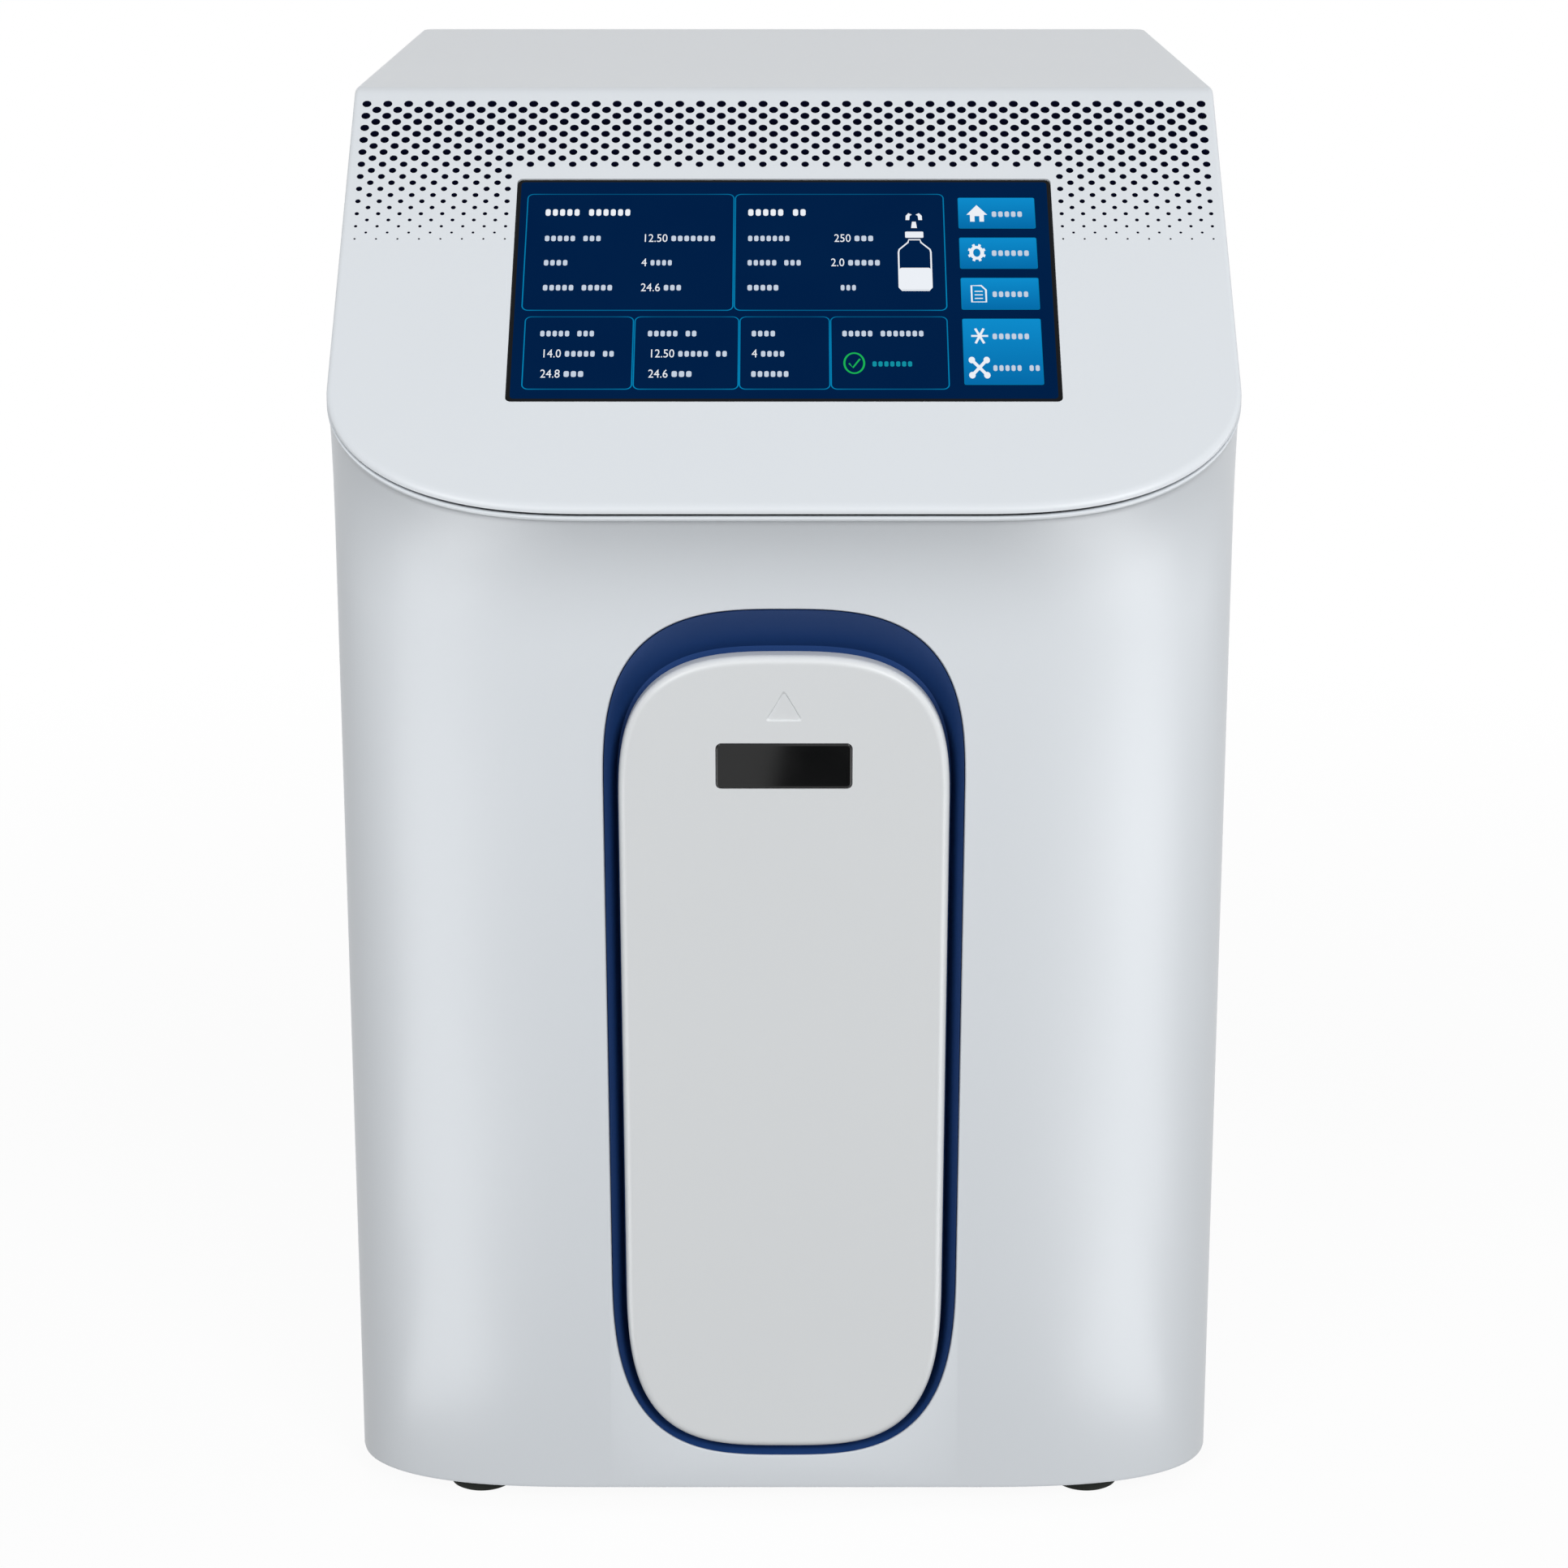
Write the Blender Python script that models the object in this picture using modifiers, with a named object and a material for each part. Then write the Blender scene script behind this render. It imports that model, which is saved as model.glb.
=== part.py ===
"""Benchtop ultrapure water system: separate pieces in metres, +Z up, front towards -Y, feet on Z = 0."""

import math

import bmesh
import bpy
from mathutils import Matrix

# Fits between pieces
SEAT_GAP = 0.0003
FACE_OVERRUN = 0.004
WELD_DISTANCE = 0.00002

# Cabinet
CABINET_DEPTH = 0.455
CABINET_HEIGHT = 0.523
LID_OVERHANG = 0.0007
LID_CORNER_DEPTH = 0.046
LID_THICKNESS = 0.0022
LID_EDGE_RADIUS = 0.0018
LID_GROOVE = 0.0005
PANEL_RUN = 0.167
PANEL_SLOPE = math.radians(38.06)
FOLD_RADIUS = 0.010
CASE_HALF_WIDTH = 0.1645
CASE_SETBACK = 0.0125
CASE_CORNER_DEPTH = 0.0415
CASE_WALL = 0.003
FLARE_DROP = 0.055
BEAD_HEIGHT = 0.0018
FRONT_FLAT_HALF_WIDTH = 0.066
BACK_CORNER_RADIUS = 0.006
LID_CORNER_POWER = 2.6
CASE_CORNER_POWER = 3.0
FLARE_POWER = 2.8
CORNER_STEPS = 14
BACK_CORNER_STEPS = 3
FOLD_STEPS = 4
FLARE_STEPS = 8

# Base pan and feet
FOOT_HEIGHT = 0.008
FOOT_RADIUS = 0.0125
FOOT_CHAMFER = 0.0012
FOOT_SOCKET_RADIUS = 0.004
FOOT_SOCKET_DEPTH = 0.003
FOOT_SIDE_SETBACK = 0.0475
FRONT_FOOT_SETBACK = 0.0255
REAR_FOOT_SETBACK = 0.0425
PAN_FLOOR = 0.002
PAN_WALL = 0.002
PAN_HEIGHT = 0.006

# Door surround: a scoop round the door and a floor behind it
RING_HALF_WIDTH = 0.0657
RING_FOOT_HALF_WIDTH = 0.0647
RING_LIP_DROP = 0.0396
RING_TOP_RUN = 0.0686
RING_BOTTOM = 0.0218
RING_BOTTOM_RUN = 0.0832
RING_TOP_POWER = 3.0
RING_BOTTOM_POWER = 3.15
RING_DEPTH = 0.0115
RING_FLOOR = 0.0025
FLANGE_WIDTH = 0.005
FLANGE_THICKNESS = 0.0025
OVAL_STEPS = 12

# Door
DOOR_HALF_WIDTH = 0.0602
DOOR_FOOT_HALF_WIDTH = 0.0593
SCOOP_HEIGHT = 0.017
DOOR_TOP_RUN = 0.0566
DOOR_BOTTOM = 0.0258
DOOR_BOTTOM_RUN = 0.0742
DOOR_TOP_POWER = 3.0
DOOR_BOTTOM_POWER = 3.3
DOOR_PROUD = 0.002
DOOR_THICKNESS = 0.009
DOOR_SKIN = 0.003
DOOR_EDGE_RADIUS = 0.003
DOOR_EDGE_STEPS = 3
DOOR_CLEARANCE = 0.0009
HINGE_BLOCK_HEIGHT = 0.016

# Window in the door
WINDOW_HALF_WIDTH = 0.0245
WINDOW_HEIGHT = 0.0165
WINDOW_DROP = 0.04075
WINDOW_CORNER_RADIUS = 0.0018
WINDOW_THICKNESS = 0.0015

# Door hinge
HINGE_RISE = 0.0062
HINGE_SETBACK = 0.0042
PIN_RADIUS = 0.0009
EAR_RADIUS = 0.0024
EAR_WIDTH = 0.005
EAR_NECK = 0.0038
EAR_CENTRE_X = 0.024
PIN_BITE = 0.0025
EAR_POCKET_CLEARANCE = 0.0005
EAR_POCKET_HEADROOM = 0.0021

# Door catch
MAGNET_WIDTH = 0.018
MAGNET_HEIGHT = 0.008
STRIKE_THICKNESS = 0.0015
STRIKE_DROP = 0.0105

# Bay behind the door
BAY_HALF_WIDTH = 0.050
BAY_BOTTOM = 0.045
BAY_TOP_DROP = 0.0176
BAY_CORNER_RUN = 0.020
BAY_CORNER_POWER = 4.0
BAY_MARGIN = 0.002
BAY_DEPTH = 0.082
BAY_WALL = 0.002

# Cartridges and their head
CARTRIDGE_RADIUS = 0.0225
CARTRIDGE_SPREAD = 0.0255
CARTRIDGE_FRONT_GAP = 0.009
CARTRIDGE_BOTTOM = 0.068
CARTRIDGE_TOP_DROP = 0.036
CARTRIDGE_SHOULDER = 0.010
CARTRIDGE_NECK_RADIUS = 0.013
CARTRIDGE_NECK_HEIGHT = 0.023
CARTRIDGE_CAP_RADIUS = 0.0235
CARTRIDGE_CAP_HEIGHT = 0.018
GRIP_HALF_LENGTH = 0.016
GRIP_THICKNESS = 0.005
GRIP_HEIGHT = 0.012
HEAD_BOTTOM_GAP = 0.008
HEAD_DEPTH = 0.054

# Screen in the sloping panel
SCREEN_HALF_WIDTH = 0.1002
SCREEN_START = 0.0498
SCREEN_END = 0.1619
SCREEN_CORNER_RADIUS = 0.002
GLASS_THICKNESS = 0.0018
GLASS_SINK = 0.0002
MODULE_MARGIN = 0.0022
MODULE_THICKNESS = 0.008
BOARD_HALF_WIDTH = 0.078
BOARD_HALF_LENGTH = 0.040
BOARD_THICKNESS = 0.0016
CHIP_HALF_SIZE = 0.011
CHIP_HEIGHT = 0.003
SHIELD_HALF_LENGTH = 0.026
SHIELD_HALF_WIDTH = 0.016
SHIELD_HEIGHT = 0.009

# Dust filter behind the perforations
FILTER_THICKNESS = 0.003
FILTER_START = 0.004
FILTER_THROAT_END = 0.0468
FILTER_ARM_END = 0.086
FILTER_EDGE_MARGIN = 0.0008
FILTER_ARM_INNER = 0.1030

# Rear panel, sunk into the case
REAR_OPENING_SIDE_MARGIN = 0.0345
REAR_OPENING_BOTTOM = 0.038
REAR_OPENING_TOP_DROP = 0.081
REAR_RECESS = 0.0205
REAR_TRAY_MARGIN = 0.004
REAR_TRAY_WALL = 0.002
SCREW_INSET = 0.010
SCREW_HEAD_RADIUS = 0.0035
SCREW_HEAD_HEIGHT = 0.0022
SCREW_SHANK_RADIUS = 0.0018
SCREW_SHANK_LENGTH = 0.008

# Fan
FAN_X = 0.062
FAN_DROP = 0.070
FAN_HALF_SIZE = 0.046
FAN_DEPTH = 0.025
FAN_BORE_RADIUS = 0.0430
FAN_CORNER_RADIUS = 0.005
HUB_RADIUS = 0.0175
HUB_CUP_RADIUS = 0.0165
HUB_CUP_DEPTH = 0.006
HUB_DEPTH = 0.016
BLADE_TIP_GAP = 0.0015
BLADE_COUNT = 7
BLADE_CHORD = 0.019
BLADE_THICKNESS = 0.0014
BLADE_PITCH = math.radians(38.0)
BLADE_ROOT_SINK = 0.002
SPIDER_ARM_WIDTH = 0.006
SPIDER_ARM_THICKNESS = 0.003
SPIDER_ARMS = 3
GUARD_WIRE_RADIUS = 0.0011
GUARD_RING_SPACING = 0.0095
GUARD_RINGS = 4
GUARD_SPOKES = 4

# Power inlet and switch
INLET_X = -0.092
INLET_Z = 0.074
INLET_FLANGE_HALF_WIDTH = 0.025
INLET_FLANGE_HALF_HEIGHT = 0.0155
INLET_FLANGE_THICKNESS = 0.003
INLET_BODY_HALF_WIDTH = 0.0155
INLET_BODY_HALF_HEIGHT = 0.0115
INLET_BODY_DEPTH = 0.020
INLET_SOCKET_HALF_WIDTH = 0.0123
INLET_SOCKET_HALF_HEIGHT = 0.0085
INLET_SOCKET_DEPTH = 0.0165
BLADE_HALF_THICKNESS = 0.001
BLADE_HALF_HEIGHT = 0.002
CONTACT_LENGTH = 0.013
CONTACT_SPACING = 0.007
EARTH_CONTACT_RISE = 0.0035
SWITCH_Z = 0.122
SWITCH_FLANGE_HALF_WIDTH = 0.0125
SWITCH_FLANGE_HALF_HEIGHT = 0.0165
SWITCH_FLANGE_THICKNESS = 0.002
SWITCH_BODY_HALF_WIDTH = 0.0100
SWITCH_BODY_HALF_HEIGHT = 0.0142
SWITCH_BODY_DEPTH = 0.020
SWITCH_HOLE_HALF_WIDTH = 0.0082
SWITCH_HOLE_HALF_HEIGHT = 0.0122
SWITCH_HOLE_DEPTH = 0.008
ROCKER_SIDE_GAP = 0.0004
ROCKER_HALF_HEIGHT = 0.0110
ROCKER_RISE = 0.0055
ROCKER_DIP = 0.0018
ROCKER_BACK = 0.0030
ROCKER_SINK = 0.0010
ROCKER_TILT = math.radians(10.0)
ROCKER_AXIS_SINK = 0.0020

# Rear hose ports, named from left to right as seen from the front
PORT_Z = 0.082
PORT_FIRST_X = -0.030
PORT_SPACING = 0.040
PORT_NAMES = ("port_feed_water", "port_drain", "port_storage_tank", "port_product_water")
PORT_COLLAR_RADIUS = 0.0095
PORT_COLLAR_LENGTH = 0.005
PORT_BODY_RADIUS = 0.0080
PORT_BODY_LENGTH = 0.012
PORT_COLLET_RADIUS = 0.0055
PORT_COLLET_LENGTH = 0.0025
PORT_BORE_RADIUS = 0.0032
PORT_STUB_RADIUS = 0.0060
PORT_STUB_LENGTH = 0.016

# Inner frame and water train
CHASSIS_HALF_WIDTH = 0.152
CHASSIS_THICKNESS = 0.002
CHASSIS_FLANGE = 0.012
RO_X = -0.100
TRAIN_STANDOFF = 0.005
RO_RADIUS = 0.032
RO_CAP_RADIUS = 0.036
RO_CAP_HEIGHT = 0.030
RO_TUBE_LENGTH = 0.262
RO_NIPPLE_RADIUS = 0.0055
RO_NIPPLE_HEIGHT = 0.010
REACTOR_X = 0.106
REACTOR_RADIUS = 0.019
REACTOR_COLLAR_RADIUS = 0.023
REACTOR_COLLAR_HEIGHT = 0.014
REACTOR_HEIGHT = 0.290
PUMP_X = -0.018
PUMP_SETBACK = 0.080
PUMP_AXIS_HEIGHT = 0.034
MOTOR_RADIUS = 0.027
MOTOR_LENGTH = 0.092
MOTOR_SADDLE_HALF_WIDTH = 0.022
MOTOR_SADDLE_LENGTH = 0.060
PUMP_HEAD_HALF_WIDTH = 0.030
PUMP_HEAD_HEIGHT = 0.062
PUMP_HEAD_LENGTH = 0.040
SUPPLY_X = 0.095
SUPPLY_BACK_GAP = 0.035
SUPPLY_WIDTH = 0.100
SUPPLY_LENGTH = 0.150
SUPPLY_HEIGHT = 0.046
VALVE_HALF_WIDTH = 0.014
VALVE_HEIGHT = 0.040
VALVE_LENGTH = 0.034
COIL_RADIUS = 0.011
COIL_LENGTH = 0.026
TUBE_RADIUS = 0.004
TUBE_BEND_RADIUS = 0.026
TUBE_BEND_STEPS = 5

# Places that several pieces share
LID_HALF_WIDTH = CASE_HALF_WIDTH + LID_OVERHANG
LIP_Z = CABINET_HEIGHT - PANEL_RUN * math.tan(PANEL_SLOPE)
RING_TOP = LIP_Z - RING_LIP_DROP
DOOR_TOP = RING_TOP - SCOOP_HEIGHT
WINDOW_CENTRE_Z = DOOR_TOP - WINDOW_DROP
BAY_TOP = DOOR_TOP - BAY_TOP_DROP
CARTRIDGE_TOP = BAY_TOP - CARTRIDGE_TOP_DROP
REAR_OPENING_HALF_WIDTH = CASE_HALF_WIDTH - REAR_OPENING_SIDE_MARGIN
REAR_OPENING_TOP = CABINET_HEIGHT - REAR_OPENING_TOP_DROP
FAN_Z = REAR_OPENING_TOP - FAN_DROP
FOLD_Y = PANEL_RUN - CABINET_DEPTH / 2
LID_FRONT_Y = -CABINET_DEPTH / 2
CASE_FRONT_Y = LID_FRONT_Y + CASE_SETBACK
CASE_BACK_Y = CABINET_DEPTH / 2
DOOR_FRONT_Y = CASE_FRONT_Y - DOOR_PROUD
DOOR_BACK_Y = DOOR_FRONT_Y + DOOR_THICKNESS
RING_FLOOR_Y = CASE_FRONT_Y + RING_DEPTH
RING_BACK_Y = RING_FLOOR_Y + RING_FLOOR
HINGE_Y = DOOR_FRONT_Y + HINGE_SETBACK
HINGE_Z = DOOR_BOTTOM + HINGE_RISE
PAN_BOTTOM_Z = FOOT_HEIGHT + 2 * SEAT_GAP
PAN_FLOOR_Z = PAN_BOTTOM_Z + PAN_FLOOR
DECK_Z = PAN_FLOOR_Z + SEAT_GAP
BAY_FRONT_Y = RING_BACK_Y + SEAT_GAP
BAY_BACK_Y = BAY_FRONT_Y + BAY_DEPTH
BAY_CEILING_Z = BAY_TOP + BAY_MARGIN
CARTRIDGE_Y = BAY_FRONT_Y + CARTRIDGE_FRONT_GAP + CARTRIDGE_RADIUS
CHASSIS_FRONT_Y = BAY_BACK_Y + BAY_WALL + SEAT_GAP
CHASSIS_TOP_Z = BAY_CEILING_Z + BAY_WALL
TRAIN_FRONT_Y = CHASSIS_FRONT_Y + CHASSIS_THICKNESS + CHASSIS_FLANGE + TRAIN_STANDOFF
RO_Y = TRAIN_FRONT_Y + RO_CAP_RADIUS
REACTOR_Y = TRAIN_FRONT_Y + REACTOR_COLLAR_RADIUS
PUMP_Y = TRAIN_FRONT_Y + PUMP_SETBACK + PUMP_HEAD_LENGTH
REAR_PANEL_BACK_Y = CASE_BACK_Y - REAR_RECESS
REAR_PANEL_FRONT_Y = REAR_PANEL_BACK_Y - REAR_TRAY_WALL
REAR_FACE_Y = REAR_PANEL_BACK_Y + SEAT_GAP
SUPPLY_Y = REAR_PANEL_FRONT_Y - SUPPLY_BACK_GAP - SUPPLY_LENGTH / 2

PARTS = "ultrapure_water_system"
CUTTERS = "cutters"


def srgb(red, green, blue):
    """Linear colour of an 8-bit screen colour."""
    shares = (channel / 255 for channel in (red, green, blue))
    return tuple(s / 12.92 if s <= 0.04045 else ((s + 0.055) / 1.055) ** 2.4 for s in shares) + (1.0,)


FINISHES = {
    "white_shell": (srgb(222, 226, 228), 0.38, 0.0),
    "navy_plastic": (srgb(10, 30, 78), 0.42, 0.0),
    "black_gloss": (srgb(20, 20, 22), 0.08, 0.0),
    "screen_glass": (srgb(4, 24, 60), 0.06, 0.0),
    "dark_plastic": (srgb(40, 43, 44), 0.5, 0.0),
    "rubber": (srgb(44, 47, 43), 0.8, 0.0),
    "grey_plastic": (srgb(150, 155, 160), 0.45, 0.0),
    "clear_housing": (srgb(196, 210, 222), 0.25, 0.0),
    "blue_cap": (srgb(30, 88, 160), 0.4, 0.0),
    "steel": (srgb(172, 176, 180), 0.35, 1.0),
    "coated_steel": (srgb(205, 208, 210), 0.45, 0.0),
    "board_green": (srgb(24, 84, 52), 0.5, 0.0),
    "filter_foam": (srgb(6, 10, 34), 0.9, 0.0),
    "tube_white": (srgb(232, 234, 236), 0.35, 0.0),
}


def clear_scene():
    """Remove the objects that the scene starts with."""
    for leftover in list(bpy.data.objects):
        bpy.data.objects.remove(leftover, do_unlink=True)


def collection(name):
    """The collection of that name, linked to the scene."""
    found = bpy.data.collections.get(name)
    if found is None:
        found = bpy.data.collections.new(name)
        bpy.context.scene.collection.children.link(found)
    return found


def finish(name):
    """A material made from the finish of that name."""
    colour, roughness, metallic = FINISHES[name]
    made = bpy.data.materials.new(name)
    made.use_nodes = True
    shader = made.node_tree.nodes["Principled BSDF"]
    shader.inputs["Base Color"].default_value = colour
    shader.inputs["Roughness"].default_value = roughness
    shader.inputs["Metallic"].default_value = metallic
    made.diffuse_color = colour
    return made


def mesh_from(shape, name):
    """A mesh holding a bmesh, which is freed."""
    bmesh.ops.recalc_face_normals(shape, faces=shape.faces)
    mesh = bpy.data.meshes.new(name)
    shape.to_mesh(mesh)
    shape.free()
    return mesh


def piece(name, mesh, look, place=(0, 0, 0), turn=(0, 0, 0), parent=None):
    """One visible part of the machine."""
    made = bpy.data.objects.new(name, mesh)
    made.location = place
    made.rotation_euler = turn
    made.parent = parent
    mesh.materials.append(finish(look))
    collection(PARTS).objects.link(made)
    return made


def cutter(name, mesh, place=(0, 0, 0), turn=(0, 0, 0), parent=None):
    """A shape that cuts or joins another and isn't itself a part."""
    made = bpy.data.objects.new(name, mesh)
    made.location = place
    made.rotation_euler = turn
    made.parent = parent
    made.hide_render = True
    made.display_type = "WIRE"
    collection(CUTTERS).objects.link(made)
    return made


def combine(target, tool, operation="DIFFERENCE"):
    """Add an exact Boolean of the tool to the target."""
    step = target.modifiers.new(f"{operation.title()} {tool.name}", "BOOLEAN")
    step.operation = operation
    step.solver = "EXACT"
    step.object = tool
    return step


def bake(target):
    """Turn a part's modifiers into its own mesh."""
    bpy.context.view_layer.update()
    evaluated = target.evaluated_get(bpy.context.evaluated_depsgraph_get())
    mesh = bpy.data.meshes.new_from_object(evaluated)
    target.modifiers.clear()
    target.data = mesh
    return target


def smooth(target, angle=math.radians(35)):
    """Shade a round part smooth, with its corners kept sharp."""
    target.data.shade_smooth()
    target.data.set_sharp_from_angle(angle=angle)
    return target


def box_mesh(name, low, high):
    """A box between two corners."""
    shape = bmesh.new()
    size = [b - a for a, b in zip(low, high)]
    centre = [(a + b) / 2 for a, b in zip(low, high)]
    matrix = Matrix.Translation(centre) @ Matrix.Diagonal((*size, 1))
    bmesh.ops.create_cube(shape, size=1, matrix=matrix)
    return mesh_from(shape, name)


def prism_mesh(name, outline, start, end, axis="Z"):
    """A flat outline drawn out along an axis: (x, y) along Z, (x, z) along Y, (y, z) along X."""
    place = {
        "Z": lambda a, b, c: (a, b, c),
        "Y": lambda a, b, c: (a, c, b),
        "X": lambda a, b, c: (c, a, b),
    }[axis]
    shape = bmesh.new()
    base = shape.faces.new([shape.verts.new(place(a, b, start)) for a, b in outline])
    lifted = bmesh.ops.extrude_face_region(shape, geom=[base])
    moved = [item for item in lifted["geom"] if isinstance(item, bmesh.types.BMVert)]
    bmesh.ops.translate(shape, verts=moved, vec=place(0, 0, end - start))
    return mesh_from(shape, name)


def rod_mesh(name, radius, start, end, axis="Z", segments=24):
    """A round bar along an axis."""
    outline = [
        (radius * math.cos(math.tau * i / segments), radius * math.sin(math.tau * i / segments))
        for i in range(segments)
    ]
    return prism_mesh(name, outline, start, end, axis)


def loft_mesh(name, rings):
    """A closed skin through rings of equal counts, the last ring joined to the first."""
    shape = bmesh.new()
    rows = [[shape.verts.new(point) for point in ring] for ring in rings]
    for row, following in zip(rows, rows[1:] + rows[:1]):
        for i, corner in enumerate(row):
            nearby = (i + 1) % len(row)
            shape.faces.new((corner, row[nearby], following[nearby], following[i]))
    return mesh_from(shape, name)


def turned(name, profile, look, place, turn=(0, 0, 0), steps=24, parent=None):
    """A part turned about its own Z axis from a profile of (radius, height), top to bottom."""
    mesh = bpy.data.meshes.new(name)
    points = [(radius, 0, height) for radius, height in profile]
    mesh.from_pydata(points, [(i, i + 1) for i in range(len(points) - 1)], [])
    made = piece(name, mesh, look, place, turn, parent)
    screw = made.modifiers.new("Turn", "SCREW")
    screw.axis = "Z"
    screw.angle = math.tau
    screw.steps = steps
    screw.render_steps = steps
    screw.use_merge_vertices = True
    screw.merge_threshold = WELD_DISTANCE
    bake(made)
    cleaned = bmesh.new()
    cleaned.from_mesh(made.data)
    bmesh.ops.remove_doubles(cleaned, verts=cleaned.verts, dist=WELD_DISTANCE)
    bmesh.ops.recalc_face_normals(cleaned, faces=cleaned.faces)
    cleaned.to_mesh(made.data)
    cleaned.free()
    return smooth(made)


def round_edges(target, width, steps, chosen):
    """Round the edges that the function chosen picks."""
    shape = bmesh.new()
    shape.from_mesh(target.data)
    edges = [edge for edge in shape.edges if chosen(edge)]
    bmesh.ops.bevel(
        shape, geom=edges, offset=width, segments=steps, profile=0.5, affect="EDGES", clamp_overlap=False
    )
    bmesh.ops.recalc_face_normals(shape, faces=shape.faces)
    shape.to_mesh(target.data)
    shape.free()
    return target


def rounded_rectangle(half_width, low, high, radius, steps=3):
    """Outline of a rectangle with round corners, anticlockwise from its lower right."""
    corners = (
        (half_width - radius, low + radius, -0.25),
        (half_width - radius, high - radius, 0.0),
        (-half_width + radius, high - radius, 0.25),
        (-half_width + radius, low + radius, 0.5),
    )
    outline = []
    for centre_x, centre_z, turn_share in corners:
        for i in range(steps + 1):
            angle = math.tau * (turn_share + 0.25 * i / steps)
            outline.append((centre_x + radius * math.cos(angle), centre_z + radius * math.sin(angle)))
    return outline


def oval(half_width, foot_half_width, top, top_run, top_power, bottom, bottom_run, bottom_power, grow=0.0):
    """Tall outline with superelliptic ends, anticlockwise from its right side, as (x, z)."""
    right = []
    for i in range(OVAL_STEPS):
        angle = math.pi / 2 * (i + 0.5) / OVAL_STEPS
        x = (foot_half_width + grow) * math.cos(math.pi / 2 - angle) ** (2 / bottom_power)
        z = bottom + bottom_run - (bottom_run + grow) * math.sin(math.pi / 2 - angle) ** (2 / bottom_power)
        right.append((x, z))
    for i in range(OVAL_STEPS):
        angle = math.pi / 2 * (i + 0.5) / OVAL_STEPS
        x = (half_width + grow) * math.cos(angle) ** (2 / top_power)
        z = top - top_run + (top_run + grow) * math.sin(angle) ** (2 / top_power)
        right.append((x, z))
    return right + [(-x, z) for x, z in reversed(right)]


def ring_outline(grow=0.0):
    """Outline of the door surround on the front face."""
    return oval(
        RING_HALF_WIDTH, RING_FOOT_HALF_WIDTH, RING_TOP, RING_TOP_RUN, RING_TOP_POWER,
        RING_BOTTOM, RING_BOTTOM_RUN, RING_BOTTOM_POWER, grow,
    )


def door_outline(grow=0.0):
    """Outline of the door."""
    return oval(
        DOOR_HALF_WIDTH, DOOR_FOOT_HALF_WIDTH, DOOR_TOP, DOOR_TOP_RUN, DOOR_TOP_POWER,
        DOOR_BOTTOM, DOOR_BOTTOM_RUN, DOOR_BOTTOM_POWER, grow,
    )


def bay_outline():
    """Outline of the opening into the bay."""
    return oval(
        BAY_HALF_WIDTH, BAY_HALF_WIDTH, BAY_TOP, BAY_CORNER_RUN, BAY_CORNER_POWER,
        BAY_BOTTOM, BAY_CORNER_RUN, BAY_CORNER_POWER,
    )


def roof_height(y, depth):
    """Height of the folded roof at the level place y, depth below its outer face."""
    bend_start = FOLD_Y + FOLD_RADIUS * math.tan(PANEL_SLOPE / 2)
    bend_radius = FOLD_RADIUS - depth
    if y >= bend_start:
        return CABINET_HEIGHT - depth
    if y <= bend_start - bend_radius * math.sin(PANEL_SLOPE):
        return CABINET_HEIGHT - depth / math.cos(PANEL_SLOPE) - (FOLD_Y - y) * math.tan(PANEL_SLOPE)
    return CABINET_HEIGHT - FOLD_RADIUS + math.sqrt(bend_radius**2 - (bend_start - y) ** 2)


def fold_stations(depth):
    """Level places across the fold, back to front, depth below its outer face."""
    bend_start = FOLD_Y + FOLD_RADIUS * math.tan(PANEL_SLOPE / 2)
    return [
        bend_start - (FOLD_RADIUS - depth) * math.sin(PANEL_SLOPE * i / FOLD_STEPS)
        for i in range(FOLD_STEPS + 1)
    ]


def panel_point(x, along, depth):
    """A point of the sloping panel: along it from the fold line, depth below its outer face."""
    y = FOLD_Y - along * math.cos(PANEL_SLOPE) + depth * math.sin(PANEL_SLOPE)
    z = CABINET_HEIGHT - along * math.sin(PANEL_SLOPE) - depth * math.cos(PANEL_SLOPE)
    return (x, y, z)


def cabinet_outline(half_width, front_y, back_y, corner_depth, power, back_radius, stations=()):
    """Outline of the cabinet from above, anticlockwise from the right end of its flat front."""
    right = []
    for i in range(CORNER_STEPS + 1):
        angle = math.pi / 2 * i / CORNER_STEPS
        run = (half_width - FRONT_FLAT_HALF_WIDTH) * math.sin(angle) ** (2 / power)
        right.append((FRONT_FLAT_HALF_WIDTH + run, front_y + corner_depth * (1 - math.cos(angle))))
    right += [(half_width, y) for y in reversed(stations)]
    for i in range(BACK_CORNER_STEPS + 1):
        angle = math.pi / 2 * i / BACK_CORNER_STEPS
        right.append((
            half_width - back_radius * (1 - math.cos(angle)),
            back_y - back_radius * (1 - math.sin(angle)),
        ))
    return right + [(-x, y) for x, y in reversed(right)]


def lid_outline(stations=()):
    """Outline of the lid, which the case flares out to meet."""
    return cabinet_outline(
        LID_HALF_WIDTH, LID_FRONT_Y, CASE_BACK_Y, LID_CORNER_DEPTH, LID_CORNER_POWER,
        BACK_CORNER_RADIUS, stations,
    )


def case_outline(inset=0.0, stations=()):
    """Outline of the case below its flare."""
    return cabinet_outline(
        CASE_HALF_WIDTH - inset, CASE_FRONT_Y + inset, CASE_BACK_Y - inset, CASE_CORNER_DEPTH,
        CASE_CORNER_POWER, BACK_CORNER_RADIUS - min(inset, BACK_CORNER_RADIUS / 2), stations,
    )


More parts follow.
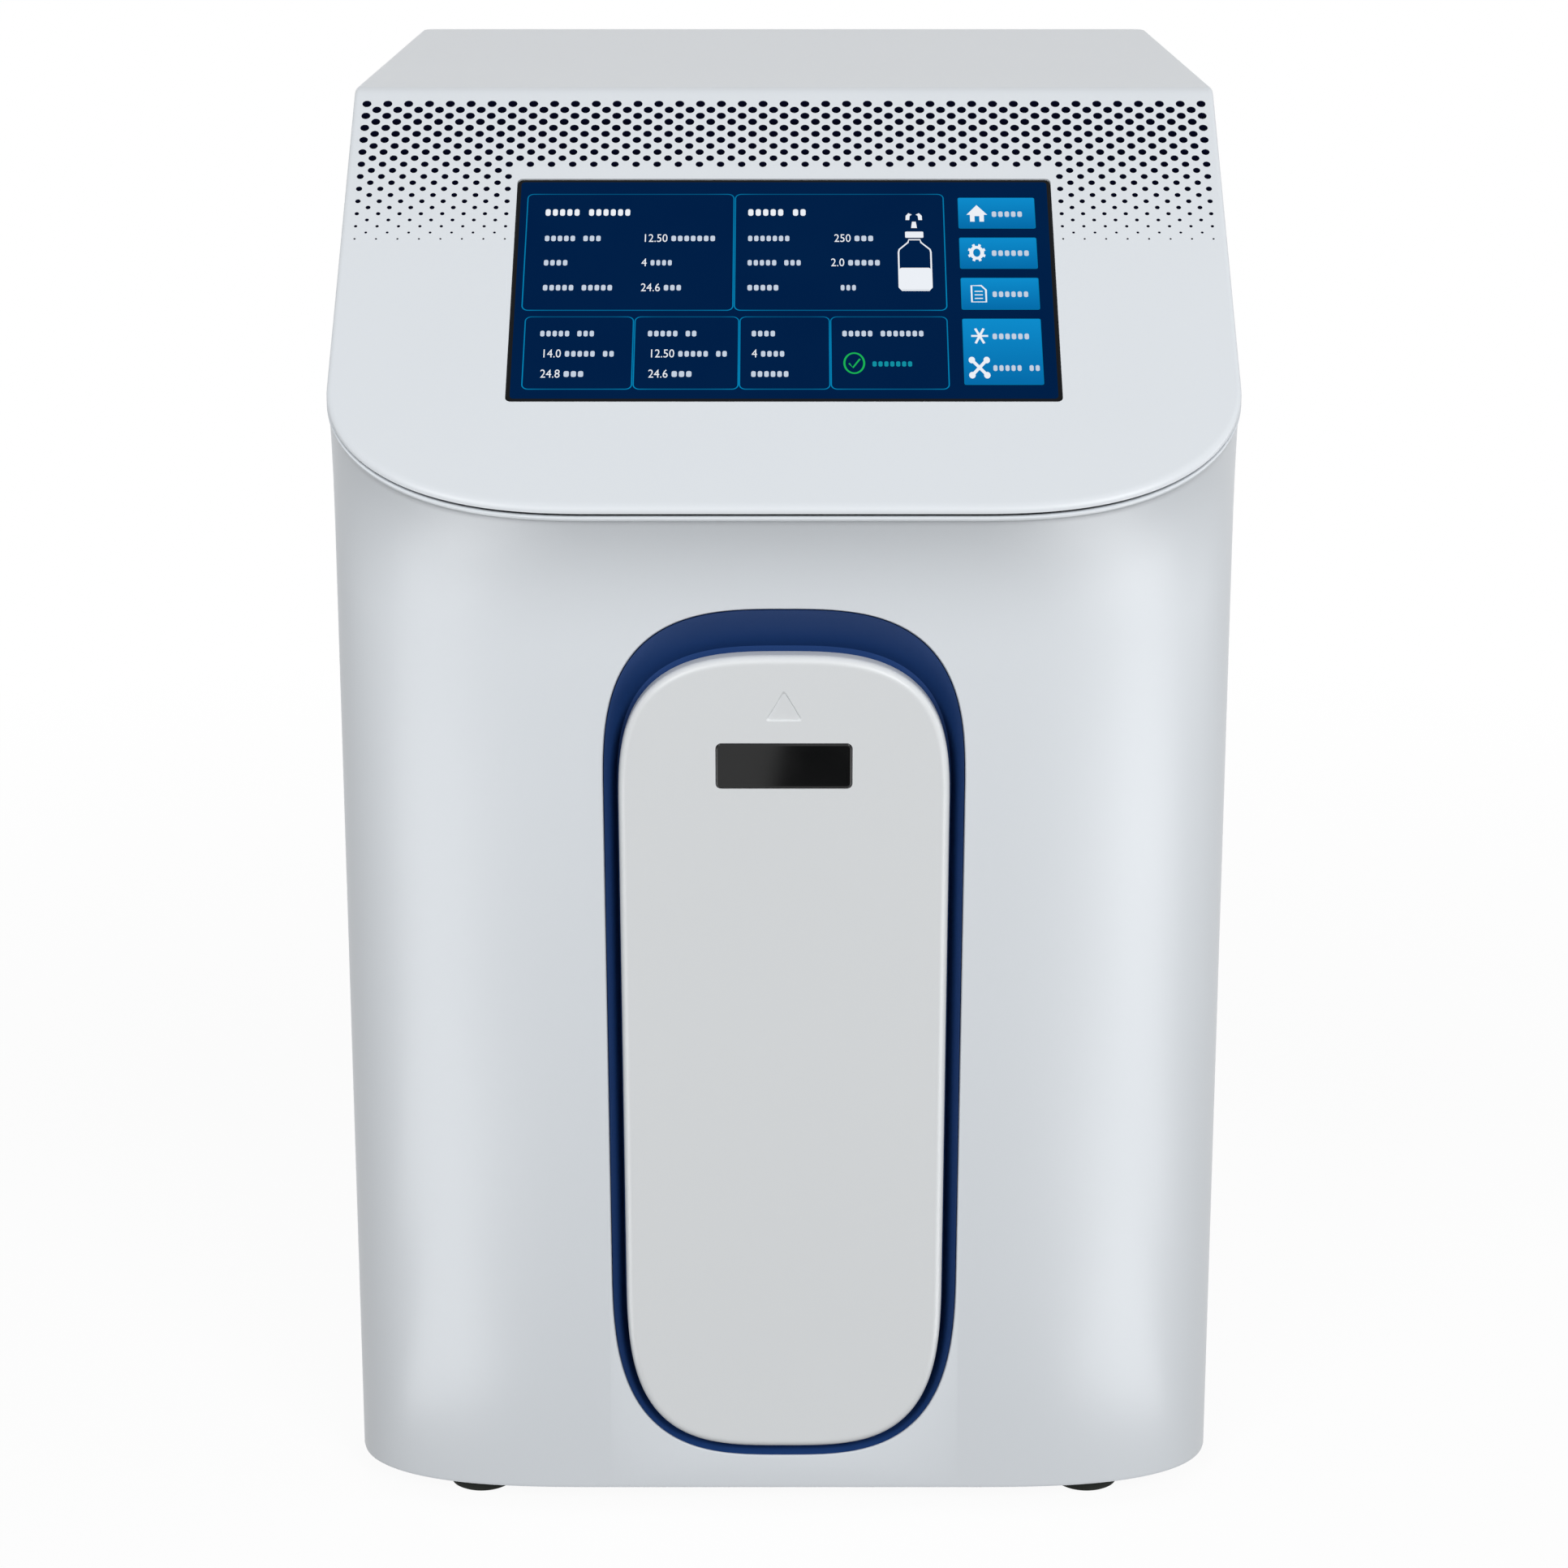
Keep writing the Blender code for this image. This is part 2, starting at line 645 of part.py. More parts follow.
def build_case():
    """The wrap-round case, flared at its rim, open for the door surround and the rear panel."""
    rim_depth = LID_THICKNESS + LID_GROOVE
    stations = fold_stations(rim_depth)
    rim = lid_outline(stations)
    wall = case_outline(stations=stations)
    drops = [0.0, BEAD_HEIGHT]
    drops += [BEAD_HEIGHT + (FLARE_DROP - BEAD_HEIGHT) * i / FLARE_STEPS for i in range(1, FLARE_STEPS + 1)]
    rings = []
    for drop in drops:
        share = max(drop - BEAD_HEIGHT, 0) / (FLARE_DROP - BEAD_HEIGHT)
        flare = (1 - share) ** FLARE_POWER
        rings.append([
            (
                wall_x + (rim_x - wall_x) * flare,
                wall_y + (rim_y - wall_y) * flare,
                roof_height(rim_y, rim_depth) - drop,
            )
            for (rim_x, rim_y), (wall_x, wall_y) in zip(rim, wall)
        ])
    rings.append([(x, y, FOOT_HEIGHT) for x, y in wall])
    shape = bmesh.new()
    rows = [[shape.verts.new(point) for point in ring] for ring in rings]
    for row, following in zip(rows, rows[1:]):
        for i in range(len(row)):
            nearby = (i + 1) % len(row)
            shape.faces.new((row[i], following[i], following[nearby], row[nearby]))
    mesh = bpy.data.meshes.new("case_shell")
    shape.to_mesh(mesh)
    shape.free()
    case = piece("case_shell", mesh, "white_shell")
    thicken = case.modifiers.new("Wall", "SOLIDIFY")
    thicken.thickness = CASE_WALL
    thicken.offset = -1
    thicken.use_even_offset = False
    front = prism_mesh(
        "door_surround_cut", ring_outline(), LID_FRONT_Y - FACE_OVERRUN,
        CASE_FRONT_Y + CASE_WALL + FACE_OVERRUN, "Y",
    )
    combine(case, cutter("door_surround_cut", front))
    back = box_mesh(
        "rear_cut",
        (-REAR_OPENING_HALF_WIDTH, CASE_BACK_Y - CASE_WALL - FACE_OVERRUN, REAR_OPENING_BOTTOM),
        (REAR_OPENING_HALF_WIDTH, CASE_BACK_Y + FACE_OVERRUN, REAR_OPENING_TOP),
    )
    combine(case, cutter("rear_cut", back))
    return smooth(bake(case))


def build_lid():
    """The folded lid with its round edge and the cut-out for the screen."""
    top_bend = [(y, roof_height(y, 0.0)) for y in fold_stations(0.0)]
    under_bend = [(y, roof_height(y, LID_THICKNESS)) for y in fold_stations(LID_THICKNESS)]
    front = LID_FRONT_Y - FACE_OVERRUN
    back = CASE_BACK_Y + FACE_OVERRUN
    profile = [(back, CABINET_HEIGHT), *top_bend, (front, roof_height(front, 0.0))]
    profile += [(front, roof_height(front, LID_THICKNESS)), *reversed(under_bend)]
    profile.append((back, CABINET_HEIGHT - LID_THICKNESS))
    reach = LID_HALF_WIDTH + FACE_OVERRUN
    lid = piece("lid", prism_mesh("lid", profile, -reach, reach, "X"), "white_shell")
    block = prism_mesh("lid_trim", lid_outline(), FOOT_HEIGHT, CABINET_HEIGHT + FACE_OVERRUN)
    combine(lid, cutter("lid_trim", block), "INTERSECT")
    bake(lid)

    def on_rim(edge):
        on_roof = all(abs(v.co.z - roof_height(v.co.y, 0.0)) < SEAT_GAP for v in edge.verts)
        return on_roof and len(edge.link_faces) == 2 and edge.calc_face_angle() > PANEL_SLOPE

    round_edges(lid, LID_EDGE_RADIUS, 3, on_rim)
    hole = rounded_rectangle(
        SCREEN_HALF_WIDTH + SEAT_GAP, SCREEN_START - SEAT_GAP, SCREEN_END + SEAT_GAP, SCREEN_CORNER_RADIUS
    )
    hole_mesh = panel_prism("screen_cut", hole, -FACE_OVERRUN, LID_THICKNESS + FACE_OVERRUN)
    combine(lid, cutter("screen_cut", hole_mesh))
    return smooth(bake(lid))


def panel_prism(name, outline, start, end):
    """An outline of (x, along the sloping panel) drawn between two depths below the panel's face."""
    shape = bmesh.new()
    rows = [
        [shape.verts.new(panel_point(x, along, depth)) for x, along in outline]
        for depth in (start, end)
    ]
    shape.faces.new(rows[0])
    shape.faces.new(rows[1])
    for i in range(len(outline)):
        nearby = (i + 1) % len(outline)
        shape.faces.new((rows[0][i], rows[0][nearby], rows[1][nearby], rows[1][i]))
    return mesh_from(shape, name)


def build_screen():
    """Screen glass, display module, control board and the dust filter, all under the sloping panel."""
    glass = rounded_rectangle(SCREEN_HALF_WIDTH, SCREEN_START, SCREEN_END, SCREEN_CORNER_RADIUS)
    glass_back = GLASS_SINK + GLASS_THICKNESS
    piece("display_glass", panel_prism("display_glass", glass, GLASS_SINK, glass_back), "screen_glass")
    under_lid = LID_THICKNESS + SEAT_GAP
    module_back = under_lid + MODULE_THICKNESS
    boss = panel_prism("display_boss", glass, glass_back + SEAT_GAP, under_lid + SEAT_GAP)
    frame = rounded_rectangle(
        SCREEN_HALF_WIDTH + MODULE_MARGIN, SCREEN_START - MODULE_MARGIN, SCREEN_END + MODULE_MARGIN,
        SCREEN_CORNER_RADIUS,
    )
    module_mesh = panel_prism("display_module", frame, under_lid, module_back)
    module = piece("display_module", module_mesh, "dark_plastic")
    combine(module, cutter("display_boss", boss), "UNION")
    bake(module)
    middle = (SCREEN_START + SCREEN_END) / 2
    board_front = module_back + SEAT_GAP
    board_back = board_front + BOARD_THICKNESS
    outline = rounded_rectangle(
        BOARD_HALF_WIDTH, middle - BOARD_HALF_LENGTH, middle + BOARD_HALF_LENGTH, SCREEN_CORNER_RADIUS
    )
    board_mesh = panel_prism("control_board", outline, board_front, board_back)
    board = piece("control_board", board_mesh, "board_green")
    parts = (
        ("board_chip", -BOARD_HALF_WIDTH / 2, CHIP_HALF_SIZE, CHIP_HALF_SIZE, CHIP_HEIGHT),
        ("board_shield", BOARD_HALF_WIDTH / 2, SHIELD_HALF_WIDTH, SHIELD_HALF_LENGTH, SHIELD_HEIGHT),
    )
    for name, x, half_width, half_length, height in parts:
        block = [
            (x - half_width, middle - half_length), (x + half_width, middle - half_length),
            (x + half_width, middle + half_length), (x - half_width, middle + half_length),
        ]
        block_mesh = panel_prism(name, block, board_front + BOARD_THICKNESS / 2, board_back + height)
        combine(board, cutter(name, block_mesh), "UNION")
    bake(board)
    reach = CASE_HALF_WIDTH - CASE_WALL - FILTER_EDGE_MARGIN
    shape = [
        (reach, FILTER_START), (reach, FILTER_ARM_END), (FILTER_ARM_INNER, FILTER_ARM_END),
        (FILTER_ARM_INNER, FILTER_THROAT_END), (-FILTER_ARM_INNER, FILTER_THROAT_END),
        (-FILTER_ARM_INNER, FILTER_ARM_END), (-reach, FILTER_ARM_END), (-reach, FILTER_START),
    ]
    filter_mesh = panel_prism("vent_filter", shape, under_lid, under_lid + FILTER_THICKNESS)
    piece("vent_filter", filter_mesh, "filter_foam")


def build_base():
    """The base pan inside the foot of the case, and the four feet under it."""
    outer = case_outline(CASE_WALL + SEAT_GAP)
    inner = case_outline(CASE_WALL + SEAT_GAP + PAN_WALL)
    pan_top = PAN_BOTTOM_Z + PAN_HEIGHT
    pan = piece("base_pan", prism_mesh("base_pan", outer, PAN_BOTTOM_Z, pan_top), "coated_steel")
    hollow = prism_mesh("base_pan_cut", inner, PAN_FLOOR_Z, pan_top + FACE_OVERRUN)
    combine(pan, cutter("base_pan_cut", hollow))
    bake(pan)
    top = PAN_BOTTOM_Z - SEAT_GAP
    profile = [
        (0, top), (FOOT_RADIUS, top), (FOOT_RADIUS, FOOT_CHAMFER), (FOOT_RADIUS - FOOT_CHAMFER, 0),
        (FOOT_SOCKET_RADIUS, 0), (FOOT_SOCKET_RADIUS, FOOT_SOCKET_DEPTH), (0, FOOT_SOCKET_DEPTH),
    ]
    spread = CASE_HALF_WIDTH - FOOT_SIDE_SETBACK
    for row, y in (("front", CASE_FRONT_Y + FRONT_FOOT_SETBACK), ("rear", CASE_BACK_Y - REAR_FOOT_SETBACK)):
        for side, x in (("left", -spread), ("right", spread)):
            turned(f"foot_{row}_{side}", profile, "rubber", (x, y, 0))


def build_surround():
    """The blue surround: a scoop from the front face to a floor behind the door, with hinge ears on it."""
    lip = ring_outline(-SEAT_GAP)
    wide = ring_outline(FLANGE_WIDTH)
    throat = door_outline(DOOR_CLEARANCE)
    opening = bay_outline()
    flange_front = CASE_FRONT_Y + CASE_WALL + SEAT_GAP
    flange_back = flange_front + FLANGE_THICKNESS
    levels = (
        (opening, RING_FLOOR_Y), (opening, RING_BACK_Y), (lip, RING_BACK_Y), (lip, flange_back),
        (wide, flange_back), (wide, flange_front), (lip, flange_front), (lip, CASE_FRONT_Y),
        (throat, RING_FLOOR_Y),
    )
    rings = [[(x, y, z) for x, z in outline] for outline, y in levels]
    surround = smooth(piece("door_surround", loft_mesh("door_surround", rings), "navy_plastic"))
    for side, name in ((-1, "left"), (1, "right")):
        centre = side * EAR_CENTRE_X
        low, high = centre - EAR_WIDTH / 2, centre + EAR_WIDTH / 2
        ear_mesh = rod_mesh(f"ear_{name}", EAR_RADIUS, low, high, "X", 16)
        ear = cutter(f"ear_{name}", ear_mesh, (0, HINGE_Y, HINGE_Z))
        neck = box_mesh(
            f"ear_neck_{name}", (low, HINGE_Y, HINGE_Z - EAR_NECK / 2),
            (high, RING_FLOOR_Y + RING_FLOOR / 2, HINGE_Z + EAR_NECK / 2),
        )
        bore_mesh = rod_mesh(
            f"ear_bore_{name}", PIN_RADIUS + SEAT_GAP, low - PIN_BITE, high + PIN_BITE, "X", 12
        )
        combine(surround, cutter(f"ear_neck_{name}", neck), "UNION")
        combine(surround, ear, "UNION")
        combine(surround, cutter(f"ear_bore_{name}", bore_mesh, (0, HINGE_Y, HINGE_Z)))
        pin = rod_mesh(f"hinge_pin_{name}", PIN_RADIUS, low - PIN_BITE, high + PIN_BITE, "X", 12)
        smooth(piece(f"hinge_pin_{name}", pin, "steel", (0, HINGE_Y, HINGE_Z)))
    bake(surround)
    strike_top = DOOR_TOP - STRIKE_DROP
    strike = box_mesh(
        "strike_plate",
        (-MAGNET_WIDTH / 2, RING_FLOOR_Y - SEAT_GAP - STRIKE_THICKNESS, strike_top - MAGNET_HEIGHT),
        (MAGNET_WIDTH / 2, RING_FLOOR_Y - SEAT_GAP, strike_top),
    )
    piece("strike_plate", strike, "steel")


def build_door():
    """The door on its hinge axis, hollow at the back, with its window and catch magnet."""
    axis = bpy.data.objects.new("door_axis", None)
    axis.location = (0, HINGE_Y, HINGE_Z)
    collection(PARTS).objects.link(axis)
    bpy.context.view_layer.update()

    def local(outline):
        return [(x, z - HINGE_Z) for x, z in outline]

    front = DOOR_FRONT_Y - HINGE_Y
    back = DOOR_BACK_Y - HINGE_Y
    door_mesh = prism_mesh("door", local(door_outline()), front, back, "Y")
    door = piece("door", door_mesh, "white_shell", parent=axis)
    round_edges(
        door, DOOR_EDGE_RADIUS, DOOR_EDGE_STEPS,
        lambda edge: all(abs(v.co.y - front) < SEAT_GAP for v in edge.verts) and len(edge.link_faces) == 2,
    )
    pocket_mesh = prism_mesh(
        "door_pocket", local(door_outline(-DOOR_SKIN)), front + DOOR_SKIN, back + FACE_OVERRUN, "Y"
    )
    pocket = cutter("door_pocket", pocket_mesh, parent=axis)
    block = box_mesh(
        "hinge_block", (-DOOR_HALF_WIDTH, front, -HINGE_Z),
        (DOOR_HALF_WIDTH, back + 2 * FACE_OVERRUN, HINGE_BLOCK_HEIGHT - HINGE_RISE),
    )
    combine(pocket, cutter("hinge_block", block, parent=axis))
    bake(pocket)
    combine(door, pocket)
    for side, name in ((-1, "left"), (1, "right")):
        centre = side * EAR_CENTRE_X
        reach = EAR_WIDTH / 2 + EAR_POCKET_CLEARANCE
        room = box_mesh(
            f"ear_room_{name}",
            (centre - reach, -EAR_RADIUS - EAR_POCKET_CLEARANCE, -HINGE_RISE - FACE_OVERRUN),
            (centre + reach, back + FACE_OVERRUN, EAR_RADIUS + EAR_POCKET_HEADROOM),
        )
        combine(door, cutter(f"ear_room_{name}", room, parent=axis))
        bite = EAR_WIDTH / 2 + PIN_BITE + SEAT_GAP
        bore = rod_mesh(f"pin_bore_{name}", PIN_RADIUS + SEAT_GAP, centre - bite, centre + bite, "X", 12)
        combine(door, cutter(f"pin_bore_{name}", bore, parent=axis))
    low = WINDOW_CENTRE_Z - WINDOW_HEIGHT / 2 - HINGE_Z
    high = low + WINDOW_HEIGHT
    seat = rounded_rectangle(
        WINDOW_HALF_WIDTH + SEAT_GAP, low - SEAT_GAP, high + SEAT_GAP, WINDOW_CORNER_RADIUS + SEAT_GAP
    )
    seat_back = front + WINDOW_THICKNESS + SEAT_GAP
    seat_mesh = prism_mesh("window_seat", seat, front - FACE_OVERRUN, seat_back, "Y")
    combine(door, cutter("window_seat", seat_mesh, parent=axis))
    smooth(bake(door))
    pane = rounded_rectangle(WINDOW_HALF_WIDTH, low, high, WINDOW_CORNER_RADIUS)
    piece(
        "door_window", prism_mesh("door_window", pane, front, front + WINDOW_THICKNESS, "Y"), "black_gloss",
        parent=axis,
    )
    magnet_top = DOOR_TOP - STRIKE_DROP - HINGE_Z
    magnet = box_mesh(
        "door_magnet",
        (-MAGNET_WIDTH / 2, front + DOOR_SKIN + SEAT_GAP, magnet_top - MAGNET_HEIGHT),
        (MAGNET_WIDTH / 2, RING_FLOOR_Y - STRIKE_THICKNESS - 2 * SEAT_GAP - HINGE_Y, magnet_top),
    )
    piece("door_magnet", magnet, "dark_plastic", parent=axis)


def build_bay():
    """The bay behind the door: its liner, the cartridge head and two cartridges."""
    inner = BAY_HALF_WIDTH + BAY_MARGIN
    low, high = BAY_BOTTOM - BAY_MARGIN, BAY_CEILING_Z
    liner = piece(
        "bay_liner",
        box_mesh(
            "bay_liner", (-inner - BAY_WALL, BAY_FRONT_Y, low - BAY_WALL),
            (inner + BAY_WALL, BAY_BACK_Y + BAY_WALL, high + BAY_WALL),
        ),
        "grey_plastic",
    )
    hollow = box_mesh("bay_cut", (-inner, BAY_FRONT_Y - FACE_OVERRUN, low), (inner, BAY_BACK_Y, high))
    combine(liner, cutter("bay_cut", hollow))
    bake(liner)
    head_low = CARTRIDGE_TOP + HEAD_BOTTOM_GAP
    head = piece(
        "cartridge_head",
        box_mesh(
            "cartridge_head", (-inner + SEAT_GAP, CARTRIDGE_Y - HEAD_DEPTH / 2, head_low),
            (inner - SEAT_GAP, CARTRIDGE_Y + HEAD_DEPTH / 2, high - SEAT_GAP),
        ),
        "dark_plastic",
    )
    neck_top = CARTRIDGE_TOP + CARTRIDGE_NECK_HEIGHT
    body_height = CARTRIDGE_TOP - CARTRIDGE_BOTTOM
    profile = [
        (0, CARTRIDGE_NECK_HEIGHT), (CARTRIDGE_NECK_RADIUS, CARTRIDGE_NECK_HEIGHT),
        (CARTRIDGE_NECK_RADIUS, 0),
        (CARTRIDGE_RADIUS - CARTRIDGE_SHOULDER / 2, -CARTRIDGE_SHOULDER / 3),
        (CARTRIDGE_RADIUS, -CARTRIDGE_SHOULDER), (CARTRIDGE_RADIUS, CARTRIDGE_CAP_HEIGHT - body_height),
        (CARTRIDGE_CAP_RADIUS, CARTRIDGE_CAP_HEIGHT - body_height), (CARTRIDGE_CAP_RADIUS, -body_height),
        (0, -body_height),
    ]
    for side, name in ((-1, "left"), (1, "right")):
        x = side * CARTRIDGE_SPREAD
        socket = rod_mesh(
            f"socket_{name}", CARTRIDGE_NECK_RADIUS + SEAT_GAP, head_low - FACE_OVERRUN, neck_top + SEAT_GAP
        )
        combine(head, cutter(f"socket_{name}", socket, (x, CARTRIDGE_Y, 0)))
        cartridge = turned(f"cartridge_{name}", profile, "clear_housing", (x, CARTRIDGE_Y, CARTRIDGE_TOP))
        grip = box_mesh(
            f"grip_{name}", (-GRIP_HALF_LENGTH, -GRIP_THICKNESS / 2, -body_height - GRIP_HEIGHT),
            (GRIP_HALF_LENGTH, GRIP_THICKNESS / 2, CARTRIDGE_CAP_HEIGHT / 2 - body_height),
        )
        combine(cartridge, cutter(f"grip_{name}", grip, (x, CARTRIDGE_Y, CARTRIDGE_TOP)), "UNION")
        smooth(bake(cartridge))
    bake(head)


def build_chassis():
    """The upright plate behind the bay, with a foot flange on the pan."""
    back = CHASSIS_FRONT_Y + CHASSIS_THICKNESS
    profile = [
        (CHASSIS_FRONT_Y, DECK_Z), (CHASSIS_FRONT_Y, CHASSIS_TOP_Z), (back, CHASSIS_TOP_Z),
        (back, DECK_Z + CHASSIS_THICKNESS), (back + CHASSIS_FLANGE, DECK_Z + CHASSIS_THICKNESS),
        (back + CHASSIS_FLANGE, DECK_Z),
    ]
    mesh = prism_mesh("chassis_plate", profile, -CHASSIS_HALF_WIDTH, CHASSIS_HALF_WIDTH, "X")
    piece("chassis_plate", mesh, "coated_steel")


def build_water_train():
    """The reverse osmosis housing, ultraviolet reactor, booster pump, power supply and inner tubes."""
    cap = [(0, RO_CAP_HEIGHT), (RO_CAP_RADIUS, RO_CAP_HEIGHT), (RO_CAP_RADIUS, 0), (0, 0)]
    nipple_top = RO_CAP_HEIGHT + RO_NIPPLE_HEIGHT
    ported_cap = [
        (0, nipple_top), (RO_NIPPLE_RADIUS, nipple_top), (RO_NIPPLE_RADIUS, RO_CAP_HEIGHT), *cap[1:],
    ]
    tube = [(0, RO_TUBE_LENGTH), (RO_RADIUS, RO_TUBE_LENGTH), (RO_RADIUS, 0), (0, 0)]
    tube_low = DECK_Z + RO_CAP_HEIGHT + SEAT_GAP
    cap_low = tube_low + RO_TUBE_LENGTH + SEAT_GAP
    turned("ro_cap_lower", cap, "blue_cap", (RO_X, RO_Y, DECK_Z))
    turned("ro_housing", tube, "tube_white", (RO_X, RO_Y, tube_low))
    turned("ro_cap_upper", ported_cap, "blue_cap", (RO_X, RO_Y, cap_low))
    shaft_low, shaft_high = REACTOR_COLLAR_HEIGHT, REACTOR_HEIGHT - REACTOR_COLLAR_HEIGHT
    reactor = [
        (0, REACTOR_HEIGHT + RO_NIPPLE_HEIGHT), (RO_NIPPLE_RADIUS, REACTOR_HEIGHT + RO_NIPPLE_HEIGHT),
        (RO_NIPPLE_RADIUS, REACTOR_HEIGHT), (REACTOR_COLLAR_RADIUS, REACTOR_HEIGHT),
        (REACTOR_COLLAR_RADIUS, shaft_high), (REACTOR_RADIUS, shaft_high), (REACTOR_RADIUS, shaft_low),
        (REACTOR_COLLAR_RADIUS, shaft_low), (REACTOR_COLLAR_RADIUS, 0), (0, 0),
    ]
    turned("uv_reactor", reactor, "steel", (REACTOR_X, REACTOR_Y, DECK_Z))
    axis_z = DECK_Z + PUMP_AXIS_HEIGHT
    motor = piece(
        "pump_motor", rod_mesh("pump_motor", MOTOR_RADIUS, 0, MOTOR_LENGTH, "Y"), "dark_plastic",
        (PUMP_X, PUMP_Y, axis_z),
    )
    saddle_inset = (MOTOR_LENGTH - MOTOR_SADDLE_LENGTH) / 2
    saddle = box_mesh(
        "motor_saddle", (-MOTOR_SADDLE_HALF_WIDTH, saddle_inset, -PUMP_AXIS_HEIGHT),
        (MOTOR_SADDLE_HALF_WIDTH, saddle_inset + MOTOR_SADDLE_LENGTH, -MOTOR_RADIUS / 2),
    )
    combine(motor, cutter("motor_saddle", saddle, (PUMP_X, PUMP_Y, axis_z)), "UNION")
    smooth(bake(motor))
    head_back = PUMP_Y - SEAT_GAP
    piece(
        "pump_head",
        box_mesh(
            "pump_head", (PUMP_X - PUMP_HEAD_HALF_WIDTH, head_back - PUMP_HEAD_LENGTH, DECK_Z),
            (PUMP_X + PUMP_HEAD_HALF_WIDTH, head_back, DECK_Z + PUMP_HEAD_HEIGHT),
        ),
        "grey_plastic",
    )
    piece(
        "power_supply",
        box_mesh(
            "power_supply", (SUPPLY_X - SUPPLY_WIDTH / 2, SUPPLY_Y - SUPPLY_LENGTH / 2, DECK_Z),
            (SUPPLY_X + SUPPLY_WIDTH / 2, SUPPLY_Y + SUPPLY_LENGTH / 2, DECK_Z + SUPPLY_HEIGHT),
        ),
        "steel",
    )
    valve_front = REAR_PANEL_FRONT_Y - SEAT_GAP - VALVE_LENGTH
    head_top = DECK_Z + PUMP_HEAD_HEIGHT
    inlet_y = head_back - PUMP_HEAD_LENGTH * 3 / 4
    water_tube(
        "tube_feed",
        [
            (PORT_FIRST_X, valve_front - SEAT_GAP, PORT_Z), (PORT_FIRST_X, inlet_y, PORT_Z),
            (PORT_FIRST_X, inlet_y, head_top + SEAT_GAP),
        ],
        (PORT_Z - head_top) * 2 / 3,
    )
    cap_top = cap_low + nipple_top + SEAT_GAP
    reactor_top = DECK_Z + REACTOR_HEIGHT + RO_NIPPLE_HEIGHT + SEAT_GAP
    bridge_z = cap_top + TUBE_BEND_RADIUS * 3 / 2
    water_tube(
        "tube_permeate",
        [
            (RO_X, RO_Y, cap_top), (RO_X, RO_Y, bridge_z), (REACTOR_X, REACTOR_Y, bridge_z),
            (REACTOR_X, REACTOR_Y, reactor_top),
        ],
        TUBE_BEND_RADIUS,
    )


def water_tube(name, route, bend):
    """A tube through straight runs with round bends between them."""
    points = [route[0]]
    for before, corner, after in zip(route, route[1:], route[2:]):
        points += bend_points(before, corner, after, bend)
    points.append(route[-1])
    curve = bpy.data.curves.new(name, "CURVE")
    curve.dimensions = "3D"
    curve.bevel_depth = TUBE_RADIUS
    curve.bevel_resolution = 2
    curve.use_fill_caps = True
    spline = curve.splines.new("POLY")
    spline.points.add(len(points) - 1)
    for target, point in zip(spline.points, points):
        target.co = (*point, 1)
    guide = bpy.data.objects.new(f"{name}_guide", curve)
    collection(CUTTERS).objects.link(guide)
    bpy.context.view_layer.update()
    mesh = bpy.data.meshes.new_from_object(guide.evaluated_get(bpy.context.evaluated_depsgraph_get()))
    bpy.data.objects.remove(guide)
    welded = bmesh.new()
    welded.from_mesh(mesh)
    bmesh.ops.remove_doubles(welded, verts=welded.verts, dist=WELD_DISTANCE)
    bmesh.ops.recalc_face_normals(welded, faces=welded.faces)
    welded.to_mesh(mesh)
    welded.free()
    mesh.materials.clear()
    return smooth(piece(name, mesh, "tube_white"))


def bend_points(before, corner, after, bend):
    """Points of a round bend that replaces a corner of a route."""
    towards_before = [b - c for b, c in zip(before, corner)]
    towards_after = [a - c for a, c in zip(after, corner)]
    lengths = [math.sqrt(sum(v * v for v in side)) for side in (towards_before, towards_after)]
    start = [c + v / lengths[0] * bend for c, v in zip(corner, towards_before)]
    end = [c + v / lengths[1] * bend for c, v in zip(corner, towards_after)]
    points = []
    for i in range(TUBE_BEND_STEPS + 1):
        angle = math.pi / 2 * i / TUBE_BEND_STEPS
        leave, join = 1 - math.sin(angle), 1 - math.cos(angle)
        points.append(tuple(c + (s - c) * leave + (e - c) * join for c, s, e in zip(corner, start, end)))
    return points


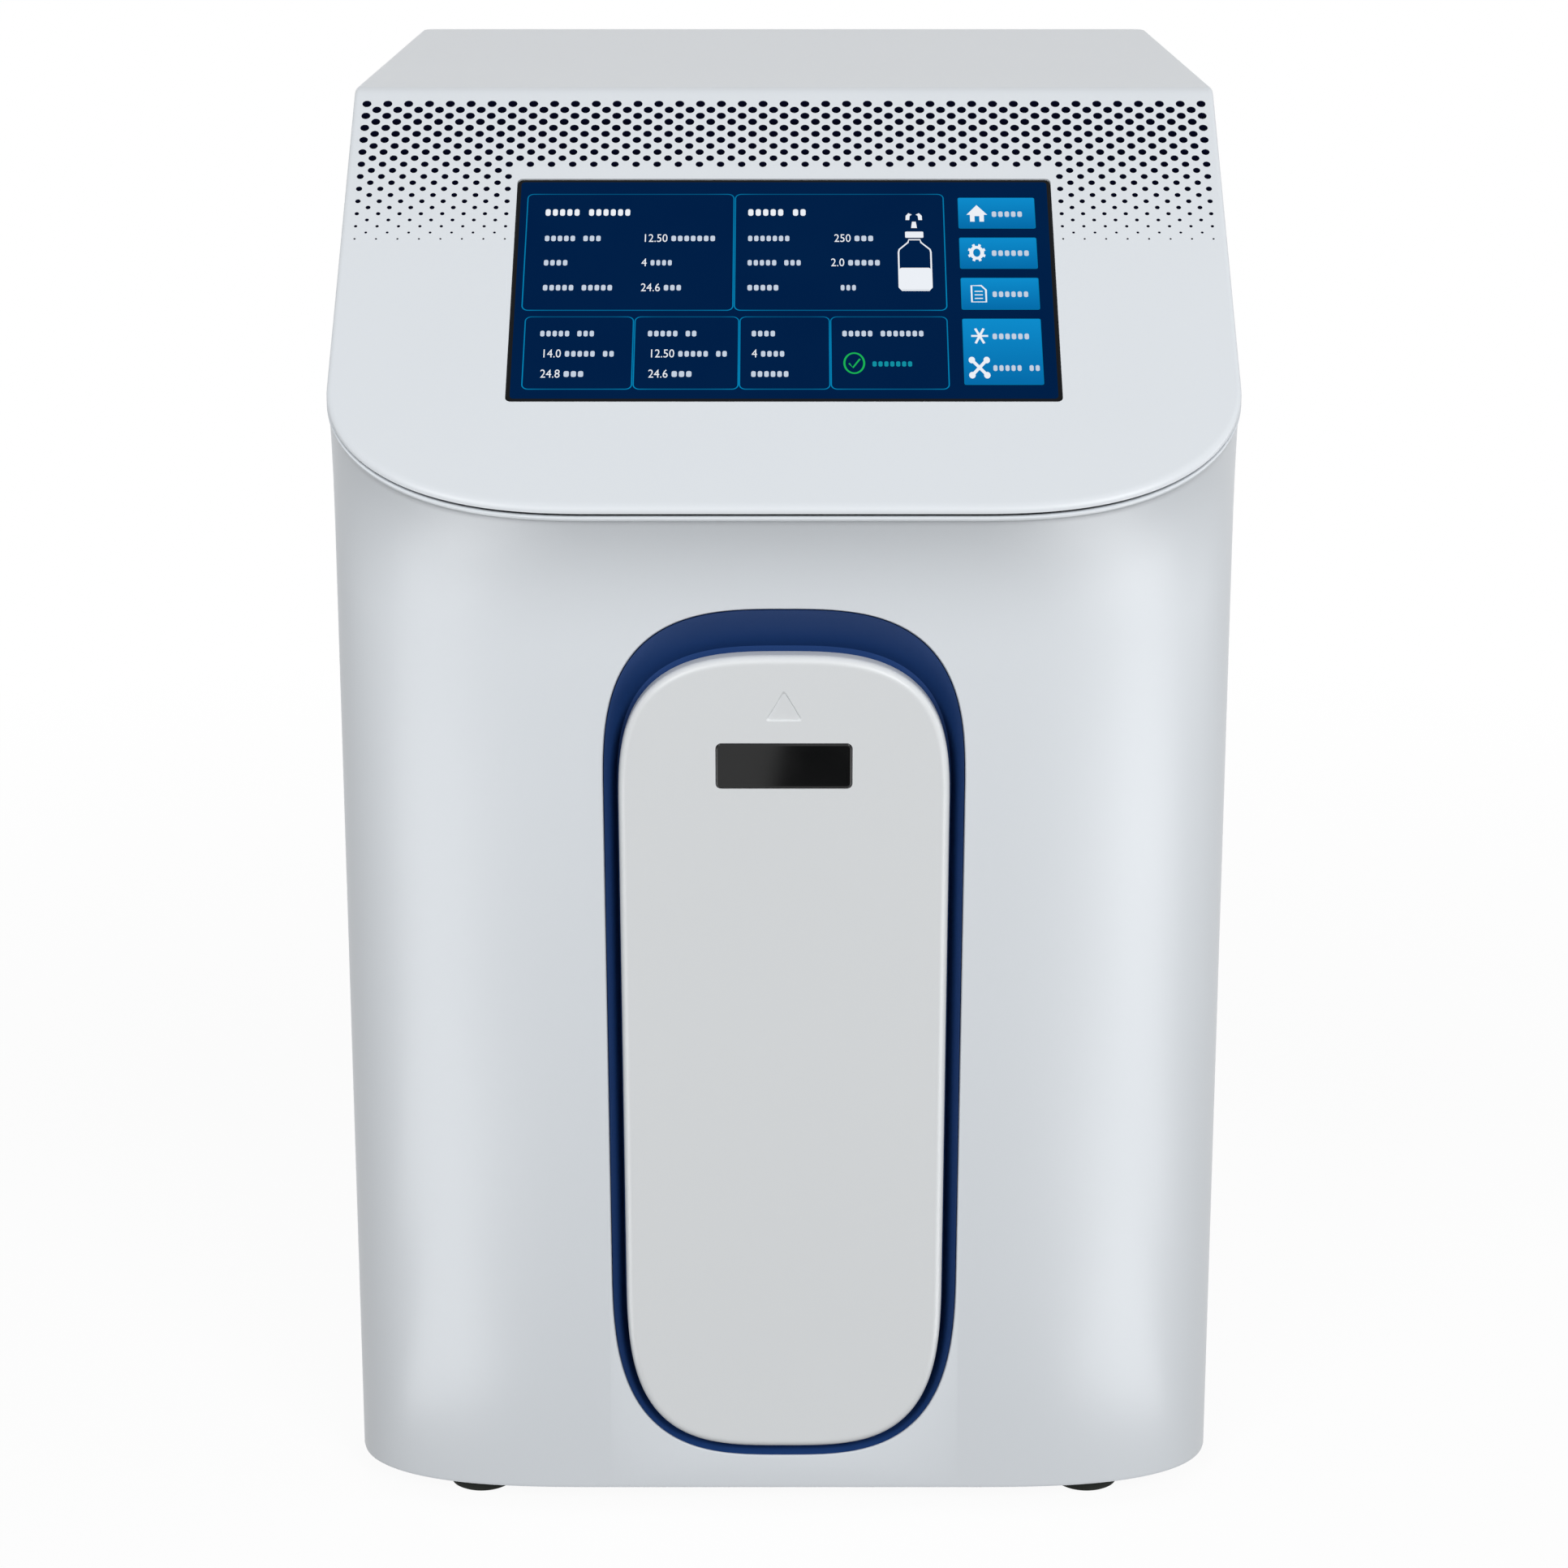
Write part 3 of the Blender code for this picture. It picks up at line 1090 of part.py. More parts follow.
def build_rear():
    """The sunk rear panel with its fan, hose ports, power inlet and switch, and what stands behind them."""
    outer = REAR_OPENING_HALF_WIDTH + REAR_TRAY_MARGIN
    low, high = REAR_OPENING_BOTTOM - REAR_TRAY_MARGIN, REAR_OPENING_TOP + REAR_TRAY_MARGIN
    rim_y = CASE_BACK_Y - CASE_WALL - SEAT_GAP
    panel_mesh = box_mesh("rear_panel", (-outer, REAR_PANEL_FRONT_Y, low), (outer, rim_y, high))
    panel = piece("rear_panel", panel_mesh, "coated_steel")
    wall = REAR_TRAY_WALL
    hollow = box_mesh(
        "rear_panel_cut", (-outer + wall, REAR_PANEL_BACK_Y, low + wall),
        (outer - wall, rim_y + FACE_OVERRUN, high - wall),
    )
    combine(panel, cutter("rear_panel_cut", hollow))
    through_low, through_high = REAR_PANEL_FRONT_Y - FACE_OVERRUN, REAR_PANEL_BACK_Y + FACE_OVERRUN

    def round_hole(name, x, z, radius, segments=20):
        mesh = rod_mesh(name, radius, through_low, through_high, "Y", segments)
        combine(panel, cutter(name, mesh, (x, 0, z)))

    def square_hole(name, x, z, half_width, half_height):
        mesh = box_mesh(
            name, (x - half_width, through_low, z - half_height),
            (x + half_width, through_high, z + half_height),
        )
        combine(panel, cutter(name, mesh))

    round_hole("fan_hole", FAN_X, FAN_Z, FAN_BORE_RADIUS, 32)
    square_hole(
        "inlet_hole", INLET_X, INLET_Z, INLET_BODY_HALF_WIDTH + SEAT_GAP,
        INLET_BODY_HALF_HEIGHT + SEAT_GAP,
    )
    square_hole(
        "switch_hole", INLET_X, SWITCH_Z, SWITCH_BODY_HALF_WIDTH + SEAT_GAP,
        SWITCH_BODY_HALF_HEIGHT + SEAT_GAP,
    )
    for i, name in enumerate(PORT_NAMES):
        x = PORT_FIRST_X + PORT_SPACING * i
        round_hole(f"{name}_hole", x, PORT_Z, PORT_STUB_RADIUS + SEAT_GAP)
        build_port(name, x)
    screw_x = REAR_OPENING_HALF_WIDTH - SCREW_INSET
    places = (
        ("panel_screw_lower_left", -screw_x, REAR_OPENING_BOTTOM + SCREW_INSET),
        ("panel_screw_lower_right", screw_x, REAR_OPENING_BOTTOM + SCREW_INSET),
        ("panel_screw_upper_left", -screw_x, REAR_OPENING_TOP - SCREW_INSET),
        ("panel_screw_upper_right", screw_x, REAR_OPENING_TOP - SCREW_INSET),
    )
    profile = [
        (0, SCREW_HEAD_HEIGHT), (SCREW_HEAD_RADIUS * 3 / 4, SCREW_HEAD_HEIGHT), (SCREW_HEAD_RADIUS, 0),
        (SCREW_SHANK_RADIUS, 0), (SCREW_SHANK_RADIUS, -SCREW_SHANK_LENGTH), (0, -SCREW_SHANK_LENGTH),
    ]
    for name, x, z in places:
        round_hole(f"{name}_hole", x, z, SCREW_SHANK_RADIUS + SEAT_GAP, 12)
        turned(name, profile, "steel", (x, REAR_FACE_Y, z), (-math.pi / 2, 0, 0), 12)
    smooth(bake(panel))
    build_inlet()
    build_switch()
    build_fan()
    build_valve()


def build_port(name, x):
    """One push-fit hose port through the rear panel, with its bore."""
    body_end = PORT_COLLAR_LENGTH + PORT_BODY_LENGTH
    mouth = body_end + PORT_COLLET_LENGTH
    bore_floor = PORT_COLLAR_LENGTH
    profile = [
        (0, bore_floor), (PORT_BORE_RADIUS, bore_floor), (PORT_BORE_RADIUS, mouth),
        (PORT_COLLET_RADIUS, mouth), (PORT_COLLET_RADIUS, body_end), (PORT_BODY_RADIUS, body_end),
        (PORT_BODY_RADIUS, PORT_COLLAR_LENGTH), (PORT_COLLAR_RADIUS, PORT_COLLAR_LENGTH),
        (PORT_COLLAR_RADIUS, 0), (PORT_STUB_RADIUS, 0),
        (PORT_STUB_RADIUS, -REAR_TRAY_WALL - PORT_STUB_LENGTH), (0, -REAR_TRAY_WALL - PORT_STUB_LENGTH),
    ]
    turned(name, profile, "grey_plastic", (x, REAR_FACE_Y, PORT_Z), (-math.pi / 2, 0, 0), 20)


def build_inlet():
    """The power inlet: a flanged socket with three contacts standing on its floor."""
    body = box_mesh(
        "power_inlet", (-INLET_BODY_HALF_WIDTH, -INLET_BODY_DEPTH, -INLET_BODY_HALF_HEIGHT),
        (INLET_BODY_HALF_WIDTH, INLET_FLANGE_THICKNESS / 2, INLET_BODY_HALF_HEIGHT),
    )
    place = (INLET_X, REAR_FACE_Y, INLET_Z)
    inlet = piece("power_inlet", body, "dark_plastic", place)
    flange = prism_mesh(
        "inlet_flange",
        rounded_rectangle(
            INLET_FLANGE_HALF_WIDTH, -INLET_FLANGE_HALF_HEIGHT, INLET_FLANGE_HALF_HEIGHT,
            INLET_FLANGE_THICKNESS,
        ),
        0, INLET_FLANGE_THICKNESS, "Y",
    )
    combine(inlet, cutter("inlet_flange", flange, place), "UNION")
    socket_floor = INLET_FLANGE_THICKNESS - INLET_SOCKET_DEPTH
    chamfer = INLET_SOCKET_HALF_HEIGHT / 2
    w, h = INLET_SOCKET_HALF_WIDTH, INLET_SOCKET_HALF_HEIGHT
    outline = [(w, -h), (w, h - chamfer), (w - chamfer, h), (chamfer - w, h), (-w, h - chamfer), (-w, -h)]
    socket = prism_mesh("inlet_socket", outline, socket_floor, INLET_FLANGE_THICKNESS + FACE_OVERRUN, "Y")
    combine(inlet, cutter("inlet_socket", socket, place))
    contacts = ((-CONTACT_SPACING, 0), (CONTACT_SPACING, 0), (0, EARTH_CONTACT_RISE))
    for i, (x, z) in enumerate(contacts):
        contact = box_mesh(
            f"inlet_contact_{i}",
            (x - BLADE_HALF_THICKNESS, socket_floor - BLADE_HALF_THICKNESS, z - BLADE_HALF_HEIGHT),
            (x + BLADE_HALF_THICKNESS, socket_floor + CONTACT_LENGTH, z + BLADE_HALF_HEIGHT),
        )
        combine(inlet, cutter(f"inlet_contact_{i}", contact, place), "UNION")
    bake(inlet)


def build_switch():
    """The power switch: a bezel in the rear panel and a rocker that tips in it."""
    place = (INLET_X, REAR_FACE_Y, SWITCH_Z)
    body = box_mesh(
        "switch_bezel", (-SWITCH_BODY_HALF_WIDTH, -SWITCH_BODY_DEPTH, -SWITCH_BODY_HALF_HEIGHT),
        (SWITCH_BODY_HALF_WIDTH, SWITCH_FLANGE_THICKNESS / 2, SWITCH_BODY_HALF_HEIGHT),
    )
    bezel = piece("switch_bezel", body, "dark_plastic", place)
    flange = box_mesh(
        "switch_flange", (-SWITCH_FLANGE_HALF_WIDTH, 0, -SWITCH_FLANGE_HALF_HEIGHT),
        (SWITCH_FLANGE_HALF_WIDTH, SWITCH_FLANGE_THICKNESS, SWITCH_FLANGE_HALF_HEIGHT),
    )
    combine(bezel, cutter("switch_flange", flange, place), "UNION")
    hole = box_mesh(
        "switch_room",
        (-SWITCH_HOLE_HALF_WIDTH, SWITCH_FLANGE_THICKNESS - SWITCH_HOLE_DEPTH, -SWITCH_HOLE_HALF_HEIGHT),
        (SWITCH_HOLE_HALF_WIDTH, SWITCH_FLANGE_THICKNESS + FACE_OVERRUN, SWITCH_HOLE_HALF_HEIGHT),
    )
    combine(bezel, cutter("switch_room", hole, place))
    bake(bezel)
    h = ROCKER_HALF_HEIGHT
    profile = [
        (ROCKER_RISE, h), (ROCKER_RISE - ROCKER_DIP, 0), (ROCKER_RISE, -h), (-ROCKER_SINK, -h),
        (-ROCKER_BACK, 0), (-ROCKER_SINK, h),
    ]
    reach = SWITCH_HOLE_HALF_WIDTH - ROCKER_SIDE_GAP
    mesh = prism_mesh("switch_rocker", profile, -reach, reach, "X")
    piece(
        "switch_rocker", mesh, "black_gloss", (INLET_X, REAR_FACE_Y - ROCKER_AXIS_SINK, SWITCH_Z),
        (-ROCKER_TILT, 0, 0),
    )


def build_fan():
    """The rear fan: frame, bladed rotor and wire guard."""
    place = (FAN_X, REAR_PANEL_FRONT_Y - SEAT_GAP - FAN_DEPTH, FAN_Z)
    square = rounded_rectangle(FAN_HALF_SIZE, -FAN_HALF_SIZE, FAN_HALF_SIZE, FAN_CORNER_RADIUS)
    frame = piece("fan_frame", prism_mesh("fan_frame", square, 0, FAN_DEPTH, "Y"), "dark_plastic", place)
    bore = rod_mesh("fan_bore", FAN_BORE_RADIUS, -FACE_OVERRUN, FAN_DEPTH + FACE_OVERRUN, "Y", 32)
    combine(frame, cutter("fan_bore", bore, place))
    cup = rod_mesh("fan_cup", HUB_CUP_RADIUS, 0, HUB_CUP_DEPTH, "Y")
    combine(frame, cutter("fan_cup", cup, place), "UNION")
    for i in range(SPIDER_ARMS):
        arm = box_mesh(
            f"fan_arm_{i}", (0, SEAT_GAP, -SPIDER_ARM_WIDTH / 2),
            (FAN_BORE_RADIUS + BLADE_TIP_GAP, SPIDER_ARM_THICKNESS, SPIDER_ARM_WIDTH / 2),
        )
        turn = (0, math.tau * (i + 0.25) / SPIDER_ARMS, 0)
        combine(frame, cutter(f"fan_arm_{i}", arm, place, turn), "UNION")
    smooth(bake(frame))
    hub_place = (place[0], place[1] + HUB_CUP_DEPTH + SEAT_GAP, place[2])
    hub_mesh = rod_mesh("fan_rotor", HUB_RADIUS, 0, HUB_DEPTH, "Y")
    rotor = piece("fan_rotor", hub_mesh, "dark_plastic", hub_place)
    tip = FAN_BORE_RADIUS - BLADE_TIP_GAP
    for i in range(BLADE_COUNT):
        blade = box_mesh(
            f"fan_blade_{i}", (HUB_RADIUS - BLADE_ROOT_SINK, -BLADE_CHORD / 2, -BLADE_THICKNESS / 2),
            (tip, BLADE_CHORD / 2, BLADE_THICKNESS / 2),
        )
        blade.transform(Matrix.Rotation(BLADE_PITCH, 4, "X"))
        blade.transform(Matrix.Translation((0, HUB_DEPTH / 2, 0)))
        blade.transform(Matrix.Rotation(math.tau * i / BLADE_COUNT, 4, "Y"))
        combine(rotor, cutter(f"fan_blade_{i}", blade, hub_place), "UNION")
    smooth(bake(rotor))
    guard_y = REAR_FACE_Y + GUARD_WIRE_RADIUS
    outer = GUARD_RING_SPACING * GUARD_RINGS + HUB_CUP_RADIUS / 2
    guard = piece("fan_guard", torus_mesh("fan_guard", outer), "steel", (FAN_X, guard_y, FAN_Z))
    for i in range(1, GUARD_RINGS):
        ring = torus_mesh(f"guard_ring_{i}", outer - GUARD_RING_SPACING * i)
        combine(guard, cutter(f"guard_ring_{i}", ring, (FAN_X, guard_y, FAN_Z)), "UNION")
    inner = outer - GUARD_RING_SPACING * (GUARD_RINGS - 1) - GUARD_WIRE_RADIUS
    for i in range(GUARD_SPOKES):
        spoke = rod_mesh(f"guard_spoke_{i}", GUARD_WIRE_RADIUS, inner, outer + GUARD_WIRE_RADIUS, "X", 8)
        spoke.transform(Matrix.Rotation(math.tau * (i + 0.5) / GUARD_SPOKES, 4, "Y"))
        combine(guard, cutter(f"guard_spoke_{i}", spoke, (FAN_X, guard_y, FAN_Z)), "UNION")
    smooth(bake(guard))


def torus_mesh(name, radius):
    """One wire ring of the fan guard, about the Y axis."""
    shape = bmesh.new()
    sides = 6
    segments = 28
    rows = []
    for i in range(segments):
        around = math.tau * i / segments
        row = []
        for j in range(sides):
            angle = math.tau * (j + 0.5) / sides
            reach = radius + GUARD_WIRE_RADIUS * math.cos(angle)
            row.append(shape.verts.new((
                reach * math.cos(around), GUARD_WIRE_RADIUS * math.sin(angle), reach * math.sin(around)
            )))
        rows.append(row)
    for row, following in zip(rows, rows[1:] + rows[:1]):
        for j in range(sides):
            nearby = (j + 1) % sides
            shape.faces.new((row[j], row[nearby], following[nearby], following[j]))
    return mesh_from(shape, name)


def build_valve():
    """The solenoid valve on the inner stub of the feed port."""
    back = REAR_PANEL_FRONT_Y - SEAT_GAP
    place = (PORT_FIRST_X, back, PORT_Z)
    block = box_mesh(
        "solenoid_valve", (-VALVE_HALF_WIDTH, -VALVE_LENGTH, -VALVE_HALF_WIDTH),
        (VALVE_HALF_WIDTH, 0, VALVE_HEIGHT - VALVE_HALF_WIDTH),
    )
    valve = piece("solenoid_valve", block, "blue_cap", place)
    coil = rod_mesh("valve_coil", COIL_RADIUS, 0, VALVE_HEIGHT - VALVE_HALF_WIDTH + COIL_LENGTH, "Z", 16)
    combine(valve, cutter("valve_coil", coil, (place[0], back - VALVE_LENGTH / 2, place[2])), "UNION")
    bore = rod_mesh(
        "valve_bore", PORT_STUB_RADIUS + SEAT_GAP, -PORT_STUB_LENGTH - 2 * SEAT_GAP, FACE_OVERRUN, "Y", 20
    )
    combine(valve, cutter("valve_bore", bore, place))
    smooth(bake(valve))


def main():
    """Build the whole machine."""
    clear_scene()
    build_case()
    build_lid()
    build_screen()
    build_base()
    build_surround()
    build_door()
    build_bay()
    build_chassis()
    build_water_train()
    build_rear()


if __name__ == "__main__":
    main()
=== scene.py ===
"""Looks of a benchtop ultrapure water system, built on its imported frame: metres, +Z up, front towards -Y."""

import logging
import math
from dataclasses import dataclass, field
from enum import Enum
from typing import Any, Callable, Iterable, Sequence

import bmesh
import bpy
from mathutils import Matrix, Vector


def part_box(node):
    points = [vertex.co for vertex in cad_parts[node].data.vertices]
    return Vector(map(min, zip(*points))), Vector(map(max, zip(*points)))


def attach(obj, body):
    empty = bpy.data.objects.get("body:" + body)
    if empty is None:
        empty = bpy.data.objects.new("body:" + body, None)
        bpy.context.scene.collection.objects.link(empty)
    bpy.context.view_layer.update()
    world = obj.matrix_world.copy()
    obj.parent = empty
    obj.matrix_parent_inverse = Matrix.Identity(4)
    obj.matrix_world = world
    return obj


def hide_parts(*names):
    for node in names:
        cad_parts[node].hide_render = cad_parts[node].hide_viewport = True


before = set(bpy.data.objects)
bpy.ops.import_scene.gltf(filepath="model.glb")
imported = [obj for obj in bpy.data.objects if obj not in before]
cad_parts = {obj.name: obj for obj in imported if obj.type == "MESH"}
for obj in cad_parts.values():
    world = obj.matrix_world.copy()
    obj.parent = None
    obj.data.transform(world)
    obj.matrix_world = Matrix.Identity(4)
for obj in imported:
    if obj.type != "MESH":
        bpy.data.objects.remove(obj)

Point = tuple[float, float, float]
Flat = tuple[float, float]
Colour = tuple[float, float, float, float]

logging.basicConfig(level=logging.INFO, format="%(message)s")
log = logging.getLogger("water_system")

GAP = 0.0003


def srgb(red: float, green: float, blue: float) -> Colour:
    """Linear colour of an 8-bit screen colour."""
    shares = (channel / 255 for channel in (red, green, blue))
    return tuple(s / 12.92 if s <= 0.04045 else ((s + 0.055) / 1.055) ** 2.4 for s in shares) + (1.0,)


class Body(str, Enum):
    """The moving bodies that pieces ride on."""

    CABINET = "cabinet"
    DOOR = "door"
    ROCKER = "rocker"
    ROTOR = "rotor"
    LEFT_CARTRIDGE = "cartridge_left"
    RIGHT_CARTRIDGE = "cartridge_right"


class Axis(Enum):
    """The axis that a round or drawn-out shape follows."""

    X = "X"
    Y = "Y"
    Z = "Z"


# Node trees


class Tree:
    """A short way to add and link nodes in one tree."""

    def __init__(self, tree: Any) -> None:
        """Keep the tree that nodes are added to."""
        self.tree = tree

    def add(self, kind: str, values: dict[Any, Any] | None = None, **settings: Any) -> Any:
        """Add a node.

        Args:
            kind: the node's type name.
            values: input values or sockets to link, by input name or number.
            settings: the node's own properties.

        Returns:
            The new node.
        """
        node = self.tree.nodes.new(kind)
        for name, value in settings.items():
            setattr(node, name, value)
        for key, value in (values or {}).items():
            if isinstance(value, bpy.types.NodeSocket):
                self.tree.links.new(value, node.inputs[key])
            else:
                node.inputs[key].default_value = value
        return node

    def math(self, operation: str, *terms: Any) -> Any:
        """Output of a Math node on numbers or sockets."""
        return self.add("ShaderNodeMath", dict(enumerate(terms)), operation=operation).outputs[0]

    def group(self, group: Any, values: dict[str, Any]) -> Any:
        """Add a shader group with its own values."""
        return self.add("ShaderNodeGroup", values, node_tree=group)

    def link(self, start: Any, end: Any) -> None:
        """Link an output to an input.

        Args:
            start: the output.
            end: the input.
        """
        self.tree.links.new(start, end)

    def place(self) -> Any:
        """Object coordinates."""
        return self.add("ShaderNodeTexCoord").outputs["Object"]


def shader_group(
    name: str, inputs: dict[str, tuple[str, Any]], outputs: dict[str, str]
) -> tuple[Any, Tree, Any, Any]:
    """Start a shader group with named sockets.

    Args:
        name: the group's name.
        inputs: socket kind and default value by name.
        outputs: socket kind by name.

    Returns:
        The group, a Tree on it, its input node and its output node.
    """
    group = bpy.data.node_groups.new(name, "ShaderNodeTree")
    for label, (kind, value) in inputs.items():
        socket = group.interface.new_socket(label, in_out="INPUT", socket_type=kind)
        if value is not None:
            socket.default_value = value
    for label, kind in outputs.items():
        group.interface.new_socket(label, in_out="OUTPUT", socket_type=kind)
    tree = Tree(group)
    return group, tree, tree.add("NodeGroupInput"), tree.add("NodeGroupOutput")


def moulded_grain_group() -> Any:
    """Fine moulded grain with broad, faint colour and gloss drift, over Object coordinates.

    Returns:
        The group.
    """
    group, tree, source, result = shader_group(
        "moulded_grain",
        {
            "Colour": ("NodeSocketColor", (0.8, 0.8, 0.8, 1.0)),
            "Grain Scale": ("NodeSocketFloat", 1800.0),
            "Drift": ("NodeSocketFloat", 0.02),
            "Roughness": ("NodeSocketFloat", 0.4),
        },
        {"Colour": "NodeSocketColor", "Roughness": "NodeSocketFloat", "Height": "NodeSocketFloat"},
    )
    place = tree.place()
    fine = tree.add(
        "ShaderNodeTexNoise", {"Vector": place, "Scale": source.outputs["Grain Scale"], "Detail": 2.0}
    )
    broad = tree.add("ShaderNodeTexNoise", {"Vector": place, "Scale": 9.0, "Detail": 3.0})
    drift = tree.math("MULTIPLY", tree.math("SUBTRACT", broad.outputs["Fac"], 0.5), source.outputs["Drift"])
    bright = tree.math("ADD", drift, 1.0)
    colour = tree.add("ShaderNodeVectorMath", {0: source.outputs["Colour"]}, operation="SCALE")
    tree.link(bright, colour.inputs["Scale"])
    gloss = tree.math("MULTIPLY", tree.math("SUBTRACT", fine.outputs["Fac"], 0.5), 0.12)
    tree.link(colour.outputs[0], result.inputs["Colour"])
    tree.link(tree.math("ADD", source.outputs["Roughness"], gloss), result.inputs["Roughness"])
    tree.link(fine.outputs["Fac"], result.inputs["Height"])
    return group


def brushed_lines_group() -> Any:
    """Fine drawn lines along one axis, for bare metal.

    Returns:
        The group.
    """
    group, tree, source, result = shader_group(
        "brushed_lines",
        {
            "Colour": ("NodeSocketColor", (0.5, 0.5, 0.5, 1.0)),
            "Stretch": ("NodeSocketVector", (1.0, 60.0, 60.0)),
            "Roughness": ("NodeSocketFloat", 0.35),
        },
        {"Colour": "NodeSocketColor", "Roughness": "NodeSocketFloat", "Height": "NodeSocketFloat"},
    )
    place = tree.place()
    stretched = tree.add(
        "ShaderNodeVectorMath", {0: place, 1: source.outputs["Stretch"]}, operation="MULTIPLY"
    ).outputs[0]
    lines = tree.add("ShaderNodeTexNoise", {"Vector": stretched, "Scale": 22.0, "Detail": 4.0}).outputs["Fac"]
    bright = tree.math("ADD", tree.math("MULTIPLY", tree.math("SUBTRACT", lines, 0.5), 0.35), 1.0)
    colour = tree.add("ShaderNodeVectorMath", {0: source.outputs["Colour"]}, operation="SCALE")
    tree.link(bright, colour.inputs["Scale"])
    tree.link(colour.outputs[0], result.inputs["Colour"])
    tree.link(
        tree.math("ADD", source.outputs["Roughness"], tree.math("MULTIPLY", lines, 0.15)),
        result.inputs["Roughness"]
    )
    tree.link(lines, result.inputs["Height"])
    return group


def shelf_dust_group() -> Any:
    """A mask of settled dust on faces that look up.

    Returns:
        The group.
    """
    group, tree, source, result = shader_group(
        "shelf_dust", {"Amount": ("NodeSocketFloat", 0.2)}, {"Mask": "NodeSocketFloat"}
    )
    place = tree.place()
    normal = tree.add("ShaderNodeNewGeometry").outputs["Normal"]
    up = tree.add("ShaderNodeSeparateXYZ", {0: normal}).outputs["Z"]
    specks = tree.add("ShaderNodeTexNoise", {"Vector": place, "Scale": 140.0, "Detail": 5.0}).outputs["Fac"]
    facing = tree.math("MAXIMUM", up, 0.0)
    mask = tree.math("MULTIPLY", tree.math("MULTIPLY", facing, specks), source.outputs["Amount"])
    tree.link(mask, result.inputs["Mask"])
    return group


GRAIN = moulded_grain_group()
BRUSHED = brushed_lines_group()
DUST = shelf_dust_group()


# Finishes


def plain_shader(name: str) -> tuple[Any, Tree, Any]:
    """A new material with its node helper and its Principled shader."""
    made = bpy.data.materials.new(name)
    made.use_nodes = True
    return made, Tree(made.node_tree), made.node_tree.nodes["Principled BSDF"]


def bump(tree: Tree, shader: Any, height: Any, strength: float, distance: float) -> None:
    """Feed a height into the shader's normal.

    Args:
        tree: the material's node helper.
        shader: its Principled shader.
        height: the height's socket.
        strength: the bump's strength.
        distance: the height's full depth, in metres.
    """
    node = tree.add("ShaderNodeBump", {"Height": height, "Strength": strength, "Distance": distance})
    tree.link(node.outputs[0], shader.inputs["Normal"])


@dataclass(frozen=True)
class MouldedPlastic:
    """Injection-moulded plastic with a fine grain."""

    name: str
    colour: Colour
    roughness: float = 0.4
    grain_scale: float = 1800.0
    grain_depth: float = 0.00002
    drift: float = 0.02
    coat: float = 0.0
    specular: float = 0.5
    dust: float = 0.0

    def make(self) -> Any:
        """Build the material.

        Returns:
            The material.
        """
        made, tree, shader = plain_shader(self.name)
        grain = tree.group(
            GRAIN,
            {
                "Colour": self.colour, "Grain Scale": self.grain_scale, "Drift": self.drift,
                "Roughness": self.roughness,
            },
        )
        colour = grain.outputs["Colour"]
        if self.dust:
            mask = tree.group(DUST, {"Amount": self.dust}).outputs["Mask"]
            mix = tree.add("ShaderNodeMix", data_type="RGBA")
            tree.link(mask, mix.inputs["Factor"])
            tree.link(colour, mix.inputs["A"])
            mix.inputs["B"].default_value = srgb(168, 168, 164)
            colour = mix.outputs["Result"]
        tree.link(colour, shader.inputs["Base Color"])
        tree.link(grain.outputs["Roughness"], shader.inputs["Roughness"])
        shader.inputs["Coat Weight"].default_value = self.coat
        shader.inputs["Coat Roughness"].default_value = 0.12
        shader.inputs["Specular IOR Level"].default_value = self.specular
        bump(tree, shader, grain.outputs["Height"], 0.5, self.grain_depth)
        made.diffuse_color = self.colour
        return made


@dataclass(frozen=True)
class BrushedMetal:
    """Bare drawn metal."""

    name: str
    colour: Colour
    stretch: Point = (1.0, 60.0, 60.0)
    roughness: float = 0.3

    def make(self) -> Any:
        """Build the material.

        Returns:
            The material.
        """
        made, tree, shader = plain_shader(self.name)
        lines = tree.group(
            BRUSHED, {"Colour": self.colour, "Stretch": self.stretch, "Roughness": self.roughness}
        )
        tree.link(lines.outputs["Colour"], shader.inputs["Base Color"])
        tree.link(lines.outputs["Roughness"], shader.inputs["Roughness"])
        shader.inputs["Metallic"].default_value = 1.0
        bump(tree, shader, lines.outputs["Height"], 0.2, 0.00003)
        made.diffuse_color = self.colour
        return made


@dataclass(frozen=True)
class FilterFoam:
    """Open-pored dark foam."""

    name: str
    colour: Colour

    def make(self) -> Any:
        """Build the material.

        Returns:
            The material.
        """
        made, tree, shader = plain_shader(self.name)
        place = tree.place()
        pores = tree.add("ShaderNodeTexVoronoi", {"Vector": place, "Scale": 900.0}).outputs["Distance"]
        ramp = tree.add("ShaderNodeValToRGB", {"Fac": pores})
        ramp.color_ramp.elements[0].color = (*(c * 0.35 for c in self.colour[:3]), 1.0)
        ramp.color_ramp.elements[1].color = self.colour
        tree.link(ramp.outputs["Color"], shader.inputs["Base Color"])
        shader.inputs["Roughness"].default_value = 0.95
        shader.inputs["Specular IOR Level"].default_value = 0.1
        bump(tree, shader, pores, 0.8, 0.0004)
        return made


@dataclass(frozen=True)
class CircuitBoard:
    """Solder-masked board with faint tracks."""

    name: str
    mask: Colour
    track: Colour

    def make(self) -> Any:
        """Build the material.

        Returns:
            The material.
        """
        made, tree, shader = plain_shader(self.name)
        place = tree.place()
        tracks = tree.add(
            "ShaderNodeTexBrick",
            {
                "Vector": place, "Scale": 90.0, "Mortar Size": 0.06, "Color1": self.mask, "Color2": self.mask,
                "Mortar": self.track,
            },
        )
        tree.link(tracks.outputs["Color"], shader.inputs["Base Color"])
        shader.inputs["Roughness"].default_value = 0.4
        bump(tree, shader, tracks.outputs["Fac"], 0.3, 0.0001)
        return made


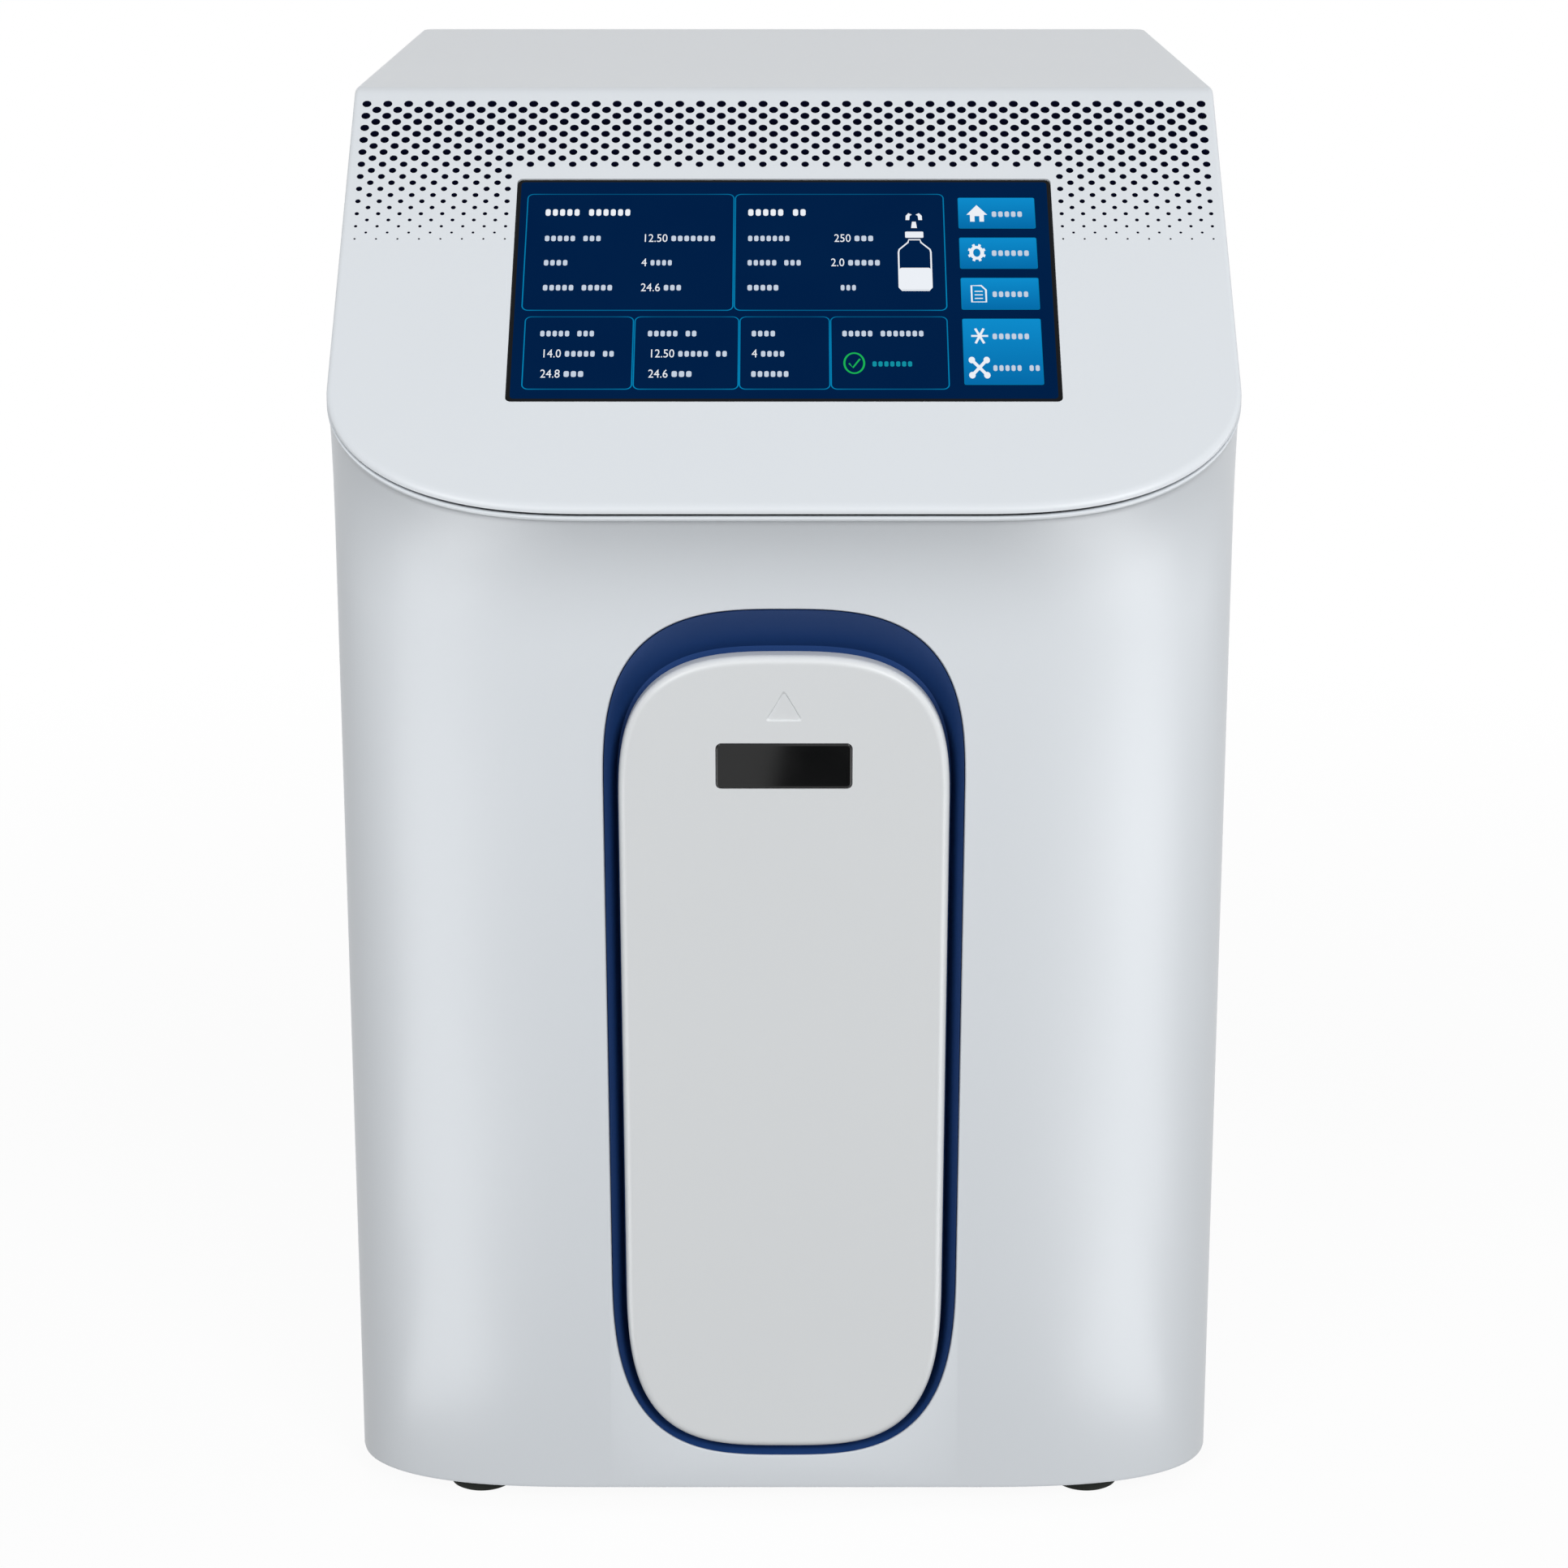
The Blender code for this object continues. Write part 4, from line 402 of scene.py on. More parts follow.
@dataclass(frozen=True)
class ResinPlastic:
    """Translucent cartridge wall with the resin beads faintly seen behind it."""

    name: str
    wall: Colour
    beads: Colour

    def make(self) -> Any:
        """Build the material.

        Returns:
            The material.
        """
        made, tree, shader = plain_shader(self.name)
        place = tree.place()
        cells = tree.add("ShaderNodeTexVoronoi", {"Vector": place, "Scale": 1100.0})
        shade = tree.add("ShaderNodeTexNoise", {"Vector": place, "Scale": 30.0, "Detail": 3.0}).outputs["Fac"]
        ramp = tree.add("ShaderNodeValToRGB", {"Fac": cells.outputs["Distance"]})
        ramp.color_ramp.elements[0].color = self.beads
        ramp.color_ramp.elements[1].color = self.wall
        mix = tree.add("ShaderNodeMix", data_type="RGBA")
        tree.link(shade, mix.inputs["Factor"])
        tree.link(ramp.outputs["Color"], mix.inputs["A"])
        mix.inputs["B"].default_value = self.wall
        tree.link(mix.outputs["Result"], shader.inputs["Base Color"])
        shader.inputs["Roughness"].default_value = 0.28
        shader.inputs["Coat Weight"].default_value = 0.4
        shader.inputs["Coat Roughness"].default_value = 0.08
        return made


@dataclass(frozen=True)
class CoverGlass:
    """Dark glass over a display or a window, with an anti-glare face."""

    name: str
    colour: Colour
    roughness: float
    specular: float

    def make(self) -> Any:
        """Build the material.

        Returns:
            The material.
        """
        made, tree, shader = plain_shader(self.name)
        place = tree.place()
        smear = tree.add("ShaderNodeTexNoise", {"Vector": place, "Scale": 35.0, "Detail": 4.0}).outputs["Fac"]
        bright = tree.math("ADD", tree.math("MULTIPLY", smear, 0.5), 0.75)
        colour = tree.add("ShaderNodeVectorMath", {0: self.colour[:3]}, operation="SCALE")
        tree.link(bright, colour.inputs["Scale"])
        tree.link(colour.outputs[0], shader.inputs["Base Color"])
        tree.link(
            tree.math("ADD", tree.math("MULTIPLY", smear, 0.06), self.roughness), shader.inputs["Roughness"]
        )
        shader.inputs["Specular IOR Level"].default_value = self.specular
        return made


@dataclass(frozen=True)
class LitInk:
    """A lit area of the display, its colour running along the piece's shade attribute."""

    name: str
    start: Colour
    end: Colour
    grain: float = 0.0

    def make(self) -> Any:
        """Build the material.

        Returns:
            The material.
        """
        made, tree, shader = plain_shader(self.name)
        share = tree.add("ShaderNodeAttribute", attribute_name="shade").outputs["Fac"]
        if self.grain:
            place = tree.place()
            cloud = tree.add(
                "ShaderNodeTexNoise", {"Vector": place, "Scale": 28.0, "Detail": 2.0}
            ).outputs["Fac"]
            share = tree.math(
                "ADD", share, tree.math("MULTIPLY", tree.math("SUBTRACT", cloud, 0.5), self.grain)
            )
        ramp = tree.add("ShaderNodeValToRGB", {"Fac": share})
        ramp.color_ramp.elements[0].color = self.start
        ramp.color_ramp.elements[1].color = self.end
        shader.inputs["Base Color"].default_value = (0.0, 0.0, 0.0, 1.0)
        shader.inputs["Roughness"].default_value = 0.3
        shader.inputs["Specular IOR Level"].default_value = 0.0
        tree.link(ramp.outputs["Color"], shader.inputs["Emission Color"])
        shader.inputs["Emission Strength"].default_value = 1.0
        return made


FINISHES = {
    item.name: item
    for item in (
        MouldedPlastic("shell_white", srgb(224, 229, 234), 0.36),
        MouldedPlastic("door_white", srgb(222, 225, 227), 0.36),
        MouldedPlastic("surround_blue", srgb(32, 65, 121), 0.5, drift=0.1, specular=0.2),
        # Painted shade: the white lid's vent hole walls in near-black navy, so the holes look dark inside.
        MouldedPlastic("vent_hole_painted_shade", srgb(7, 12, 44), 0.7, specular=0.1),
        MouldedPlastic("dark_plastic", srgb(42, 45, 47), 0.5, 900.0, 0.00004, 0.1, dust=0.1),
        MouldedPlastic("bright_black", srgb(14, 14, 16), 0.14, 2400.0, 0.000004, 0.1, coat=0.5),
        MouldedPlastic("foot_rubber", srgb(46, 49, 46), 0.82, 700.0, 0.00008, 0.2, specular=0.25),
        MouldedPlastic("grey_plastic", srgb(150, 155, 160), 0.45, 1100.0, 0.00004, 0.05, dust=0.05),
        MouldedPlastic("cap_blue", srgb(30, 88, 160), 0.38, 1300.0, 0.00003, 0.08, dust=0.1),
        MouldedPlastic("cap_white", srgb(228, 231, 234), 0.4, 1300.0, 0.00003, 0.03),
        MouldedPlastic("tube_white", srgb(232, 234, 236), 0.34, 1500.0, 0.00001, 0.03, coat=0.3),
        MouldedPlastic("powder_coat", srgb(206, 209, 211), 0.5, 520.0, 0.00007, 0.03),
        MouldedPlastic("mark_white", srgb(236, 238, 240), 0.5, 2000.0, 0.000005, 0.02),
        MouldedPlastic("mark_grey", srgb(92, 98, 104), 0.55, 2000.0, 0.000005, 0.05),
        MouldedPlastic("collet_blue", srgb(36, 96, 176), 0.32, 2000.0, 0.00001, 0.06),
        MouldedPlastic("collet_grey", srgb(58, 62, 66), 0.36, 2000.0, 0.00001, 0.06),
        BrushedMetal("steel", srgb(190, 193, 196)),
        BrushedMetal("steel_upright", srgb(186, 190, 194), (60.0, 60.0, 1.0), 0.24),
        BrushedMetal("nickel", srgb(202, 200, 194), (40.0, 40.0, 40.0), 0.2),
        FilterFoam("filter_foam", srgb(8, 13, 42)),
        CircuitBoard("board_green", srgb(18, 74, 46), srgb(60, 128, 84)),
        ResinPlastic("resin_column", srgb(214, 224, 232), srgb(176, 150, 104)),
        CoverGlass("screen_glass", srgb(3, 5, 10), 0.1, 0.1),
        CoverGlass("window_glass", srgb(10, 11, 12), 0.03, 0.42),
        LitInk("display_back", srgb(0, 28, 68), srgb(3, 35, 74), 0.7),
        LitInk("display_line", srgb(2, 46, 88), srgb(6, 132, 184), 0.5),
        LitInk("display_button", srgb(14, 139, 203), srgb(0, 76, 140), 0.1),
        LitInk("display_white", srgb(236, 240, 246), srgb(214, 220, 232)),
        LitInk("display_soft", srgb(196, 208, 224), srgb(186, 200, 218)),
        LitInk("display_green", srgb(28, 176, 84), srgb(18, 150, 76)),
        LitInk("display_teal", srgb(18, 142, 160), srgb(14, 120, 148)),
    )
}
MADE: dict[str, Any] = {}


def finish(name: str) -> Any:
    """The material of that finish, built once."""
    if name not in MADE:
        MADE[name] = FINISHES[name].make()
    return MADE[name]


# Meshes


def new_object(name: str, shape: bmesh.types.BMesh | None = None, mesh: Any = None) -> Any:
    """Put a bmesh or a mesh in the scene as an object at the origin."""
    if mesh is None:
        mesh = bpy.data.meshes.new(name)
        shape.to_mesh(mesh)
        shape.free()
    made = bpy.data.objects.new(name, mesh)
    bpy.context.scene.collection.objects.link(made)
    return made


def settle(made: Any) -> Any:
    """Turn an object's modifiers into its own plain mesh."""
    bpy.context.view_layer.update()
    evaluated = made.evaluated_get(bpy.context.evaluated_depsgraph_get())
    mesh = bpy.data.meshes.new_from_object(evaluated)
    made.modifiers.clear()
    made.data = mesh
    return made


def cut(made: Any, tools: Iterable[Any], operation: str = "DIFFERENCE") -> Any:
    """Take tools away from an object, or join them to it.

    Args:
        made: the object that is changed.
        tools: the objects that cut it, which are removed afterwards.
        operation: the Boolean's operation.

    Returns:
        The changed object.
    """
    used = list(tools)
    for tool in used:
        step = made.modifiers.new(tool.name, "BOOLEAN")
        step.operation = operation
        step.solver = "EXACT"
        step.object = tool
    settle(made)
    for tool in used:
        bpy.data.objects.remove(tool, do_unlink=True)
    return made


def shade(made: Any, degrees: float = 32.0) -> Any:
    """Shade an object smooth, with sharp corners kept."""
    made.data.shade_smooth()
    made.data.set_sharp_from_angle(angle=math.radians(degrees))
    return made


def dress(
    made: Any, body: Body, looks: Sequence[str], replaced: Sequence[str] = ()
) -> Any:
    """Give a piece its finishes and its place in the frame.

    Args:
        made: the piece.
        body: the body that it rides on.
        looks: names of its finishes, in the order of its material slots.
        replaced: CAD nodes that it stands for.

    Returns:
        The piece.
    """
    if looks:
        made.data.materials.clear()
        for look in looks:
            made.data.materials.append(finish(look))
    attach(made, body.value)
    if replaced:
        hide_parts(*replaced)
    log.info("%s: %d faces on %s", made.name, len(made.data.polygons), body.value)
    return made


def turn_point(axis: Axis, across: float, along: float, angle: float) -> Point:
    """A point at a radius and angle round an axis.

    Args:
        axis: the axis.
        across: the radius.
        along: the place along the axis.
        angle: the angle round it, in radians.

    Returns:
        The point.
    """
    a, b = across * math.cos(angle), across * math.sin(angle)
    return {Axis.X: (along, a, b), Axis.Y: (b, along, a), Axis.Z: (a, b, along)}[axis]


def fill_loops(
    shape: bmesh.types.BMesh, loops: Sequence[Sequence[Point]], closed: bool = False, caps: bool = True
) -> list[list[Any]]:
    """Join loops of equal length with quads.

    Args:
        shape: the bmesh that takes the faces.
        loops: the loops, in order along the surface.
        closed: join the last loop to the first.
        caps: fill the first and the last loop.

    Returns:
        The loops' vertices.
    """
    rows = [[shape.verts.new(point) for point in loop] for loop in loops]
    pairs = list(zip(rows, rows[1:]))
    if closed:
        pairs.append((rows[-1], rows[0]))
    for row, following in pairs:
        for i in range(len(row)):
            nearby = (i + 1) % len(row)
            shape.faces.new((row[i], row[nearby], following[nearby], following[i]))
    if caps and not closed:
        shape.faces.new(list(reversed(rows[0])))
        shape.faces.new(rows[-1])
    return rows


def tidy_normals(shape: bmesh.types.BMesh) -> bmesh.types.BMesh:
    """Weld doubles and point the faces outwards."""
    bmesh.ops.remove_doubles(shape, verts=shape.verts, dist=1e-6)
    bmesh.ops.recalc_face_normals(shape, faces=shape.faces)
    return shape


def lathe(profile: Sequence[Flat], place: Point, axis: Axis, steps: int = 48) -> bmesh.types.BMesh:
    """A turned shape.

    Args:
        profile: (radius, distance along the axis) points from one pole to the other.
        place: where the axis starts.
        axis: the axis that it turns about.
        steps: points round it.

    Returns:
        The closed shape.
    """
    shape = bmesh.new()
    loops = [
        [
            tuple(
                p + o for p, o in zip(turn_point(axis, max(radius, 1e-7), along, math.tau * i / steps), place)
            )
            for i in range(steps)
        ]
        for radius, along in profile
    ]
    fill_loops(shape, loops, caps=False)
    return tidy_normals(shape)


def draw_out(outline: Sequence[Flat], start: float, end: float, axis: Axis) -> bmesh.types.BMesh:
    """A flat outline drawn along an axis: (x, y) along Z, (x, z) along Y, (y, z) along X.

    Args:
        outline: the flat outline.
        start: its first level along the axis.
        end: its last level.
        axis: the axis.

    Returns:
        The closed shape.
    """
    place: Callable[[float, float, float], Point] = {
        Axis.Z: lambda a, b, c: (a, b, c),
        Axis.Y: lambda a, b, c: (a, c, b),
        Axis.X: lambda a, b, c: (c, a, b),
    }[axis]
    shape = bmesh.new()
    fill_loops(shape, [[place(a, b, level) for a, b in outline] for level in (start, end)])
    return tidy_normals(shape)


def block(low: Point, high: Point) -> bmesh.types.BMesh:
    """A box between two corners."""
    outline = [(low[0], low[1]), (high[0], low[1]), (high[0], high[1]), (low[0], high[1])]
    return draw_out(outline, low[2], high[2], Axis.Z)


def round_rectangle(
    half_width: float, low: float, high: float, radius: float, steps: int = 8, centre: float = 0.0
) -> list[Flat]:
    """Outline of a rectangle with round corners, anticlockwise from its lower right.

    Args:
        half_width: half its width.
        low: its lower edge.
        high: its upper edge.
        radius: its corners' radius.
        steps: steps round each corner.
        centre: the middle of its width.

    Returns:
        The outline.
    """
    outline = []
    reach = half_width - radius
    corners = ((reach, low + radius), (reach, high - radius), (-reach, high - radius), (-reach, low + radius))
    for i, (corner_x, corner_z) in enumerate(corners):
        for j in range(steps + 1):
            angle = math.pi / 2 * (i - 1 + j / steps)
            outline.append(
                (centre + corner_x + radius * math.cos(angle), corner_z + radius * math.sin(angle))
            )
    return outline


def inset(outline: Sequence[Flat], distance: float) -> list[Flat]:
    """Move an anticlockwise outline inwards along its own normals."""
    moved = []
    count = len(outline)
    for i, (a, b) in enumerate(outline):
        before, after = outline[i - 1], outline[(i + 1) % count]
        run, rise = after[0] - before[0], after[1] - before[1]
        length = math.hypot(run, rise) or 1.0
        moved.append((a - rise / length * distance, b + run / length * distance))
    return moved


def bevelled(made: Any, width: float, segments: int = 3, degrees: float = 40.0) -> Any:
    """Round an object's sharp edges.

    Args:
        made: the object.
        width: the bevel's width.
        segments: its segments.
        degrees: the angle from which an edge is sharp.

    Returns:
        The object, its bevel applied.
    """
    step = made.modifiers.new("Edge", "BEVEL")
    step.width = width
    step.segments = segments
    step.limit_method = "ANGLE"
    step.angle_limit = math.radians(degrees)
    step.harden_normals = False
    return settle(made)


# Geometry Nodes


class Pattern:
    """A Geometry Nodes tree with named inputs, run on an object and made plain."""

    def __init__(self, name: str, inputs: dict[str, tuple[str, Any]]) -> None:
        """Start the tree.

        Args:
            name: the tree's name.
            inputs: socket kind and value by name.
        """
        self.group = bpy.data.node_groups.new(name, "GeometryNodeTree")
        self.group.interface.new_socket("Geometry", in_out="INPUT", socket_type="NodeSocketGeometry")
        self.values = {}
        for label, (kind, value) in inputs.items():
            socket = self.group.interface.new_socket(label, in_out="INPUT", socket_type=kind)
            self.values[socket.identifier] = value
        self.group.interface.new_socket("Geometry", in_out="OUTPUT", socket_type="NodeSocketGeometry")
        self.tree = Tree(self.group)
        self.source = self.tree.add("NodeGroupInput")
        self.result = self.tree.add("NodeGroupOutput")

    def value(self, label: str) -> Any:
        """The socket of a named input."""
        return self.source.outputs[label]

    def end(self, geometry: Any, material: Any, selection: Any = None) -> None:
        """Close the tree with Realize Instances and Set Material.

        Args:
            geometry: the socket that holds the result.
            material: the material or the input socket that is set.
            selection: a field that limits where it is set.
        """
        real = self.tree.add("GeometryNodeRealizeInstances", {"Geometry": geometry})
        last = self.tree.add("GeometryNodeSetMaterial", {"Geometry": real.outputs[0], "Material": material})
        if selection is not None:
            self.group.links.new(selection, last.inputs["Selection"])
        self.group.links.new(last.outputs[0], self.result.inputs[0])

    def run(self, made: Any) -> Any:
        """Run the tree on an object and keep the result as its plain mesh."""
        step = made.modifiers.new(self.group.name, "NODES")
        step.node_group = self.group
        for identifier, value in self.values.items():
            step[identifier] = value
        return settle(made)


def empty_piece(name: str) -> Any:
    """An object with an empty mesh, for a tree that makes everything itself."""
    return new_object(name, mesh=bpy.data.meshes.new(name))


def ring_pattern(name: str, count: int, look: str, axis: Axis, centre: Point) -> Pattern:
    """A tree that sets copies of the object's own mesh round an axis.

    Args:
        name: the tree's name.
        count: how many copies.
        look: the finish of the copies.
        axis: the axis through the centre.
        centre: the point that the copies turn about.

    Returns:
        The tree, ready to run on the object that holds one copy's mesh.
    """
    pattern = Pattern(
        name,
        {
            "Count": ("NodeSocketInt", count),
            "Centre": ("NodeSocketVector", centre),
            "Axis": ("NodeSocketVector", tuple(float(axis is a) for a in (Axis.X, Axis.Y, Axis.Z))),
            "Finish": ("NodeSocketMaterial", finish(look)),
        },
    )
    tree = pattern.tree
    points = tree.add(
        "GeometryNodePoints", {"Count": pattern.value("Count"), "Position": pattern.value("Centre")}
    )
    index = tree.add("GeometryNodeInputIndex").outputs[0]
    share = tree.math("DIVIDE", index, pattern.value("Count"))
    angle = tree.math("MULTIPLY", share, math.tau)
    rotation = tree.add("FunctionNodeAxisAngleToRotation", {"Axis": pattern.value("Axis"), "Angle": angle})
    back = tree.add("ShaderNodeVectorMath", {0: pattern.value("Centre")}, operation="SCALE")
    back.inputs["Scale"].default_value = -1.0
    moved = tree.add(
        "GeometryNodeTransform", {"Geometry": pattern.value("Geometry"), "Translation": back.outputs[0]}
    )
    copies = tree.add(
        "GeometryNodeInstanceOnPoints",
        {"Points": points.outputs[0], "Instance": moved.outputs[0], "Rotation": rotation.outputs[0]},
    )
    pattern.end(copies.outputs[0], pattern.value("Finish"))
    return pattern


def merge(name: str, parts: Sequence[Any]) -> Any:
    """Join objects into one piece, each keeping its own materials.

    Args:
        name: the new piece's name.
        parts: the objects, which are removed.

    Returns:
        The new object.
    """
    looks: list[Any] = []
    shape = bmesh.new()
    for part in parts:
        start = len(shape.faces)
        shape.from_mesh(part.data)
        shape.faces.ensure_lookup_table()
        for face in shape.faces[start:]:
            look = part.data.materials[face.material_index] if part.data.materials else None
            if look not in looks:
                looks.append(look)
            face.material_index = looks.index(look)
    made = new_object(name, shape)
    for look in looks:
        made.data.materials.append(look)
    for part in parts:
        bpy.data.objects.remove(part, do_unlink=True)
    return made


def clad(name: str, shape: bmesh.types.BMesh, look: str, degrees: float = 32.0) -> Any:
    """A smooth-shaded object in one finish, not yet riding on anything.

    Args:
        name: the object's name.
        shape: its shape.
        look: its finish.
        degrees: the angle from which a corner stays sharp.

    Returns:
        The object.
    """
    made = shade(new_object(name, shape), degrees)
    made.data.materials.append(finish(look))
    return made


def eased(node: str, look: str, width: float, body: Body = Body.CABINET) -> Any:
    """Stand in for a CAD node with the same shape, its sharp edges eased.

    Args:
        node: the CAD node.
        look: the finish.
        width: how far its edges are eased.
        body: the body that it rides on.

    Returns:
        The new piece.
    """
    shape = bmesh.new()
    shape.from_mesh(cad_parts[node].data)
    bmesh.ops.remove_doubles(shape, verts=shape.verts, dist=1e-6)
    bmesh.ops.dissolve_limit(
        shape, angle_limit=math.radians(0.5), verts=shape.verts, edges=shape.edges, delimit={"NORMAL"}
    )
    made = shade(bevelled(new_object(f"{node}_eased", shape), width, 2, 50.0), 40.0)
    made.modifiers.new("Flat faces first", "WEIGHTED_NORMAL").keep_sharp = True
    return dress(settle(made), body, (look,), (node,))


# Sub-assemblies


@dataclass
class CabinetForm:
    """Sizes and surfaces that the lid, the case and the front share."""

    depth: float = 0.455
    height: float = 0.523
    case_half_width: float = 0.1645
    lid_half_width: float = 0.1652
    panel_run: float = 0.167
    slope: float = math.radians(38.06)
    fold_radius: float = 0.010
    lid_thickness: float = 0.0022
    groove: float = 0.0005
    setback: float = 0.0125
    wall: float = 0.003
    flare_drop: float = 0.055
    flare_power: float = 2.8
    bead: float = 0.0018
    flat_half_width: float = 0.066
    foot_height: float = 0.008

    @property
    def front(self) -> float:
        """The lid's front edge."""
        return -self.depth / 2

    @property
    def case_front(self) -> float:
        """The case's front face."""
        return self.front + self.setback

    @property
    def back(self) -> float:
        """The case's back face."""
        return self.depth / 2

    @property
    def fold_y(self) -> float:
        """Where the top meets the slope."""
        return self.panel_run - self.depth / 2

    def roof(self, y: float, depth: float) -> float:
        """Height of the folded roof at a level place, a depth below its face."""
        start = self.fold_y + self.fold_radius * math.tan(self.slope / 2)
        radius = self.fold_radius - depth
        if y >= start:
            return self.height - depth
        if y <= start - radius * math.sin(self.slope):
            return self.height - depth / math.cos(self.slope) - (self.fold_y - y) * math.tan(self.slope)
        return self.height - self.fold_radius + math.sqrt(radius**2 - (start - y) ** 2)

    def stations(self, depth: float, steps: int = 10) -> list[float]:
        """Level places across the fold, back to front, with one more just outside each end."""
        start = self.fold_y + self.fold_radius * math.tan(self.slope / 2)
        bend = [
            start - (self.fold_radius - depth) * math.sin(self.slope * i / steps) for i in range(steps + 1)
        ]
        margin = 0.0006
        return [bend[0] + margin, *bend, bend[-1] - margin]

    def panel_point(self, x: float, along: float, depth: float) -> Point:
        """A point of the sloping panel, along it from the fold line and a depth below its face."""
        y = self.fold_y - along * math.cos(self.slope) + depth * math.sin(self.slope)
        z = self.height - along * math.sin(self.slope) - depth * math.cos(self.slope)
        return (x, y, z)

    def outline(
        self, half_width: float, front_y: float, corner_depth: float, power: float,
        stations: Sequence[float] = (),
        steps: int = 44,
    ) -> list[Flat]:
        """Outline of the cabinet from above, anticlockwise from the right end of its flat front.

        Args:
            half_width: half the width behind the corners.
            front_y: the front's place.
            corner_depth: how far back the front corners run.
            power: the corners' superelliptic power.
            stations: level places with a point of their own on the sides.
            steps: steps round each front corner.

        Returns:
            The outline.
        """
        right = []
        for i in range(steps + 1):
            angle = math.pi / 2 * (i / steps) ** 1.25
            run = (half_width - self.flat_half_width) * math.sin(angle) ** (2 / power)
            right.append((self.flat_half_width + run, front_y + corner_depth * (1 - math.cos(angle))))
        right += [(half_width, y) for y in reversed(stations)]
        radius = 0.006
        for i in range(7):
            angle = math.pi / 2 * i / 6
            right.append(
                (half_width - radius * (1 - math.cos(angle)), self.back - radius * (1 - math.sin(angle)))
            )
        return right + [(-x, y) for x, y in reversed(right)]

    def lid_outline(self, stations: Sequence[float] = ()) -> list[Flat]:
        """Outline of the lid and of the case's rim."""
        return self.outline(self.lid_half_width, self.front, 0.046, 2.6, stations)

    def case_outline(self, stations: Sequence[float] = ()) -> list[Flat]:
        """Outline of the case below its flare."""
        return self.outline(self.case_half_width, self.case_front, 0.0415, 3.0, stations)

    def face_y(self, z: float) -> float:
        """Where the middle of the front face is at a height, its flare included."""
        rim = self.roof(self.front, self.lid_thickness + self.groove)
        share = (rim - z - self.bead) / (self.flare_drop - self.bead)
        return self.case_front - self.setback * max(1 - max(share, 0.0), 0.0) ** self.flare_power


def oval(
    half_width: float, foot_half_width: float, top: float, top_run: float, top_power: float, bottom: float,
    bottom_run: float, bottom_power: float, grow: float = 0.0, steps: int = 40,
) -> list[Flat]:
    """Tall outline with superelliptic ends, anticlockwise from its foot, as (x, z).

    Args:
        half_width: half the width at the upper end's root.
        foot_half_width: half the width at the lower end's root.
        top: the top's height.
        top_run: height of the upper end.
        top_power: its superelliptic power.
        bottom: the foot's height.
        bottom_run: height of the lower end.
        bottom_power: its superelliptic power.
        grow: distance to move the outline outwards.
        steps: points of a quarter.

    Returns:
        The outline.
    """
    right = []
    for i in range(steps):
        angle = math.pi / 2 * (1 - (i + 0.5) / steps)
        x = (foot_half_width + grow) * math.cos(angle) ** (2 / bottom_power)
        right.append((x, bottom + bottom_run - (bottom_run + grow) * math.sin(angle) ** (2 / bottom_power)))
    for i in range(steps):
        angle = math.pi / 2 * (i + 0.5) / steps
        x = (half_width + grow) * math.cos(angle) ** (2 / top_power)
        right.append((x, top - top_run + (top_run + grow) * math.sin(angle) ** (2 / top_power)))
    return right + [(-x, z) for x, z in reversed(right)]


def surround_outline(grow: float = 0.0) -> list[Flat]:
    """Outline of the door surround on the front."""
    return oval(0.0657, 0.0647, 0.35262, 0.0686, 3.0, 0.0218, 0.0832, 3.15, grow)


def door_outline(grow: float = 0.0) -> list[Flat]:
    """Outline of the door."""
    return oval(0.0602, 0.0593, 0.33562, 0.0566, 3.0, 0.0258, 0.0742, 3.3, grow)


def bay_outline() -> list[Flat]:
    """Outline of the opening into the bay."""
    return oval(0.050, 0.050, 0.31802, 0.020, 4.0, 0.045, 0.020, 4.0)


